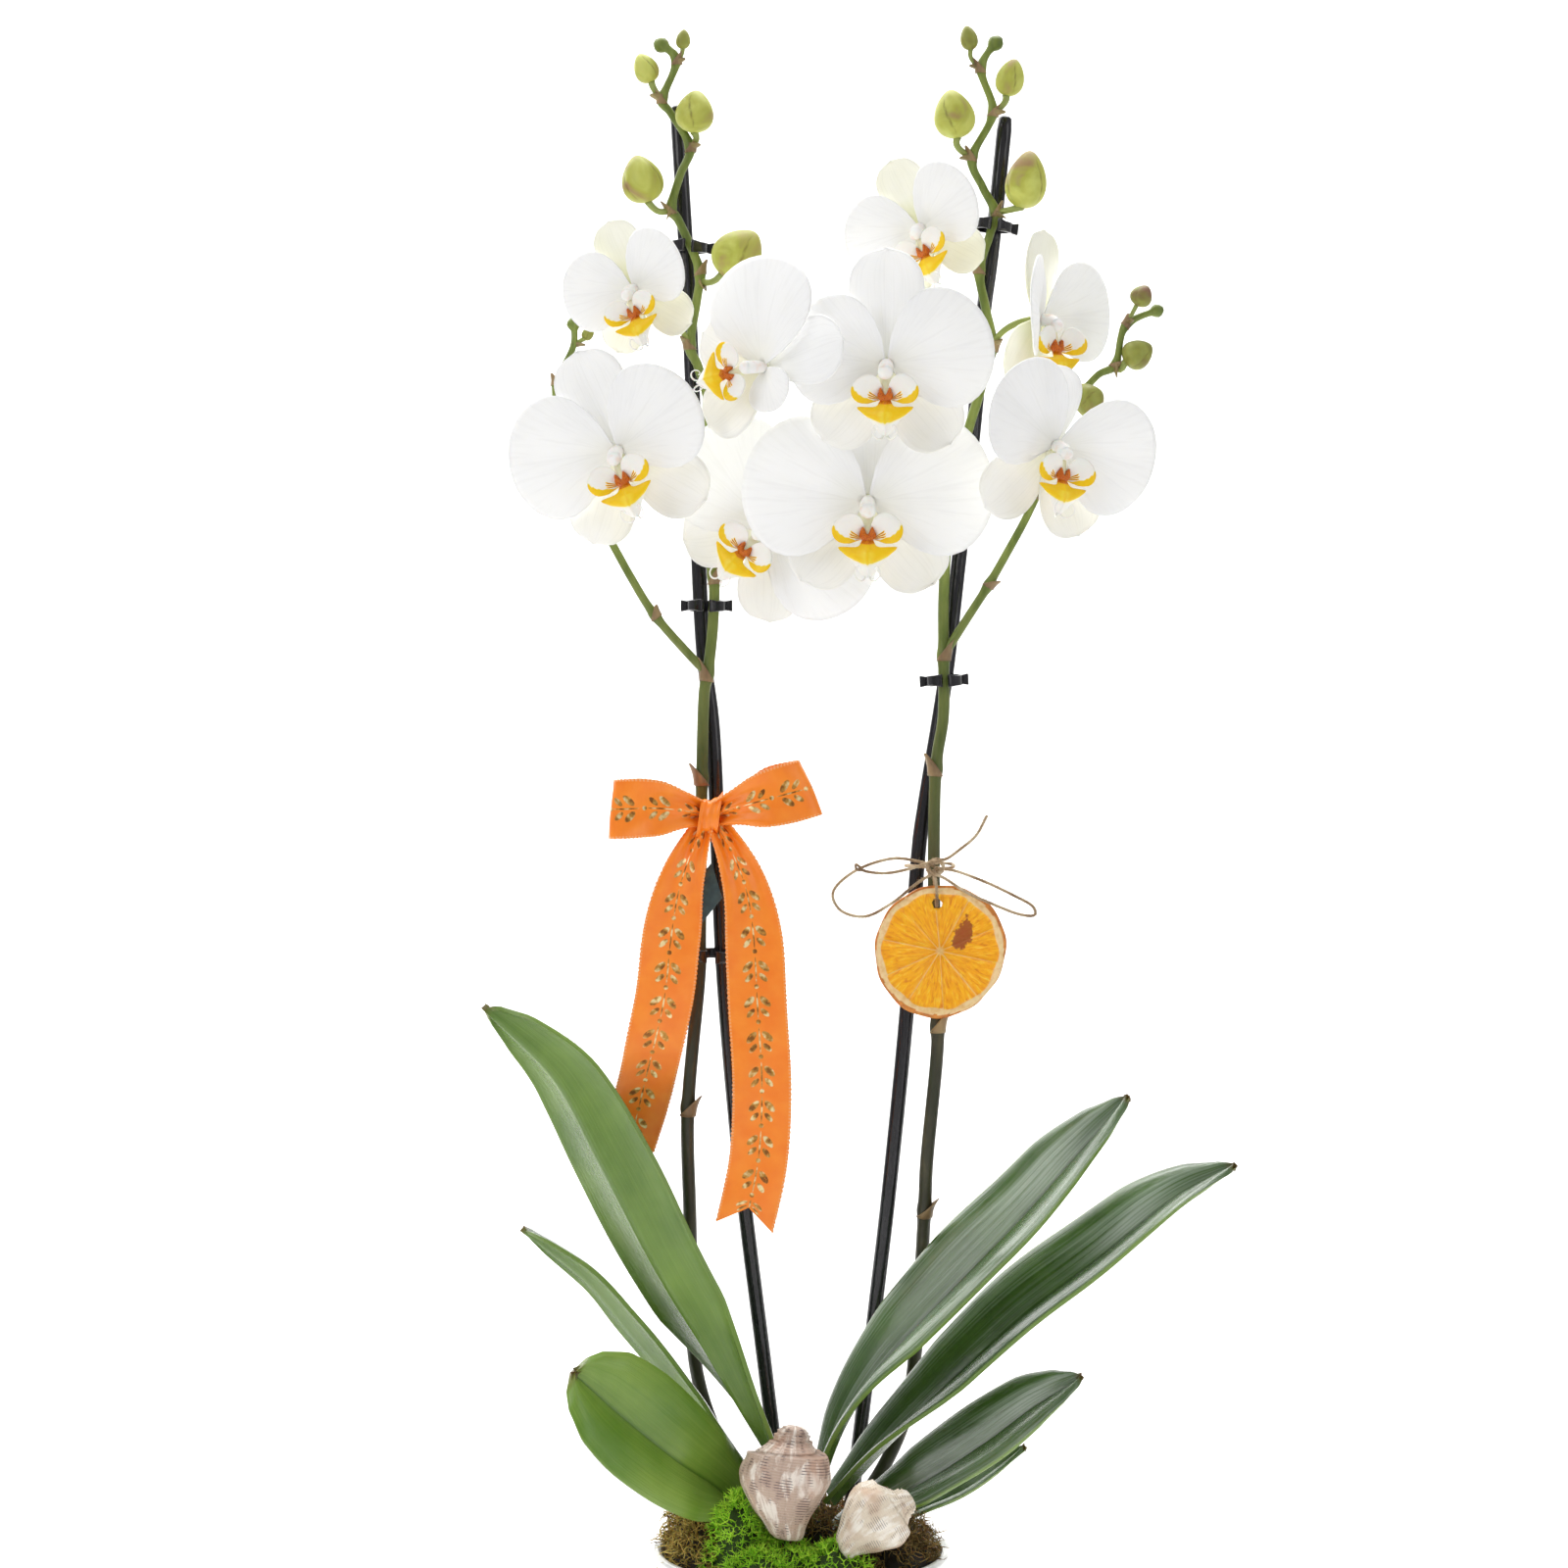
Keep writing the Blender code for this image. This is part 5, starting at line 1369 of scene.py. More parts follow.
stakeFinish = makePlastic("extrudedBlackPolypropylene", "#17161b", 0.34, 900.0, 0.12 * mm)
clipFinish = makePlastic("mouldedBlackPolypropylene", "#141316", 0.42, 700.0, 0.10 * mm)
makeStakes()
for number in clips:
    makeClip(number)
print("stakes and clips in place")


# stems with their joints, scales and stalks


stemShape = {
    # how it tapers, how far it swells at a joint, its last bud, and its dry scales below and
    # above the lowest bloom
    "main": {
        "line": "line", "joints": "joints", "step": 1.6, "radius": 2.4, "sides": 5,
        "taper": (1.30, 0.62, 1.6), "swell": 0.32,
        "swellLow": 0.6, "reach": 3.2, "tip": [0.75, 1.25, 1.45, 1.2, 0.5], "scaleWay": (-0.45, 0.1),
        "scaleLong": (9.5, 6.0),
    },
    "branch": {
        "line": "branch", "joints": "branchJoints", "step": 1.4, "radius": 1.9, "sides": 4,
        "taper": (1.05, 0.72, 1), "swell": 0.35,
        "swellLow": 1.0, "reach": 2.4, "tip": [0.8, 1.35, 1.6, 1.3, 0.5], "scaleWay": (-0.6, 0.0),
        "scaleLong": (5.0, 5.0),
    },
}
bloomHeight = 560
buds = {
    # place, half width, half height, lean, stem, where the stalk starts, bow, ripeness
    1: ((-27.1, -10, 674.1), 10.4, 11.0, 40, "stemLeft", (-43.0, -1.5, 664.0), (0, 0, -2), 1.0),
    2: ((-67.7, -8, 705.7), 8.6, 9.7, -15, "stemLeft", (-55.5, -3, 694.7), (0, 0, -3), 0.9),
    3: ((-45.3, -8, 734.1), 7.9, 8.5, 5, "stemLeft", (-47.5, -4, 720.2), (2, 0, 0), 0.8),
    4: ((-66.1, -6, 752.8), 5.1, 6.2, -25, "stemLeft", (-59.1, -4, 740.4), (-1, 0, 0), 0.6),
    5: ((-50.2, -6, 765.0), 3.0, 4.0, 5, "stemLeft", (-54.0, -4, 755.0), (1, 0, 0), 0.4),
    6: ((-91.5, 8, 642.5), 2.4, 3.2, 35, "branchLeft", (-98.2, 5, 637.2), (0, 0, 0), 0.1),
    7: ((94.9, -8, 705.4), 8.5, 11.6, 8, "stemRight", (82.3, -1.5, 692.7), (0, 0, 0), 0.9),
    8: ((64.4, -8, 733.0), 8.5, 9.8, -10, "stemRight", (72.2, -4, 715.7), (-3, 0, 0), 0.8),
    9: ((88.0, -8, 748.5), 5.9, 7.6, 15, "stemRight", (80.9, -4, 734.7), (2, 0, 0), 0.6),
    10: ((70.6, -6, 765.5), 3.6, 5.0, -12, "stemRight", (76.0, -4, 753.0), (-2, 0, 0), 0.4),
    11: ((120.4, -22, 612.0), 7.6, 6.2, 60, "branchRight", (113.5, -10, 609.2), (-2, -2, 0), 0.2),
    12: ((141.6, -14, 632.0), 6.2, 6.4, 60, "branchRight", (132.5, -12, 627.8), (0, 0, -3), 0.3),
    13: ((143.0, -17.5, 656.0), 4.6, 4.5, 30, "branchRight", (137.0, -12, 644.3), (0, 0, 0), 0.2),
}


def arch(first, last, sag, steps):
    # a straight run between two places, bowed by sag at its middle
    return [
        first.lerp(last, step / steps) + sag * (4.0 * step / steps * (1 - step / steps))
        for step in range(steps + 1)
    ]


def scaleLeaf(place, ahead, out, long, wide):
    # a small dry scale that hugs the joint and points up along the stem
    cross = ahead.cross(out).normalized()

    def scalePoint(across, along):
        side = 2 * across - 1
        angle = side * math.radians(mix(150, 10, along ** 0.7))
        reach = wide * mix(1.06, 1.02, along) + long * 0.28 * along ** 2
        return place + ahead * (long * along - long * 0.3) + (
            out * math.cos(angle) + cross * math.sin(angle)
        ) * reach

    made = gridSheet("scale", 8, 6, scalePoint)
    addModifier(mergeDoubles(made, 1e-6), "SOLIDIFY", thickness=0.35 * mm, offset=0.0)
    return applyAll(made)


def makeStem(name):
    stem = stems[name]
    parts = []
    for bar, shape in stemShape.items():
        path = smoothPath([spot(*place) for place in stem[shape["line"]]], shape["step"] * mm)
        joints = stem[shape["joints"]]
        factors = []
        for index, place in enumerate(path):
            share = index / (len(path) - 1)
            swell = sum(
                shape["swell"] * math.exp(-((place.z / mm - height) / shape["reach"]) ** 2)
                for height, _ in joints
            )
            first, last, power = shape["taper"]
            factors.append(mix(first, last, share ** power) + swell * mix(shape["swellLow"], 1.0, share))
        factors[-5:] = shape["tip"]
        parts.append(tubeBar(bar, path, shape["radius"] * mm, factors, sides=shape["sides"]))
        frames = pathFrames(path)
        for height, side in joints:
            index = min(range(len(path)), key=lambda i: abs(path[i].z - height * mm))
            ahead = frames[index][0]
            out = Vector((side, *shape["scaleWay"]))
            out = (out - ahead * out.dot(ahead)).normalized()
            low, high = shape["scaleLong"]
            long = low if height < bloomHeight else high
            parts.append(scaleLeaf(path[index], ahead, out, long * mm, shape["radius"] * mm * factors[index]))
    for part in parts:
        # old stem is dark from the bow down, the new growth green; scales are dry
        paintValue(part, "age", lambda co: max(0.0, min(1.0, (bloomHeight - co.z / mm) / 190)))
        paintValue(part, "dry", lambda co: 1.0 if part.name.startswith("scale") else 0.0)

    stalks = []
    for number, bloom in flowers.items():
        if bloom["stem"] == name:
            place = flowerPlace(number)
            stalks.append((
                spot(*bloom["root"]), place(0, 0.5, -5.0), Vector(bloom["bow"]) * mm,
                1.5 * bloom["size"] / 0.9, True
            ))
    for middle, wide, tall, lean, holder, root, bow, _ in buds.values():
        if holder in (name, name.replace("stem", "branch")):
            turn = Matrix.Rotation(math.radians(lean), 3, "Y")
            end = spot(*middle) - turn @ Vector((0, 0, tall - 0.6)) * mm
            stalks.append((spot(*root), end, Vector(bow) * mm, 1.35 if wide > 5 else 0.9, False))
    for root, end, bow, radius, flower in stalks:
        path = smoothPath(arch(root, end, bow, 6), 1.2 * mm)
        factors = []
        for index in range(len(path)):
            share = index / (len(path) - 1)
            foot = 0.35 * math.exp(-(share / 0.12) ** 2)
            factors.append(1.0 + foot + (0.35 * share ** 3 if flower else 0.18 * share ** 2))
        stalk = tubeBar("stalk", path, radius * mm, factors, sides=4)
        paintValue(stalk, "age", lambda co: 0.0)
        paintValue(stalk, "dry", lambda co: -0.35)
        ahead = (path[min(3, len(path) - 1)] - path[0]).normalized()
        out = Vector((0.0, -0.5, -1.0))
        out = (out - ahead * out.dot(ahead)).normalized()
        scale = scaleLeaf(root + ahead * 1.5 * mm, ahead, out, 5.2 * mm, radius * 1.45 * mm)
        paintValue(scale, "age", lambda co: 0.0)
        paintValue(scale, "dry", lambda co: 0.8)
        parts += [stalk, scale]
    whole = joinParts(name, parts)
    whole.data.materials.append(stemSkin)
    finishPiece(faceOut(whole), stem["node"])


def makeStemSkin():
    # living stem: green and satin above, purplish brown and freckled on the old wood below
    made, tree, shader = newMaterial(
        "orchidStem", "#6d8238", 0.42, IOR=1.45, Subsurface_Weight=0.05, Subsurface_Scale=1.0 * mm
    )
    own = addNode(tree, "TexCoord")
    age = addNode(tree, "Attribute", attribute_name="age")
    dry = addNode(tree, "Attribute", attribute_name="dry")
    long = addNode(tree, "Mapping", {"Scale": (1.0, 1.0, 0.25)}, {"Vector": (own, "Object")})
    cloud = addNode(tree, "TexNoise", {"Scale": 160.0, "Detail": 4.0}, {"Vector": (long, "Vector")})
    fresh = addNode(tree, "ValToRGB", None, {"Fac": (cloud, "Fac")}, [(0.35, "#5c6c26"), (0.7, "#8c9a48")])
    old = addNode(
        tree, "ValToRGB", None, {"Fac": (cloud, "Fac")},
        [(0.35, "#211f19"), (0.6, "#3b3a26"), (0.8, "#565038")]
    )
    wander = addNode(tree, "Math", {1: 0.7, 2: -0.35}, {0: (cloud, "Fac")}, operation="MULTIPLY_ADD")
    when = addNode(tree, "Math", None, {0: (age, "Fac"), 1: (wander, 0)}, operation="ADD", use_clamp=True)
    body = addNode(
        tree, "MixRGB", None, {"Fac": (when, 0), "Color1": (fresh, "Color"), "Color2": (old, "Color")}
    )
    papery = addNode(tree, "ValToRGB", None, {"Fac": (cloud, "Fac")}, [(0.3, "#6b5238"), (0.7, "#a58c63")])
    isDry = addNode(tree, "Math", {1: 0.0}, {0: (dry, "Fac")}, operation="MAXIMUM")
    scaled = addNode(
        tree, "MixRGB", None, {"Fac": (isDry, 0), "Color1": (body, "Color"), "Color2": (papery, "Color")}
    )
    # stalks are a paler green
    less = addNode(tree, "Math", {1: -1.6}, {0: (dry, "Fac")}, operation="MULTIPLY", use_clamp=True)
    paled = addNode(tree, "MixRGB", {"Color2": "#a3ad62"}, {"Fac": (less, 0), "Color1": (scaled, "Color")})
    tree.links.new(paled.outputs["Color"], shader.inputs["Base Color"])
    grain = addNode(tree, "TexNoise", {"Scale": 900.0, "Detail": 3.0}, {"Vector": (long, "Vector")})
    addBump(tree, shader, grain, "Fac", 0.18 * mm, 0.7)
    return made


def makeBud(number):
    place, wide, tall, lean, _, _, _, ripe = buds[number]
    clearPick()
    bpy.ops.mesh.primitive_uv_sphere_add(segments=40, ring_count=24, radius=1.0, location=(0, 0, 0))
    made = bpy.context.active_object
    seams = []
    for vertex in made.data.vertices:
        x, y, z = vertex.co
        angle = math.atan2(y, x) + 0.35 * z + number * 1.3
        # three closed sepals: each swells between its seams, and a blunt beak where they meet
        seam = abs(math.sin(1.5 * angle))
        groove = math.exp(-(seam / 0.16) ** 2) * (1 - 0.6 * abs(z) ** 3)
        seams.append(groove)
        reach = (1.0 - 0.17 * z) * (1.0 - 0.055 * groove) + 0.03 * seam
        beak = 0.10 * max(0.0, z) ** 6
        vertex.co = Vector((x * reach * wide, y * reach * wide * 0.94, (z + beak) * tall)) * mm
    storeValues(made, "seam", seams)
    made.data.transform(Matrix.Translation(spot(*place)) @ Matrix.Rotation(math.radians(lean), 4, "Y"))
    made.name = f"budClosed{number}"
    made.data.materials.append(budSkin[0 if ripe > 0.5 else 1])
    finishPiece(faceOut(made), f"bud_{number}")


def makeBudSkin(name, base, pale, blush):
    # closed bud: waxy yellow green, darker along the seams, and blushed brown in clouds
    made, tree, shader = newMaterial(
        name, base, 0.45, IOR=1.42, Subsurface_Weight=0.12, Subsurface_Scale=2.0 * mm
    )
    own = addNode(tree, "TexCoord")
    cloud = addNode(
        tree, "TexNoise", {"Scale": 75.0, "Detail": 3.0, "Distortion": 0.6}, {"Vector": (own, "Object")}
    )
    color = addNode(
        tree, "ValToRGB", None, {"Fac": (cloud, "Fac")}, [(0.35, pale), (0.55, base), (0.72, blush)]
    )
    seam = addNode(tree, "Attribute", attribute_name="seam")
    dark = addNode(
        tree, "MapRange", {"From Min": 0.45, "From Max": 1.0, "To Max": 0.8}, {"Value": (seam, "Fac")}
    )
    lined = addNode(
        tree, "MixRGB", {"Color2": "#74662f"}, {"Fac": (dark, "Result"), "Color1": (color, "Color")}
    )
    tree.links.new(lined.outputs["Color"], shader.inputs["Base Color"])
    long = addNode(tree, "Mapping", {"Scale": (1.0, 1.0, 0.2)}, {"Vector": (own, "Object")})
    vein = addNode(tree, "TexNoise", {"Scale": 500.0, "Detail": 3.0}, {"Vector": (long, "Vector")})
    addBump(tree, shader, vein, "Fac", 0.2 * mm, 0.6)
    return made


stemSkin = makeStemSkin()
budSkin = [
    makeBudSkin("ripeBud", "#aeb04a", "#c6ca66", "#a08358"),
    makeBudSkin("youngBud", "#878a3c", "#9ea24c", "#7d5c44")
]
for name in stems:
    makeStem(name)
for number in buds:
    makeBud(number)
print("stems and buds grown")


# satin ribbon: two tails, two loops and a knot, all of one strap 25 mm wide


ribbon = {
    "width": 25.0,
    "thickness": 0.45,
    "tailLeft": [
        ((-41.5, -15.0, 434), (1, 0, 0.1), 0.36), ((-47.5, -16.0, 420), (0.98, 0.1, 0.2), 0.72),
        ((-52.5, -15.5, 404), (0.97, 0.1, 0.22), 0.97), ((-55.8, -14.5, 383), (0.98, 0.05, 0.2), 1.0),
        ((-58.5, -11.5, 360), (0.97, 0.0, 0.24), 1.0), ((-64.0, -6, 335), (0.95, 0.0, 0.3), 1.0),
        ((-70.0, 6.5, 311), (0.93, 0.0, 0.36), 1.0), ((-76.0, 15.0, 290), (0.91, 0.0, 0.40), 1.0),
    ],
    "tailRight": [
        ((-36.5, -15.0, 434), (1, 0, -0.1), 0.36), ((-29.0, -17, 420), (0.98, 0.1, -0.25), 0.72),
        ((-23.3, -18, 404), (0.98, 0.1, -0.2), 0.97), ((-20.3, -18, 384), (1, 0.05, -0.1), 1.0),
        ((-18.8, -17, 355), (1, 0, -0.02), 1.0), ((-17.0, -15.8, 322), (1, 0, 0.05), 1.0),
        ((-18.5, -14.2, 290), (1, 0, 0.12), 1.0), ((-24.6, -13, 260.5), (0.97, 0, 0.25), 1.0),
    ],
    "loopLeft": [
        ((-41.0, -14.5, 437), 0.40), ((-51.0, -20.5, 439.5), 0.62), ((-64.0, -24.0, 440.5), 0.92),
        ((-76.0, -21.5, 440.0), 1.0), ((-80.2, -17.0, 439.6), 1.0), ((-76.5, -12.5, 439.5), 1.0),
        ((-64.0, -11.2, 440.5), 0.94), ((-53.0, -12.0, 439.5), 0.6), ((-44.0, -12.5, 437), 0.34),
    ],
    "loopRight": [
        ((-37.0, -14.5, 437), 0.40), ((-28.0, -20.5, 440.5), 0.60), ((-14.0, -25.0, 444.5), 0.90),
        ((-0.5, -22.5, 448), 1.0), ((3.6, -17.5, 449), 1.0), ((-0.5, -12.8, 448), 1.0),
        ((-13.0, -11.2, 445.5), 0.94), ((-25.0, -12.0, 441), 0.6), ((-34.0, -12.5, 437), 0.34),
    ],
    "knot": (-39.2, -15.4, 437.0),
}


def strapSheet(name, rows, along, gather, ripple, tailCut):
    # rows: place, width direction, share of the full width; the knot end is gathered into pleats
    places = smoothPath([spot(*row[0]) for row in rows], 1.0 * mm)
    total = len(rows) - 1
    table = list(enumerate(rows))

    def strapPoint(across, at):
        low = min(len(places) - 2, int(at * (len(places) - 1)))
        here = places[low].lerp(places[low + 1], at * (len(places) - 1) - low)
        ahead = (places[low + 1] - places[low]).normalized()
        way = Vector([
            readTable([(index, row[1][axis]) for index, row in table], at * total) for axis in range(3)
        ])
        share = readTable([(index, row[2]) for index, row in table], at * total)
        way = (way - ahead * way.dot(ahead)).normalized()
        out = way.cross(ahead)
        if out.y > 0:
            out.negate()
        side = 2 * across - 1
        half = ribbon["width"] * mm / 2
        pleat = (1 - share) * gather * math.sin(side * math.pi * 2.2 + 0.6)
        curl = 0.7 * side * side * share
        wave = ripple * math.sin(at * 9.0 + side * 1.4) * side + 0.8 * math.sin(at * 15.0 + side * 2.2) * share
        picot = 0.22 * mm * math.cos(at * len(places) * math.pi) * (abs(side) > 0.98)
        lift = (pleat + curl + wave) * mm
        if tailCut and at > tailCut[0]:
            # swallow tail: the middle of the end is pulled back into a notch
            past = (at - tailCut[0]) / (1 - tailCut[0])
            here = here - ahead * tailCut[1] * mm * past * (1 - abs(side))
        return here + way * (side * half * share + (picot if side > 0 else -picot)) + out * lift

    across = 30
    made = gridSheet(name, across, along, strapPoint)
    long = pathLength(places)
    storeValues(made, "far", [b * long / mm / 100 for _, b in gridSpots(across, along)])
    return made, long


def loopRows(table, lean):
    way = Vector((lean, 0, 1)).normalized()
    return [(place, tuple(way), share) for place, share in table]


def makeRibbon():
    parts, long = [], 0.0
    runs = [
        ("tailLeft", ribbon["tailLeft"], 150, 2.2, 0.5, None),
        ("tailRight", ribbon["tailRight"], 170, 2.2, 0.6, (0.93, 9.0)),
        ("loopLeft", loopRows(ribbon["loopLeft"], 0.1), 90, 2.4, 0.25, None),
        ("loopRight", loopRows(ribbon["loopRight"], -0.45), 90, 2.4, 0.25, None),
    ]
    for name, rows, along, gather, ripple, cut in runs:
        part, more = strapSheet(name, rows, along, gather, ripple, cut)
        parts.append(part)
        long += more
    # the turn that ties it: a narrow folded band over the middle, and one round stem and stake
    x, y, z = ribbon["knot"]

    def knotPoint(across, along):
        angle = 2 * math.pi * along
        side = 2 * across - 1
        waist = 1.0 + 0.28 * side * side
        crease = 0.35 * math.sin(side * 8 + 2.0 * math.cos(angle))
        return spot(
            x + side * 4.6 + 1.2 * math.sin(angle) + crease * 0.3,
            y - (4.3 * waist + crease) * math.cos(angle) + 0.4,
            z + (6.6 * waist + crease) * math.sin(angle) + side * 1.4,
        )

    knot = gridSheet("knot", 18, 40, knotPoint)
    mergeDoubles(knot, 1e-6)

    def wrapPoint(across, along):
        angle = math.radians(-90 + 10 + (360 - 20) * along)
        side = 2 * across - 1
        return spot(
            -39.8 + 10.4 * math.cos(angle), 2.0 + 12.6 * math.sin(angle),
            437.0 + side * 5.0 + 0.4 * math.sin(side * 9 + angle)
        )

    parts += [knot, gridSheet("wrap", 12, 48, wrapPoint)]
    long += 2 * math.pi * 5.5 * mm + 2 * math.pi * 11.5 * mm
    for part in parts:
        part.data.materials.append(satin)
        addModifier(part, "SOLIDIFY", thickness=ribbon["thickness"] * mm, offset=0.0)
        applyAll(part)
    whole = faceOut(joinParts("satinBow", parts))
    finishPiece(whole, "ribbon")


def makeSatin():
    # woven satin ribbon: smooth floats that shine along the strap, corded edges, and stamped gold sprigs
    made, tree, shader = newMaterial(
        "orangeSatin", "#fb8417", 0.30, Sheen_Weight=0.12, Sheen_Roughness=0.35, Anisotropic=0.5,
        Coat_Weight=0.05
    )
    shader.inputs["Sheen Tint"].default_value = hexColor("#ffa24a")
    own = addNode(tree, "TexCoord")
    far = addNode(tree, "Attribute", attribute_name="far")
    apart = addNode(tree, "SeparateXYZ", None, {"Vector": (own, "UV")})
    wide = addNode(tree, "Math", {1: 0.25}, {0: (apart, "X")}, operation="MULTIPLY")
    flat = addNode(tree, "CombineXYZ", None, {"X": (wide, 0), "Y": (far, "Fac")})  # in units of 100 mm
    weave = addNode(
        tree, "TexWave", {"Scale": 60.0, "Distortion": 0.4, "Detail": 1.0}, {"Vector": (flat, "Vector")},
        bands_direction="Y"
    )
    cloud = addNode(tree, "TexNoise", {"Scale": 9.0, "Detail": 3.0}, {"Vector": (flat, "Vector")})
    tone = addNode(tree, "ValToRGB", None, {"Fac": (cloud, "Fac")}, [(0.35, "#fa8014"), (0.65, "#ff8f22")])
    # corded edges, lighter
    off = addNode(tree, "Math", {1: 0.5}, {0: (apart, "X")}, operation="SUBTRACT")
    away = addNode(tree, "Math", None, {0: (off, 0)}, operation="ABSOLUTE")
    edge = addNode(tree, "MapRange", {"From Min": 0.455, "From Max": 0.47}, {"Value": (away, 0)})
    stitches = addNode(
        tree, "TexWave", {"Scale": 22.0, "Distortion": 0.0}, {"Vector": (flat, "Vector")}, bands_direction="Y"
    )
    stitched = addNode(tree, "Math", None, {0: (stitches, "Fac"), 1: (edge, "Result")}, operation="MULTIPLY")
    corded = addNode(tree, "MixRGB", {"Color2": "#ffb070"}, {"Fac": (stitched, 0), "Color1": (tone, "Color")})
    # gold sprigs: a stalk with paired leaflets and a berry, on a 15 mm repeat down the middle of the strap
    repeat = addNode(tree, "Math", {1: 0.15}, {0: (far, "Fac")}, operation="MODULO")
    spread = addNode(tree, "Math", {1: 0.25}, {0: (away, 0)}, operation="MULTIPLY")
    half = addNode(tree, "CombineXYZ", None, {"X": (spread, 0), "Y": (repeat, 0)})

    def stamped(middle, turn, size):
        moved = addNode(
            tree, "Mapping", {"Location": middle, "Rotation": (0.0, 0.0, turn), "Scale": size},
            {"Vector": (half, "Vector")}, vector_type="TEXTURE"
        )
        reach = addNode(tree, "VectorMath", None, {0: (moved, "Vector")}, operation="LENGTH")
        return addNode(
            tree, "MapRange", {"From Min": 0.9, "From Max": 1.05, "To Min": 1.0, "To Max": 0.0},
            {"Value": (reach, "Value")}
        )

    shapes = [
        stamped((0.034, 0.045, 0.0), -0.75, (0.014, 0.030, 1.0)),
        stamped((0.030, 0.092, 0.0), -0.75, (0.011, 0.024, 1.0)),
        stamped((0.0, 0.060, 0.0), 0.0, (0.0035, 0.058, 1.0)),
        stamped((0.0, 0.130, 0.0), 0.0, (0.010, 0.010, 1.0)),
    ]
    both = shapes[0]
    for shape in shapes[1:]:
        both = addNode(tree, "Math", None, {0: (both, 0), 1: (shape, 0)}, operation="MAXIMUM")
    inside = addNode(
        tree, "MapRange", {"From Min": 0.30, "From Max": 0.34, "To Min": 1.0, "To Max": 0.0},
        {"Value": (away, 0)}
    )
    rub = addNode(tree, "TexNoise", {"Scale": 90.0, "Detail": 3.0}, {"Vector": (flat, "Vector")})
    rubbed = addNode(tree, "ValToRGB", None, {"Fac": (rub, "Fac")}, [(0.28, "#606060"), (0.40, "#ffffff")])
    kept = addNode(tree, "Math", None, {0: (both, 0), 1: (rubbed, "Color")}, operation="MULTIPLY")
    foil = addNode(tree, "Math", None, {0: (kept, 0), 1: (inside, "Result")}, operation="MULTIPLY")
    mottle = addNode(tree, "TexNoise", {"Scale": 26.0, "Detail": 2.0}, {"Vector": (flat, "Vector")})
    gold = addNode(
        tree, "ValToRGB", None, {"Fac": (mottle, "Fac")},
        [(0.38, "#8a5722"), (0.5, "#c99445"), (0.62, "#f6dfa6")]
    )
    gilt = addNode(
        tree, "MixRGB", None, {"Fac": (foil, 0), "Color1": (corded, "Color"), "Color2": (gold, "Color")}
    )
    tree.links.new(gilt.outputs["Color"], shader.inputs["Base Color"])
    shine = addNode(tree, "Math", {1: 0.6}, {0: (foil, 0)}, operation="MULTIPLY")
    tree.links.new(shine.outputs[0], shader.inputs["Metallic"])
    height = addNode(tree, "Math", {1: 0.4}, {0: (weave, "Fac"), 2: (stitched, 0)}, operation="MULTIPLY_ADD")
    addBump(tree, shader, height, 0, 0.10 * mm, 0.8)
    return made


satin = makeSatin()
makeRibbon()
print("bow tied")


# care card: coated teal card, plain


card = {
    "corners": [(-38.5, -9.5, 416.5), (-33.9, -9.5, 401.5), (-48.6, -9.5, 404.0), (-44.0, -9.5, 389.0)],
    "thickness": 0.45
}


def makeCard():
    a, b, c, d = [spot(*corner) for corner in card["corners"]]
    made = gridSheet(
        "careCard", 8, 8,
        lambda u, v: a.lerp(b, u).lerp(c.lerp(d, u), v) + Vector((0, -0.5 * mm * math.sin(math.pi * u), 0))
    )
    addModifier(made, "SOLIDIFY", thickness=card["thickness"] * mm, offset=0.0)
    addModifier(made, "BEVEL", width=0.1 * mm, segments=1, limit_method="ANGLE", angle_limit=math.radians(50))
    applyAll(made)
    finish, tree, shader = newMaterial("coatedTealCard", "#2c4a52", 0.3, Coat_Weight=0.4, Coat_Roughness=0.15)
    own = addNode(tree, "TexCoord")
    grain = addNode(tree, "TexNoise", {"Scale": 300.0, "Detail": 2.0}, {"Vector": (own, "Object")})
    tone = addNode(tree, "ValToRGB", None, {"Fac": (grain, "Fac")}, [(0.3, "#27434b"), (0.7, "#34565e")])
    tree.links.new(tone.outputs["Color"], shader.inputs["Base Color"])
    addBump(tree, shader, grain, "Fac", 0.05 * mm, 0.5)
    made.data.materials.append(finish)
    finishPiece(faceOut(made), "care_card", angle=40)


makeCard()


# dried orange slice: rind, pith, segments of pulp between membranes


orange = {
    "middle": (58.7, -14.0, 379.3),
    "radius": 28.5,
    "half": 1.9,
    "segments": 10,
    "hole": (57.3, 399.4, 2.0),
    "rings": 44,
    "steps": 220,
    "patch": (68.5, 386.0),  # where it scorched
}


def sliceTone(x, z):
    # 0 rind, about 0.3 pith and membranes, 0.6 to 1 pulp, and how high the pulp stands
    dx, dz = x - orange["middle"][0], z - orange["middle"][2]
    r, angle = math.hypot(dx, dz), math.atan2(dz, dx)
    wobble = 0.10 * noise.noise(Vector((math.cos(angle) * 1.6, math.sin(angle) * 1.6, 3.0)))
    step = (angle + 0.22 + wobble) / (2 * math.pi) * orange["segments"]
    inCell = abs(step - math.floor(step) - 0.5) * 2
    fromWall = (1 - inCell) * math.pi / orange["segments"] * r
    fromRind = orange["radius"] - 3.6 - r + 0.5 * math.sin(step * 2 * math.pi)
    gap = 1 - min(1.0, max(0.0, min(fromWall - 0.05, fromRind, r - 1.6) / 0.7))
    if r > orange["radius"] - 1.4:
        return 0.0, 0.0
    return mix(0.3 if fromRind < 0.4 else 0.46, 0.85, 1 - gap), (1 - gap)


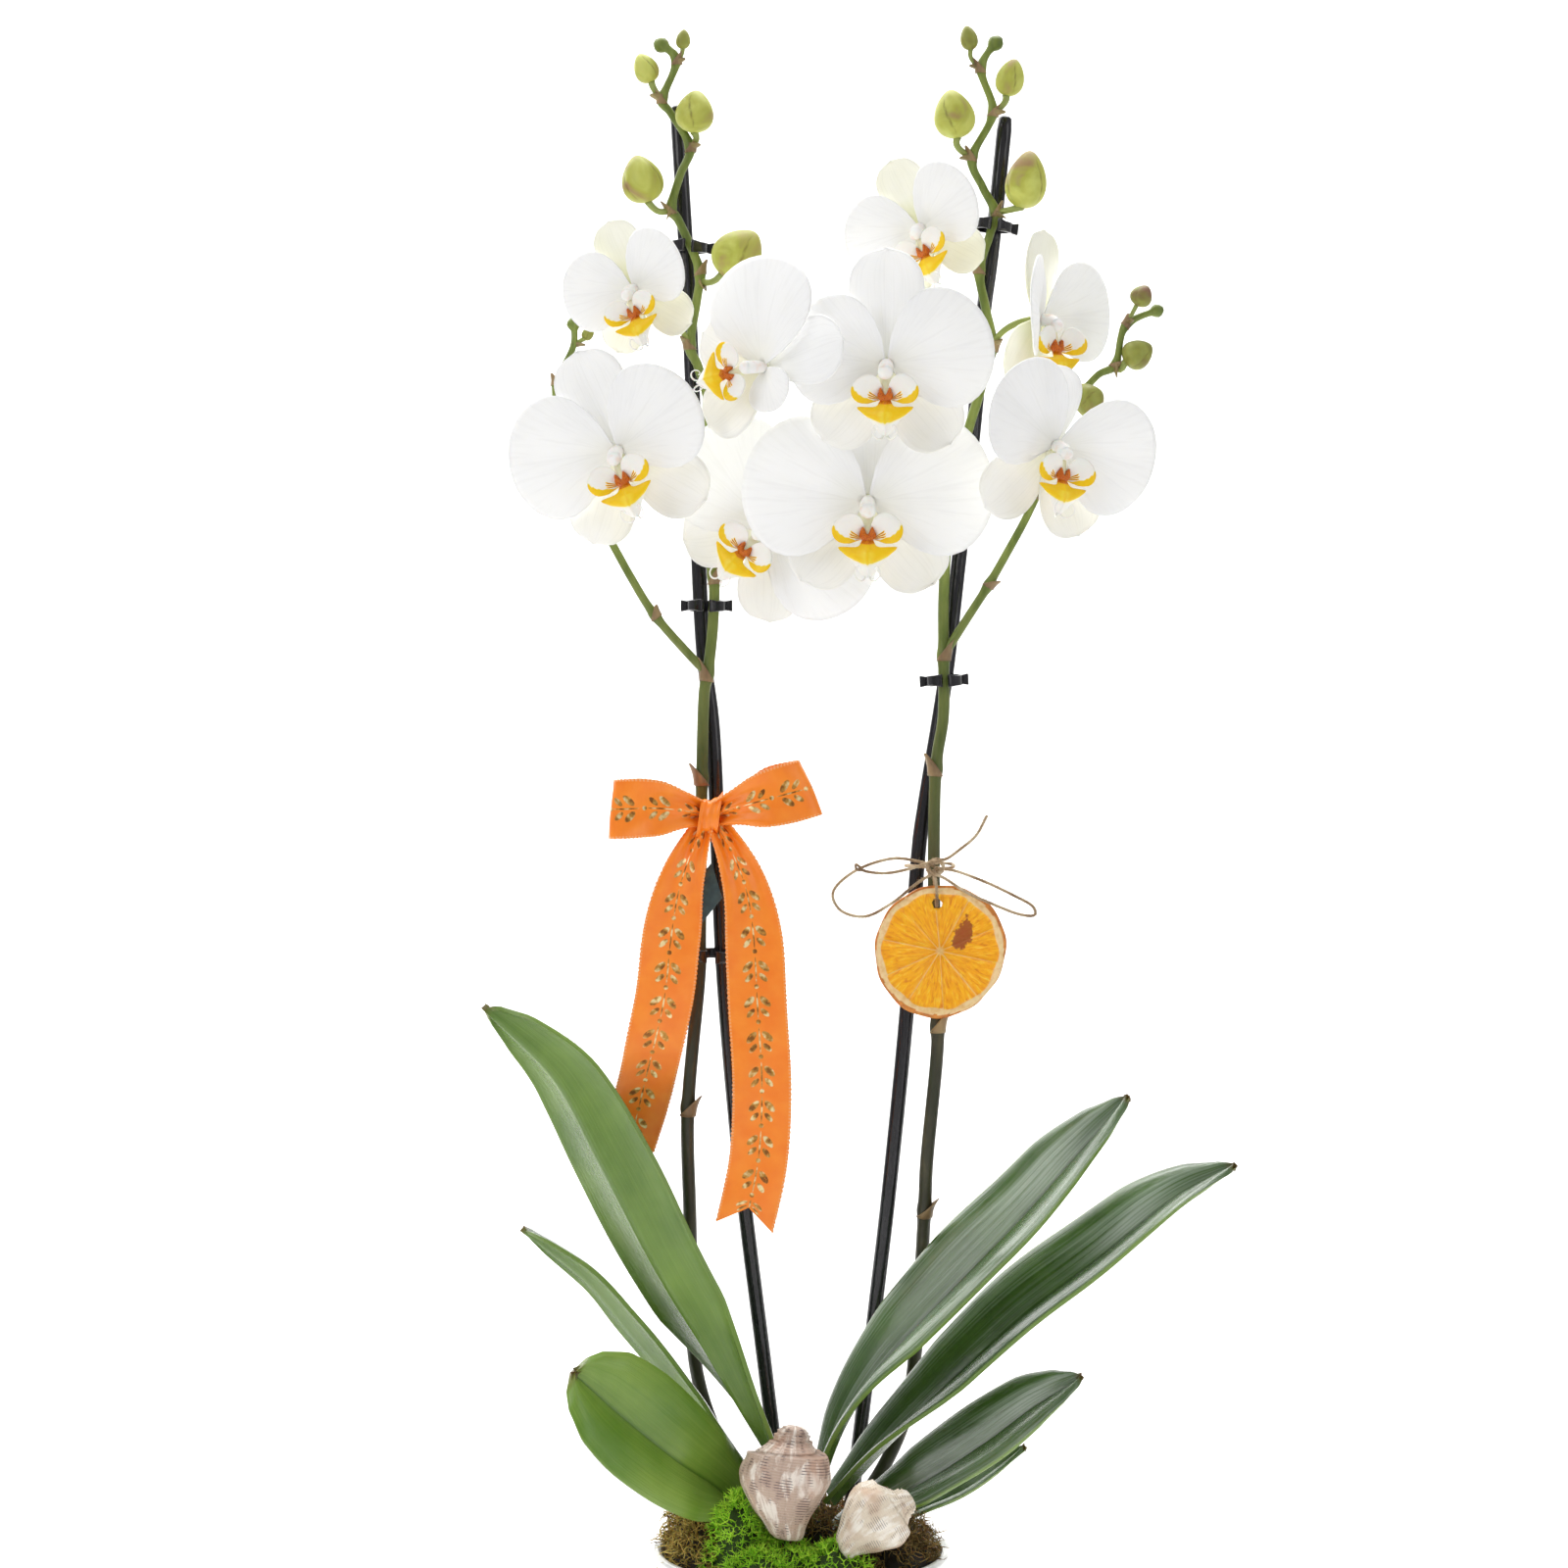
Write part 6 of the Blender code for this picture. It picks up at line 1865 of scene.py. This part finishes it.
def makeSlice():
    x, y, z = orange["middle"]
    places, faces, tones = [], [], []
    rings, steps = orange["rings"], orange["steps"]
    hx, hz, hole = orange["hole"]
    for face in (-1, 1):
        for ring in range(rings + 1):
            share = ring / rings
            for step in range(steps):
                angle = 2 * math.pi * step / steps
                edge = orange["radius"] * (
                    0.985 + 0.022 * math.cos(2 * angle - 1.9) + 0.014 * math.sin(angle * 3 + 0.6)
                    + 0.008 * math.sin(angle * 11)
                )
                r = edge * share ** 0.9
                px, pz = x + r * math.cos(angle), z + r * math.sin(angle)
                away = math.hypot(px - hx, pz - hz)
                if away < hole * 2.2:
                    # points near the hole are pushed to its rim
                    push = hole + (away / 2.2) * 1.2 if away > 1e-6 else hole
                    px, pz = hx + (px - hx) / max(away, 1e-6) * push, hz + (pz - hz) / max(away, 1e-6) * push
                tone, high = sliceTone(px, pz)
                dish = 0.5 * math.sin(angle * 2 + 1.0) * share ** 2
                rough = 0.22 * noise.noise(Vector((px * 0.9, pz * 0.9, face)))
                rim = 0.55 * math.exp(-((share - 1) / 0.07) ** 2)
                lift = orange["half"] - 0.75 * high + rough - (rim if share > 0.97 else 0.0)
                places.append(Vector((px, y + face * lift + dish, pz)) * mm)
                tones.append(tone)
    size = (rings + 1) * steps
    for layer in (0, 1):
        for ring in range(rings):
            for step in range(steps):
                low, after = layer * size + ring * steps, (step + 1) % steps
                corner = [low + step, low + after, low + steps + after, low + steps + step]
                middle = sum((places[index] for index in corner), Vector()) / 4 / mm
                if math.hypot(middle.x - hx, middle.z - hz) < hole * 1.02:
                    continue
                faces.append(tuple(corner if layer else reversed(corner)))
    rimLow, rimHigh = rings * steps, size + rings * steps
    for step in range(steps):
        faces.append((rimLow + step, rimLow + (step + 1) % steps, rimHigh + (step + 1) % steps, rimHigh + step))
    made = meshPiece("driedOrange", places, faces)
    storeValues(made, "pulp", tones)
    mergeDoubles(made, 1e-6)
    shape = bmesh.new()
    shape.from_mesh(made.data)
    loose = [vertex for vertex in shape.verts if not vertex.link_faces]
    bmesh.ops.delete(shape, geom=loose, context="VERTS")
    # the two open rings at the hole are joined by its wall
    ringEdges = [edge for edge in shape.edges if edge.is_boundary]
    bmesh.ops.bridge_loops(shape, edges=ringEdges)
    shape.to_mesh(made.data)
    shape.free()
    made.data.materials.append(driedPulp)
    finishPiece(faceOut(made), "orange_slice")


def makeDriedPulp():
    # dried citrus: leathery orange rind, chalky pith, glassy amber pulp in radial vesicles, one scorched patch
    made, tree, shader = newMaterial(
        "driedCitrus", "#f5a800", 0.34, IOR=1.45, Subsurface_Weight=0.25, Subsurface_Scale=2.0 * mm,
        Coat_Weight=0.15, Coat_Roughness=0.3
    )
    own = addNode(tree, "TexCoord")
    pulp = addNode(tree, "Attribute", attribute_name="pulp")
    x, y, z = orange["middle"]
    centred = addNode(tree, "Mapping", {"Location": (-x * mm, -y * mm, -z * mm)}, {"Vector": (own, "Object")})
    apart = addNode(tree, "SeparateXYZ", None, {"Vector": (centred, "Vector")})
    angle = addNode(tree, "Math", None, {0: (apart, "Z"), 1: (apart, "X")}, operation="ARCTAN2")
    radius = addNode(tree, "VectorMath", None, {0: (centred, "Vector")}, operation="LENGTH")
    polar = addNode(tree, "CombineXYZ", None, {"X": (angle, 0), "Y": (radius, "Value")})
    long = addNode(tree, "Mapping", {"Scale": (16.0, 190.0, 1.0)}, {"Vector": (polar, "Vector")})
    sacs = addNode(
        tree, "TexNoise", {"Scale": 1.0, "Detail": 3.0, "Roughness": 0.6, "Distortion": 0.8},
        {"Vector": (long, "Vector")}
    )
    amber = addNode(
        tree, "ValToRGB", None, {"Fac": (sacs, "Fac")},
        [(0.28, "#de8400"), (0.44, "#f5a600"), (0.60, "#ffbe0e"), (0.80, "#ffe06a")]
    )
    grain = addNode(tree, "TexNoise", {"Scale": 420.0, "Detail": 4.0}, {"Vector": (own, "Object")})
    pith = addNode(tree, "ValToRGB", None, {"Fac": (grain, "Fac")}, [(0.3, "#e3b878"), (0.6, "#f3d6a0")])
    rind = addNode(tree, "ValToRGB", None, {"Fac": (grain, "Fac")}, [(0.3, "#b5641c"), (0.65, "#e0913a")])
    inPulp = addNode(tree, "MapRange", {"From Min": 0.36, "From Max": 0.62}, {"Value": (pulp, "Fac")})
    inPith = addNode(tree, "MapRange", {"From Min": 0.05, "From Max": 0.22}, {"Value": (pulp, "Fac")})
    outer = addNode(
        tree, "MixRGB", None,
        {"Fac": (inPith, "Result"), "Color1": (rind, "Color"), "Color2": (pith, "Color")}
    )
    body = addNode(
        tree, "MixRGB", None,
        {"Fac": (inPulp, "Result"), "Color1": (outer, "Color"), "Color2": (amber, "Color")}
    )
    px, pz = orange["patch"]
    spotAt = addNode(
        tree, "Mapping", {
            "Location": (px * mm, y * mm, pz * mm), "Rotation": (0.0, 0.35, 0.0), "Scale": (0.6, 1.0, 1.1)
        },
        {"Vector": (own, "Object")}, vector_type="TEXTURE",
    )
    far = addNode(tree, "VectorMath", None, {0: (spotAt, "Vector")}, operation="LENGTH")
    ragged = addNode(tree, "Math", {1: 0.010, 2: -0.005}, {0: (grain, "Fac")}, operation="MULTIPLY_ADD")
    rough = addNode(tree, "Math", None, {0: (far, "Value"), 1: (ragged, 0)}, operation="ADD")
    burnt = addNode(
        tree, "MapRange", {"From Min": 0.0058, "From Max": 0.0068, "To Min": 0.9, "To Max": 0.0},
        {"Value": (rough, 0)}
    )
    scorched = addNode(
        tree, "MixRGB", {"Color2": "#9c4210"}, {"Fac": (burnt, "Result"), "Color1": (body, "Color")}
    )
    tree.links.new(scorched.outputs["Color"], shader.inputs["Base Color"])
    addBump(tree, shader, sacs, "Fac", 0.5 * mm, 0.7)
    return made


driedPulp = makeDriedPulp()
makeSlice()
print("slice dried")


# whelk shells: a worn spire, a shouldered last turn and a canal, the mouth turned away


shells = {
    "shell_large": {
        "name": "shellGrey", "place": (-6.4, -37.0, 156.5), "half": 24.0, "wide": 20.6, "lean": -6.0,
        "roll": 8.0, "turn": 125, "knobs": 0.01
    },
    "shell_small": {
        "name": "shellCream", "place": (30.5, -40.5, 141.0), "half": 18.8, "wide": 16.4, "lean": -8.0,
        "roll": 60.0, "turn": 125, "knobs": 0.05
    },
}
shellOutline = [
    (0.0, 0.0), (0.01, 0.20), (0.04, 0.30), (0.09, 0.36), (0.15, 0.42), (0.19, 0.56), (0.25, 0.78),
    (0.33, 0.94), (0.42, 1.0), (0.48, 0.985), (0.58, 0.89), (0.68, 0.76), (0.78, 0.60), (0.87, 0.46),
    (0.94, 0.38), (0.985, 0.26), (1.0, 0.0),
]


def shellReach(share, angle, knobs):
    # share runs from the worn tip to the end of the canal, angle from 0 to 1 round the axis
    slide = share - 0.055 * (0.5 - angle) * min(1.0, share * 6) * min(1.0, (1 - share) * 5)
    reach = readTable(shellOutline, min(1.0, max(0.0, slide)))
    # sutures wind down the spire
    if share < 0.36:
        turn = math.log(max(share, 0.012) / 0.30) / math.log(1.75) + angle
        within = turn - math.floor(turn)
        reach *= 1.0 + (
            0.17 * (1 - within) ** 2 - 0.10 * math.exp(-((within - 0.97) / 0.06) ** 2)
        ) * min(1.0, (0.36 - share) * 12)
    if share > 0.2:
        shoulder = math.exp(-((share - 0.36) / 0.07) ** 2)
        reach *= 1 + knobs * shoulder * math.cos(angle * 2 * math.pi * 7)
    # the last turn grows towards its lip, and the mouth opens behind the lip
    grown = 0.90 + 0.10 * angle
    mouth = min(1.0, max(0.0, (share - 0.34) / 0.10)) * min(1.0, max(0.0, (0.97 - share) / 0.12))
    inside = math.exp(-(((angle - 0.93) / 0.035) ** 4))
    return reach * (grown - 0.46 * mouth * inside + 0.10 * mouth * math.exp(-((angle - 0.865) / 0.02) ** 2))


def makeShell(node):
    item = shells[node]
    way = (
        Matrix.Translation(spot(*item["place"]))
        @ Matrix.Rotation(math.radians(item["roll"]), 4, "Y")
        @ Matrix.Rotation(math.radians(item["lean"]), 4, "X")
    )

    def shellPoint(across, along):
        reach = shellReach(along, across, item["knobs"]) * item["wide"]
        angle = 2 * math.pi * across + math.radians(item["turn"])
        x, y = reach * math.cos(angle), reach * math.sin(angle)
        z = item["half"] * (1 - 2 * along)
        # the axis bends a little towards the canal, and the surface is worn
        x += 3.4 * max(0.0, along - 0.5) ** 2 * 4 - 1.6 * math.sin(math.pi * along)
        worn = 0.45 * noise.noise(Vector((x, y, z)) * 0.16 + Vector((item["turn"], 0, 0)))
        fine = 0.13 * noise.noise(Vector((x, y, z)) * 0.7)
        out = 1 + (worn + fine) / max(reach, 3.0)
        return way @ (Vector((x * out, y * out, z)) * mm)

    made = gridSheet(item["name"], 120, 110, shellPoint)
    mergeDoubles(made, 1e-6)
    made.data.materials.append(item["finish"])
    finishPiece(faceOut(made), node)


def makeShellWear(name, base, light, dark, patchy, lines):
    # old shell: chalky and worn, streaked with growth lines along the axis and fine dark cords round it
    made, tree, shader = newMaterial(name, base, 0.62, IOR=1.5, Coat_Weight=0.06, Coat_Roughness=0.35)
    own = addNode(tree, "TexCoord")
    grown = addNode(tree, "Mapping", {"Scale": (20.0, 3.4, 1.0)}, {"Vector": (own, "UV")})
    growth = addNode(
        tree, "TexNoise", {"Scale": 1.0, "Detail": 4.0, "Roughness": 0.6, "Distortion": 0.5},
        {"Vector": (grown, "Vector")}
    )
    cloud = addNode(
        tree, "TexNoise", {"Scale": 95.0, "Detail": 5.0, "Roughness": 0.62}, {"Vector": (own, "Object")}
    )
    both = addNode(tree, "Math", {1: 0.5}, {0: (cloud, "Fac"), 2: (growth, "Fac")}, operation="MULTIPLY_ADD")
    tone = addNode(
        tree, "ValToRGB", None, {"Fac": (both, 0)}, [(0.52, dark), (0.64, base), (0.76, base), (0.88, light)]
    )
    # chalky streaks
    streak = addNode(tree, "ValToRGB", None, {"Fac": (growth, "Fac")}, [(0.58, grey(0.0)), (0.68, grey(0.75))])
    chalked = addNode(tree, "MixRGB", {"Color2": light}, {"Fac": (streak, "Color"), "Color1": (tone, "Color")})
    # fine cords that wind round, broken into dashes
    cordUv = addNode(tree, "Mapping", {"Scale": (1.4, 13.0, 1.0)}, {"Vector": (own, "UV")})
    cords = addNode(
        tree, "TexWave", {"Scale": 1.0, "Distortion": 1.2, "Detail": 2.0, "Detail Scale": 1.5},
        {"Vector": (cordUv, "Vector")}, bands_direction="Y"
    )
    thin = addNode(tree, "ValToRGB", None, {"Fac": (cords, "Fac")}, [(0.10, "#ffffff"), (0.32, "#000000")])
    spots = addNode(tree, "Mapping", {"Scale": (17.0, 5.0, 1.0)}, {"Vector": (own, "UV")})
    where = addNode(tree, "TexNoise", {"Scale": 1.0, "Detail": 2.0}, {"Vector": (spots, "Vector")})
    only = addNode(
        tree, "MapRange", {"From Min": 0.50, "From Max": 0.60, "To Max": lines}, {"Value": (where, "Fac")}
    )
    dashes = addNode(tree, "Math", None, {0: (thin, "Color"), 1: (only, "Result")}, operation="MULTIPLY")
    ribUv = addNode(tree, "Mapping", {"Scale": (9.0, 0.6, 1.0)}, {"Vector": (own, "UV")})
    ribs = addNode(
        tree, "TexWave", {"Scale": 1.0, "Distortion": 2.0, "Detail": 3.0, "Detail Scale": 1.4},
        {"Vector": (ribUv, "Vector")}, bands_direction="X"
    )
    grooves = addNode(tree, "ValToRGB", None, {"Fac": (ribs, "Fac")}, [(0.03, grey(0.4)), (0.2, grey(0.0))])
    ruled = addNode(tree, "MixRGB", {"Color2": dark}, {"Fac": (grooves, "Color"), "Color1": (chalked, "Color")})
    corded = addNode(tree, "ValToRGB", None, {"Fac": (cords, "Fac")}, [(0.05, grey(0.45)), (0.35, grey(0.0))])
    wound = addNode(tree, "MixRGB", {"Color2": light}, {"Fac": (corded, "Color"), "Color1": (ruled, "Color")})
    lined = addNode(tree, "MixRGB", {"Color2": "#57474a"}, {"Fac": (dashes, 0), "Color1": (wound, "Color")})
    stain = addNode(
        tree, "TexNoise", {"Scale": 60.0, "Detail": 3.0, "Distortion": 0.6}, {"Vector": (own, "Object")}
    )
    stained = addNode(
        tree, "MapRange", {"From Min": 0.52, "From Max": 0.66, "To Max": 0.6}, {"Value": (stain, "Fac")}
    )
    whole = addNode(
        tree, "MixRGB", {"Color2": patchy}, {"Fac": (stained, "Result"), "Color1": (lined, "Color")}
    )
    tree.links.new(whole.outputs["Color"], shader.inputs["Base Color"])
    fine = addNode(tree, "TexNoise", {"Scale": 900.0, "Detail": 3.0}, {"Vector": (own, "Object")})
    grainy = addNode(tree, "Math", {1: 0.25}, {0: (fine, "Fac"), 2: (growth, "Fac")}, operation="MULTIPLY_ADD")
    ridged = addNode(tree, "Math", {1: 0.5}, {0: (cords, "Fac"), 2: (grainy, 0)}, operation="MULTIPLY_ADD")
    addBump(tree, shader, ridged, 0, 0.14 * mm, 0.8)
    return made


shells["shell_large"]["finish"] = makeShellWear(
    "wornGreyShell", "#bda392", "#eee3d8", "#8c7569", "#c8a088", 1.0
)
shells["shell_small"]["finish"] = makeShellWear(
    "wornCreamShell", "#dfd1bc", "#f6efe4", "#b7a28c", "#c09a7c", 0.7
)
for node in shells:
    makeShell(node)
print("shells laid")


# moss: sprigs of forked branches grown out of a bed painted dark as the shade in the gaps between them, one mesh
# to a clump


mossBed = {"floor": 106.4, "inner": 59.3, "share": 0.86, "rings": 9, "steps": 26}
# each bed colour is dark: painted shade, seen in the gaps between the sprigs
mosses = {
    # each mound: x, y, half width, half depth, height
    "moss_green": {
        "tones": ("#64a312", "#93d81a", "#bdf03e"),
        "name": "mossGreen", "slot": "moss_bright", "sprigs": 860, "kind": "fork", "size": 9.6, "thick": 0.46,
        "seed": 11, "bed": "#2c4408",
        "mounds": [(-8, -36, 31, 17, 23), (-27, -30, 13, 14, 44), (14, -41, 18, 11, 25), (-17, -45, 18, 9, 22)],
    },
    "moss_brown_left": {
        "tones": ("#5c4618", "#a08434", "#d0b860"),
        "name": "mossOlive", "slot": "moss_olive", "sprigs": 900, "kind": "thread", "size": 11.0,
        "thick": 0.42, "seed": 12, "bed": "#2a2010",
        "mounds": [(-45, -2, 15, 24, 38), (-42, -18, 15, 17, 30), (-45, 14, 13, 15, 30)],
    },
    "moss_brown_right": {
        "tones": ("#43331a", "#6f5a2c", "#937a40"),
        "name": "mossUmber", "slot": "moss_dark", "sprigs": 900, "kind": "thread", "size": 10.5,
        "thick": 0.40, "seed": 13, "bed": "#1e160c",
        "mounds": [(45, -6, 15, 24, 27), (42, -22, 16, 16, 24), (22, -24, 13, 10, 22), (8, -20, 13, 10, 34)],
    },
    "moss_back": {
        "tones": ("#43331a", "#6f5a2c", "#937a40"),
        "name": "mossRear", "slot": "moss_dark", "sprigs": 900, "kind": "thread", "size": 10.5, "thick": 0.40,
        "seed": 14, "bed": "#1e160c",
        "mounds": [(0, 44, 34, 15, 24), (-22, 38, 18, 15, 20), (24, 38, 18, 15, 20)],
    },
}


def branch(points, thick, places, faces):
    # a three-sided twig along the points, run to a tip
    start = len(places)
    for index, point in enumerate(points[:-1]):
        ahead = (points[index + 1] - point).normalized()
        side = ahead.orthogonal().normalized()
        other = ahead.cross(side)
        size = thick * (1 - 0.6 * index / (len(points) - 1))
        for corner in range(3):
            angle = 2 * math.pi * corner / 3
            places.append(point + side * size * math.cos(angle) + other * size * math.sin(angle))
    places.append(points[-1].copy())
    for index in range(len(points) - 2):
        for corner in range(3):
            low, high = start + index * 3 + corner, start + index * 3 + (corner + 1) % 3
            faces.append((low, high, high + 3, low + 3))
    last = start + (len(points) - 2) * 3
    for corner in range(3):
        faces.append((last + corner, last + (corner + 1) % 3, len(places) - 1))


def forkSprig(rng, thick):
    # a stalk that forks twice, like an antler
    places, faces = [], []
    top = Vector((rng.uniform(-0.12, 0.12), rng.uniform(-0.12, 0.12), 0.45))
    branch([Vector((0, 0, 0)), top * 0.6 + Vector((0.03, 0, 0)), top * 1.15], thick, places, faces)
    turn = rng.uniform(0, 6.28)
    for step in range(3):
        angle = turn + step * 2.1 + rng.uniform(-0.4, 0.4)
        out = Vector((math.cos(angle), math.sin(angle), 0))
        mid = top + out * 0.20 + Vector((0, 0, 0.16))
        for way in (-0.9, 0.7):
            tip = Vector((math.cos(angle + way), math.sin(angle + way), 0))
            branch(
                [top, mid, mid + tip * 0.20 + Vector((0, 0, rng.uniform(0.08, 0.24)))], thick * 0.72, places,
                faces
            )
    return places, faces


def threadSprig(rng, thick):
    # a curled thread with two side threads
    places, faces = [], []
    turn, bend = rng.uniform(0, 6.28), rng.uniform(0.9, 2.4)
    points, place = [Vector((0, 0, 0))], Vector((0, 0, 0))
    for step in range(5):
        lean = 0.25 + bend * step / 5
        place = place + Vector((
            math.cos(turn) * math.sin(lean), math.sin(turn) * math.sin(lean), math.cos(lean)
        )) * 0.24
        turn += rng.uniform(-0.5, 0.9)
        points.append(place)
    branch(points, thick, places, faces)
    for at in (2, 3):
        angle = rng.uniform(0, 6.28)
        out = Vector((math.cos(angle), math.sin(angle), 0.3))
        branch(
            [points[at], points[at] + out * 0.16, points[at] + out * 0.24 + Vector((0, 0, 0.14))],
            thick * 0.7, places, faces
        )
    return places, faces


def moundSpot(rng, mound, floor):
    x, y, wide, deep, tall = mound
    angle, high = rng.uniform(0, 2 * math.pi), rng.random() ** 0.8
    flat = math.sqrt(1 - high * high)
    out = Vector((flat * math.cos(angle), flat * math.sin(angle), high))
    place = Vector((x + wide * out.x, y + deep * out.y, floor + tall * out.z))
    way = Vector((out.x / wide, out.y / deep, out.z / tall)).normalized()
    return place, way


def insideAny(place, mounds, floor, share):
    for x, y, wide, deep, tall in mounds:
        if ((place.x - x) / wide) ** 2 + ((place.y - y) / deep) ** 2 + ((place.z - floor) / tall) ** 2 < share:
            return True
    return False


def makeMoss(node):
    item = mosses[node]
    rng = random.Random(item["seed"])
    floor, inner = mossBed["floor"], mossBed["inner"]
    kinds = [
        (forkSprig if item["kind"] == "fork" else threadSprig)(rng, item["thick"] / item["size"])
        for _ in range(14)
    ]
    places, faces, tones = [], [], []
    areas = [wide * deep + (wide + deep) * tall for _, _, wide, deep, tall in item["mounds"]]
    grown = 0
    while grown < item["sprigs"]:
        mound = rng.choices(item["mounds"], areas)[0]
        place, way = moundSpot(rng, mound, floor)
        if math.hypot(place.x, place.y) > inner or insideAny(place, item["mounds"], floor, 0.78):
            continue
        grown += 1
        way = (
            way + Vector((rng.uniform(-0.5, 0.5), rng.uniform(-0.5, 0.5), rng.uniform(-0.2, 0.6)))
        ).normalized()
        turned = way.to_track_quat("Z", "Y").to_matrix() @ Matrix.Rotation(rng.uniform(0, 6.28), 3, "Z")
        size = item["size"] * rng.uniform(0.5, 1.15)
        sink = place - way * (size * 0.4 + 3.0 * noise.noise(place * 0.12))
        shape, sides = rng.choice(kinds)
        first, tone = len(places), rng.random()
        for point in shape:
            places.append((sink + turned @ point * size) * mm)
            tones.append(0.65 * tone + 0.35 * point.z)
        faces.extend(tuple(first + index for index in side) for side in sides)
    # the bed the sprigs grow from, painted dark: painted shade in the gaps between the sprigs
    for x, y, wide, deep, tall in item["mounds"]:
        first, rings, steps, share = len(places), mossBed["rings"], mossBed["steps"], mossBed["share"]
        for ring in range(rings + 1):
            lift = ring / rings * math.pi / 2
            for step in range(steps):
                angle = 2 * math.pi * step / steps
                out = Vector((
                    math.cos(lift) * math.cos(angle), math.cos(lift) * math.sin(angle), math.sin(lift)
                ))
                point = Vector((
                    x + wide * share * out.x, y + deep * share * out.y, floor + tall * share * out.z
                ))
                far = math.hypot(point.x, point.y)
                if far > inner:
                    point.x, point.y = point.x * inner / far, point.y * inner / far
                point += out * 1.4 * noise.noise(point * 0.35)
                places.append(point * mm)
                tones.append(-1.0)
        for ring in range(rings):
            for step in range(steps):
                low, after = first + ring * steps, (step + 1) % steps
                faces.append((low + step, low + after, low + steps + after, low + steps + step))
    made = meshPiece(item["name"], places, faces)
    storeValues(made, "tone", tones)
    made.data.materials.append(makeMossFibre(item["name"] + "Fibre", item["tones"], item["bed"]))
    finishPiece(made, node)


def makeMossFibre(name, stops, bed):
    # matt plant fibre: each sprig has its own tone, paler at the tips, and the bed is painted dark as the shade
    # down between the sprigs
    made, tree, shader = newMaterial(name, stops[1], 0.75, Subsurface_Weight=0.12, Subsurface_Scale=1.0 * mm)
    tone = addNode(tree, "Attribute", attribute_name="tone")
    own = addNode(tree, "TexCoord")
    cloud = addNode(tree, "TexNoise", {"Scale": 60.0, "Detail": 2.0}, {"Vector": (own, "Object")})
    mixed = addNode(tree, "Math", {1: 0.5}, {0: (cloud, "Fac"), 2: (tone, "Fac")}, operation="MULTIPLY_ADD")
    ramp = addNode(
        tree, "ValToRGB", None, {"Fac": (mixed, 0)},
        [(0.0, bed), (0.25, stops[0]), (0.60, stops[1]), (0.98, stops[2])]
    )
    tree.links.new(ramp.outputs["Color"], shader.inputs["Base Color"])
    grain = addNode(tree, "TexNoise", {"Scale": 2200.0, "Detail": 2.0}, {"Vector": (own, "Object")})
    addBump(tree, shader, grain, "Fac", 0.06 * mm, 0.6)
    return made


for node in mosses:
    makeMoss(node)
print("moss grown")


# potting bark: a packed bed with loose chips on it


bark = {"radius": 58.2, "top": 105.2, "floor": 90.0, "chips": 330, "seed": 21}


def makeBark():
    def bedPoint(across, along):
        angle = 2 * math.pi * across
        reach = bark["radius"] * min(1.0, along / 0.8)
        x, y = reach * math.cos(angle), reach * math.sin(angle)
        drop = max(0.0, along - 0.8) / 0.2 * (bark["top"] - bark["floor"])
        lumpy = 1.6 * noise.noise(Vector((x, y, 0)) * 0.11) * (along < 0.99)
        return spot(x, y, bark["top"] - 1.6 + lumpy - drop)

    bed = gridSheet("barkBed", 72, 34, bedPoint)
    mergeDoubles(bed, 1e-6)
    paintValue(bed, "tone", lambda place: 0.1)
    places, faces, tones = [], [], []
    rng = random.Random(bark["seed"])
    corners = [
        (-1, -1, -1), (1, -1, -1), (1, 1, -1), (-1, 1, -1), (-1, -1, 1), (1, -1, 1), (1, 1, 1), (-1, 1, 1)
    ]
    sides = [(0, 3, 2, 1), (4, 5, 6, 7), (0, 1, 5, 4), (1, 2, 6, 5), (2, 3, 7, 6), (3, 0, 4, 7)]
    for _ in range(bark["chips"]):
        reach, angle = (bark["radius"] - 6.0) * math.sqrt(rng.random()), rng.uniform(0, 2 * math.pi)
        turned = (
            Matrix.Rotation(rng.uniform(0, 6.28), 3, "Z")
            @ Matrix.Rotation(rng.uniform(-0.5, 0.5), 3, "X")
            @ Matrix.Rotation(rng.uniform(-0.5, 0.5), 3, "Y")
        )
        size = Vector((rng.uniform(3.5, 8.5), rng.uniform(2.4, 4.6), rng.uniform(0.8, 1.7)))
        middle = Vector((
            reach * math.cos(angle), reach * math.sin(angle), bark["top"] + rng.uniform(-1.0, 0.8)
        ))
        first, tone = len(places), rng.uniform(0.15, 1.0)
        for corner in corners:
            ragged = Vector([corner[axis] * size[axis] / 2 * rng.uniform(0.7, 1.15) for axis in range(3)])
            places.append((middle + turned @ ragged) * mm)
            tones.append(tone)
        faces.extend(tuple(first + index for index in side) for side in sides)
    chips = meshPiece("chips", places, faces)
    storeValues(chips, "tone", tones)
    addModifier(chips, "BEVEL", width=0.35 * mm, segments=1)
    applyAll(chips)
    finish, tree, shader = newMaterial("pineBark", "#6b4c33", 0.85)
    own = addNode(tree, "TexCoord")
    tone = addNode(tree, "Attribute", attribute_name="tone")
    grain = addNode(
        tree, "TexNoise", {"Scale": 420.0, "Detail": 4.0, "Distortion": 0.8}, {"Vector": (own, "Object")}
    )
    mixed = addNode(tree, "Math", {1: 0.6}, {0: (grain, "Fac"), 2: (tone, "Fac")}, operation="MULTIPLY_ADD")
    ramp = addNode(
        tree, "ValToRGB", None, {"Fac": (mixed, 0)}, [(0.25, "#2f2117"), (0.75, "#6b4a30"), (1.3, "#a07a52")]
    )
    tree.links.new(ramp.outputs["Color"], shader.inputs["Base Color"])
    addBump(tree, shader, grain, "Fac", 0.5 * mm, 0.9)
    whole = joinParts("barkChips", [bed, chips])
    whole.data.materials.append(finish)
    finishPiece(faceOut(whole), "potting_bark", angle=35)


makeBark()
print("bark packed")
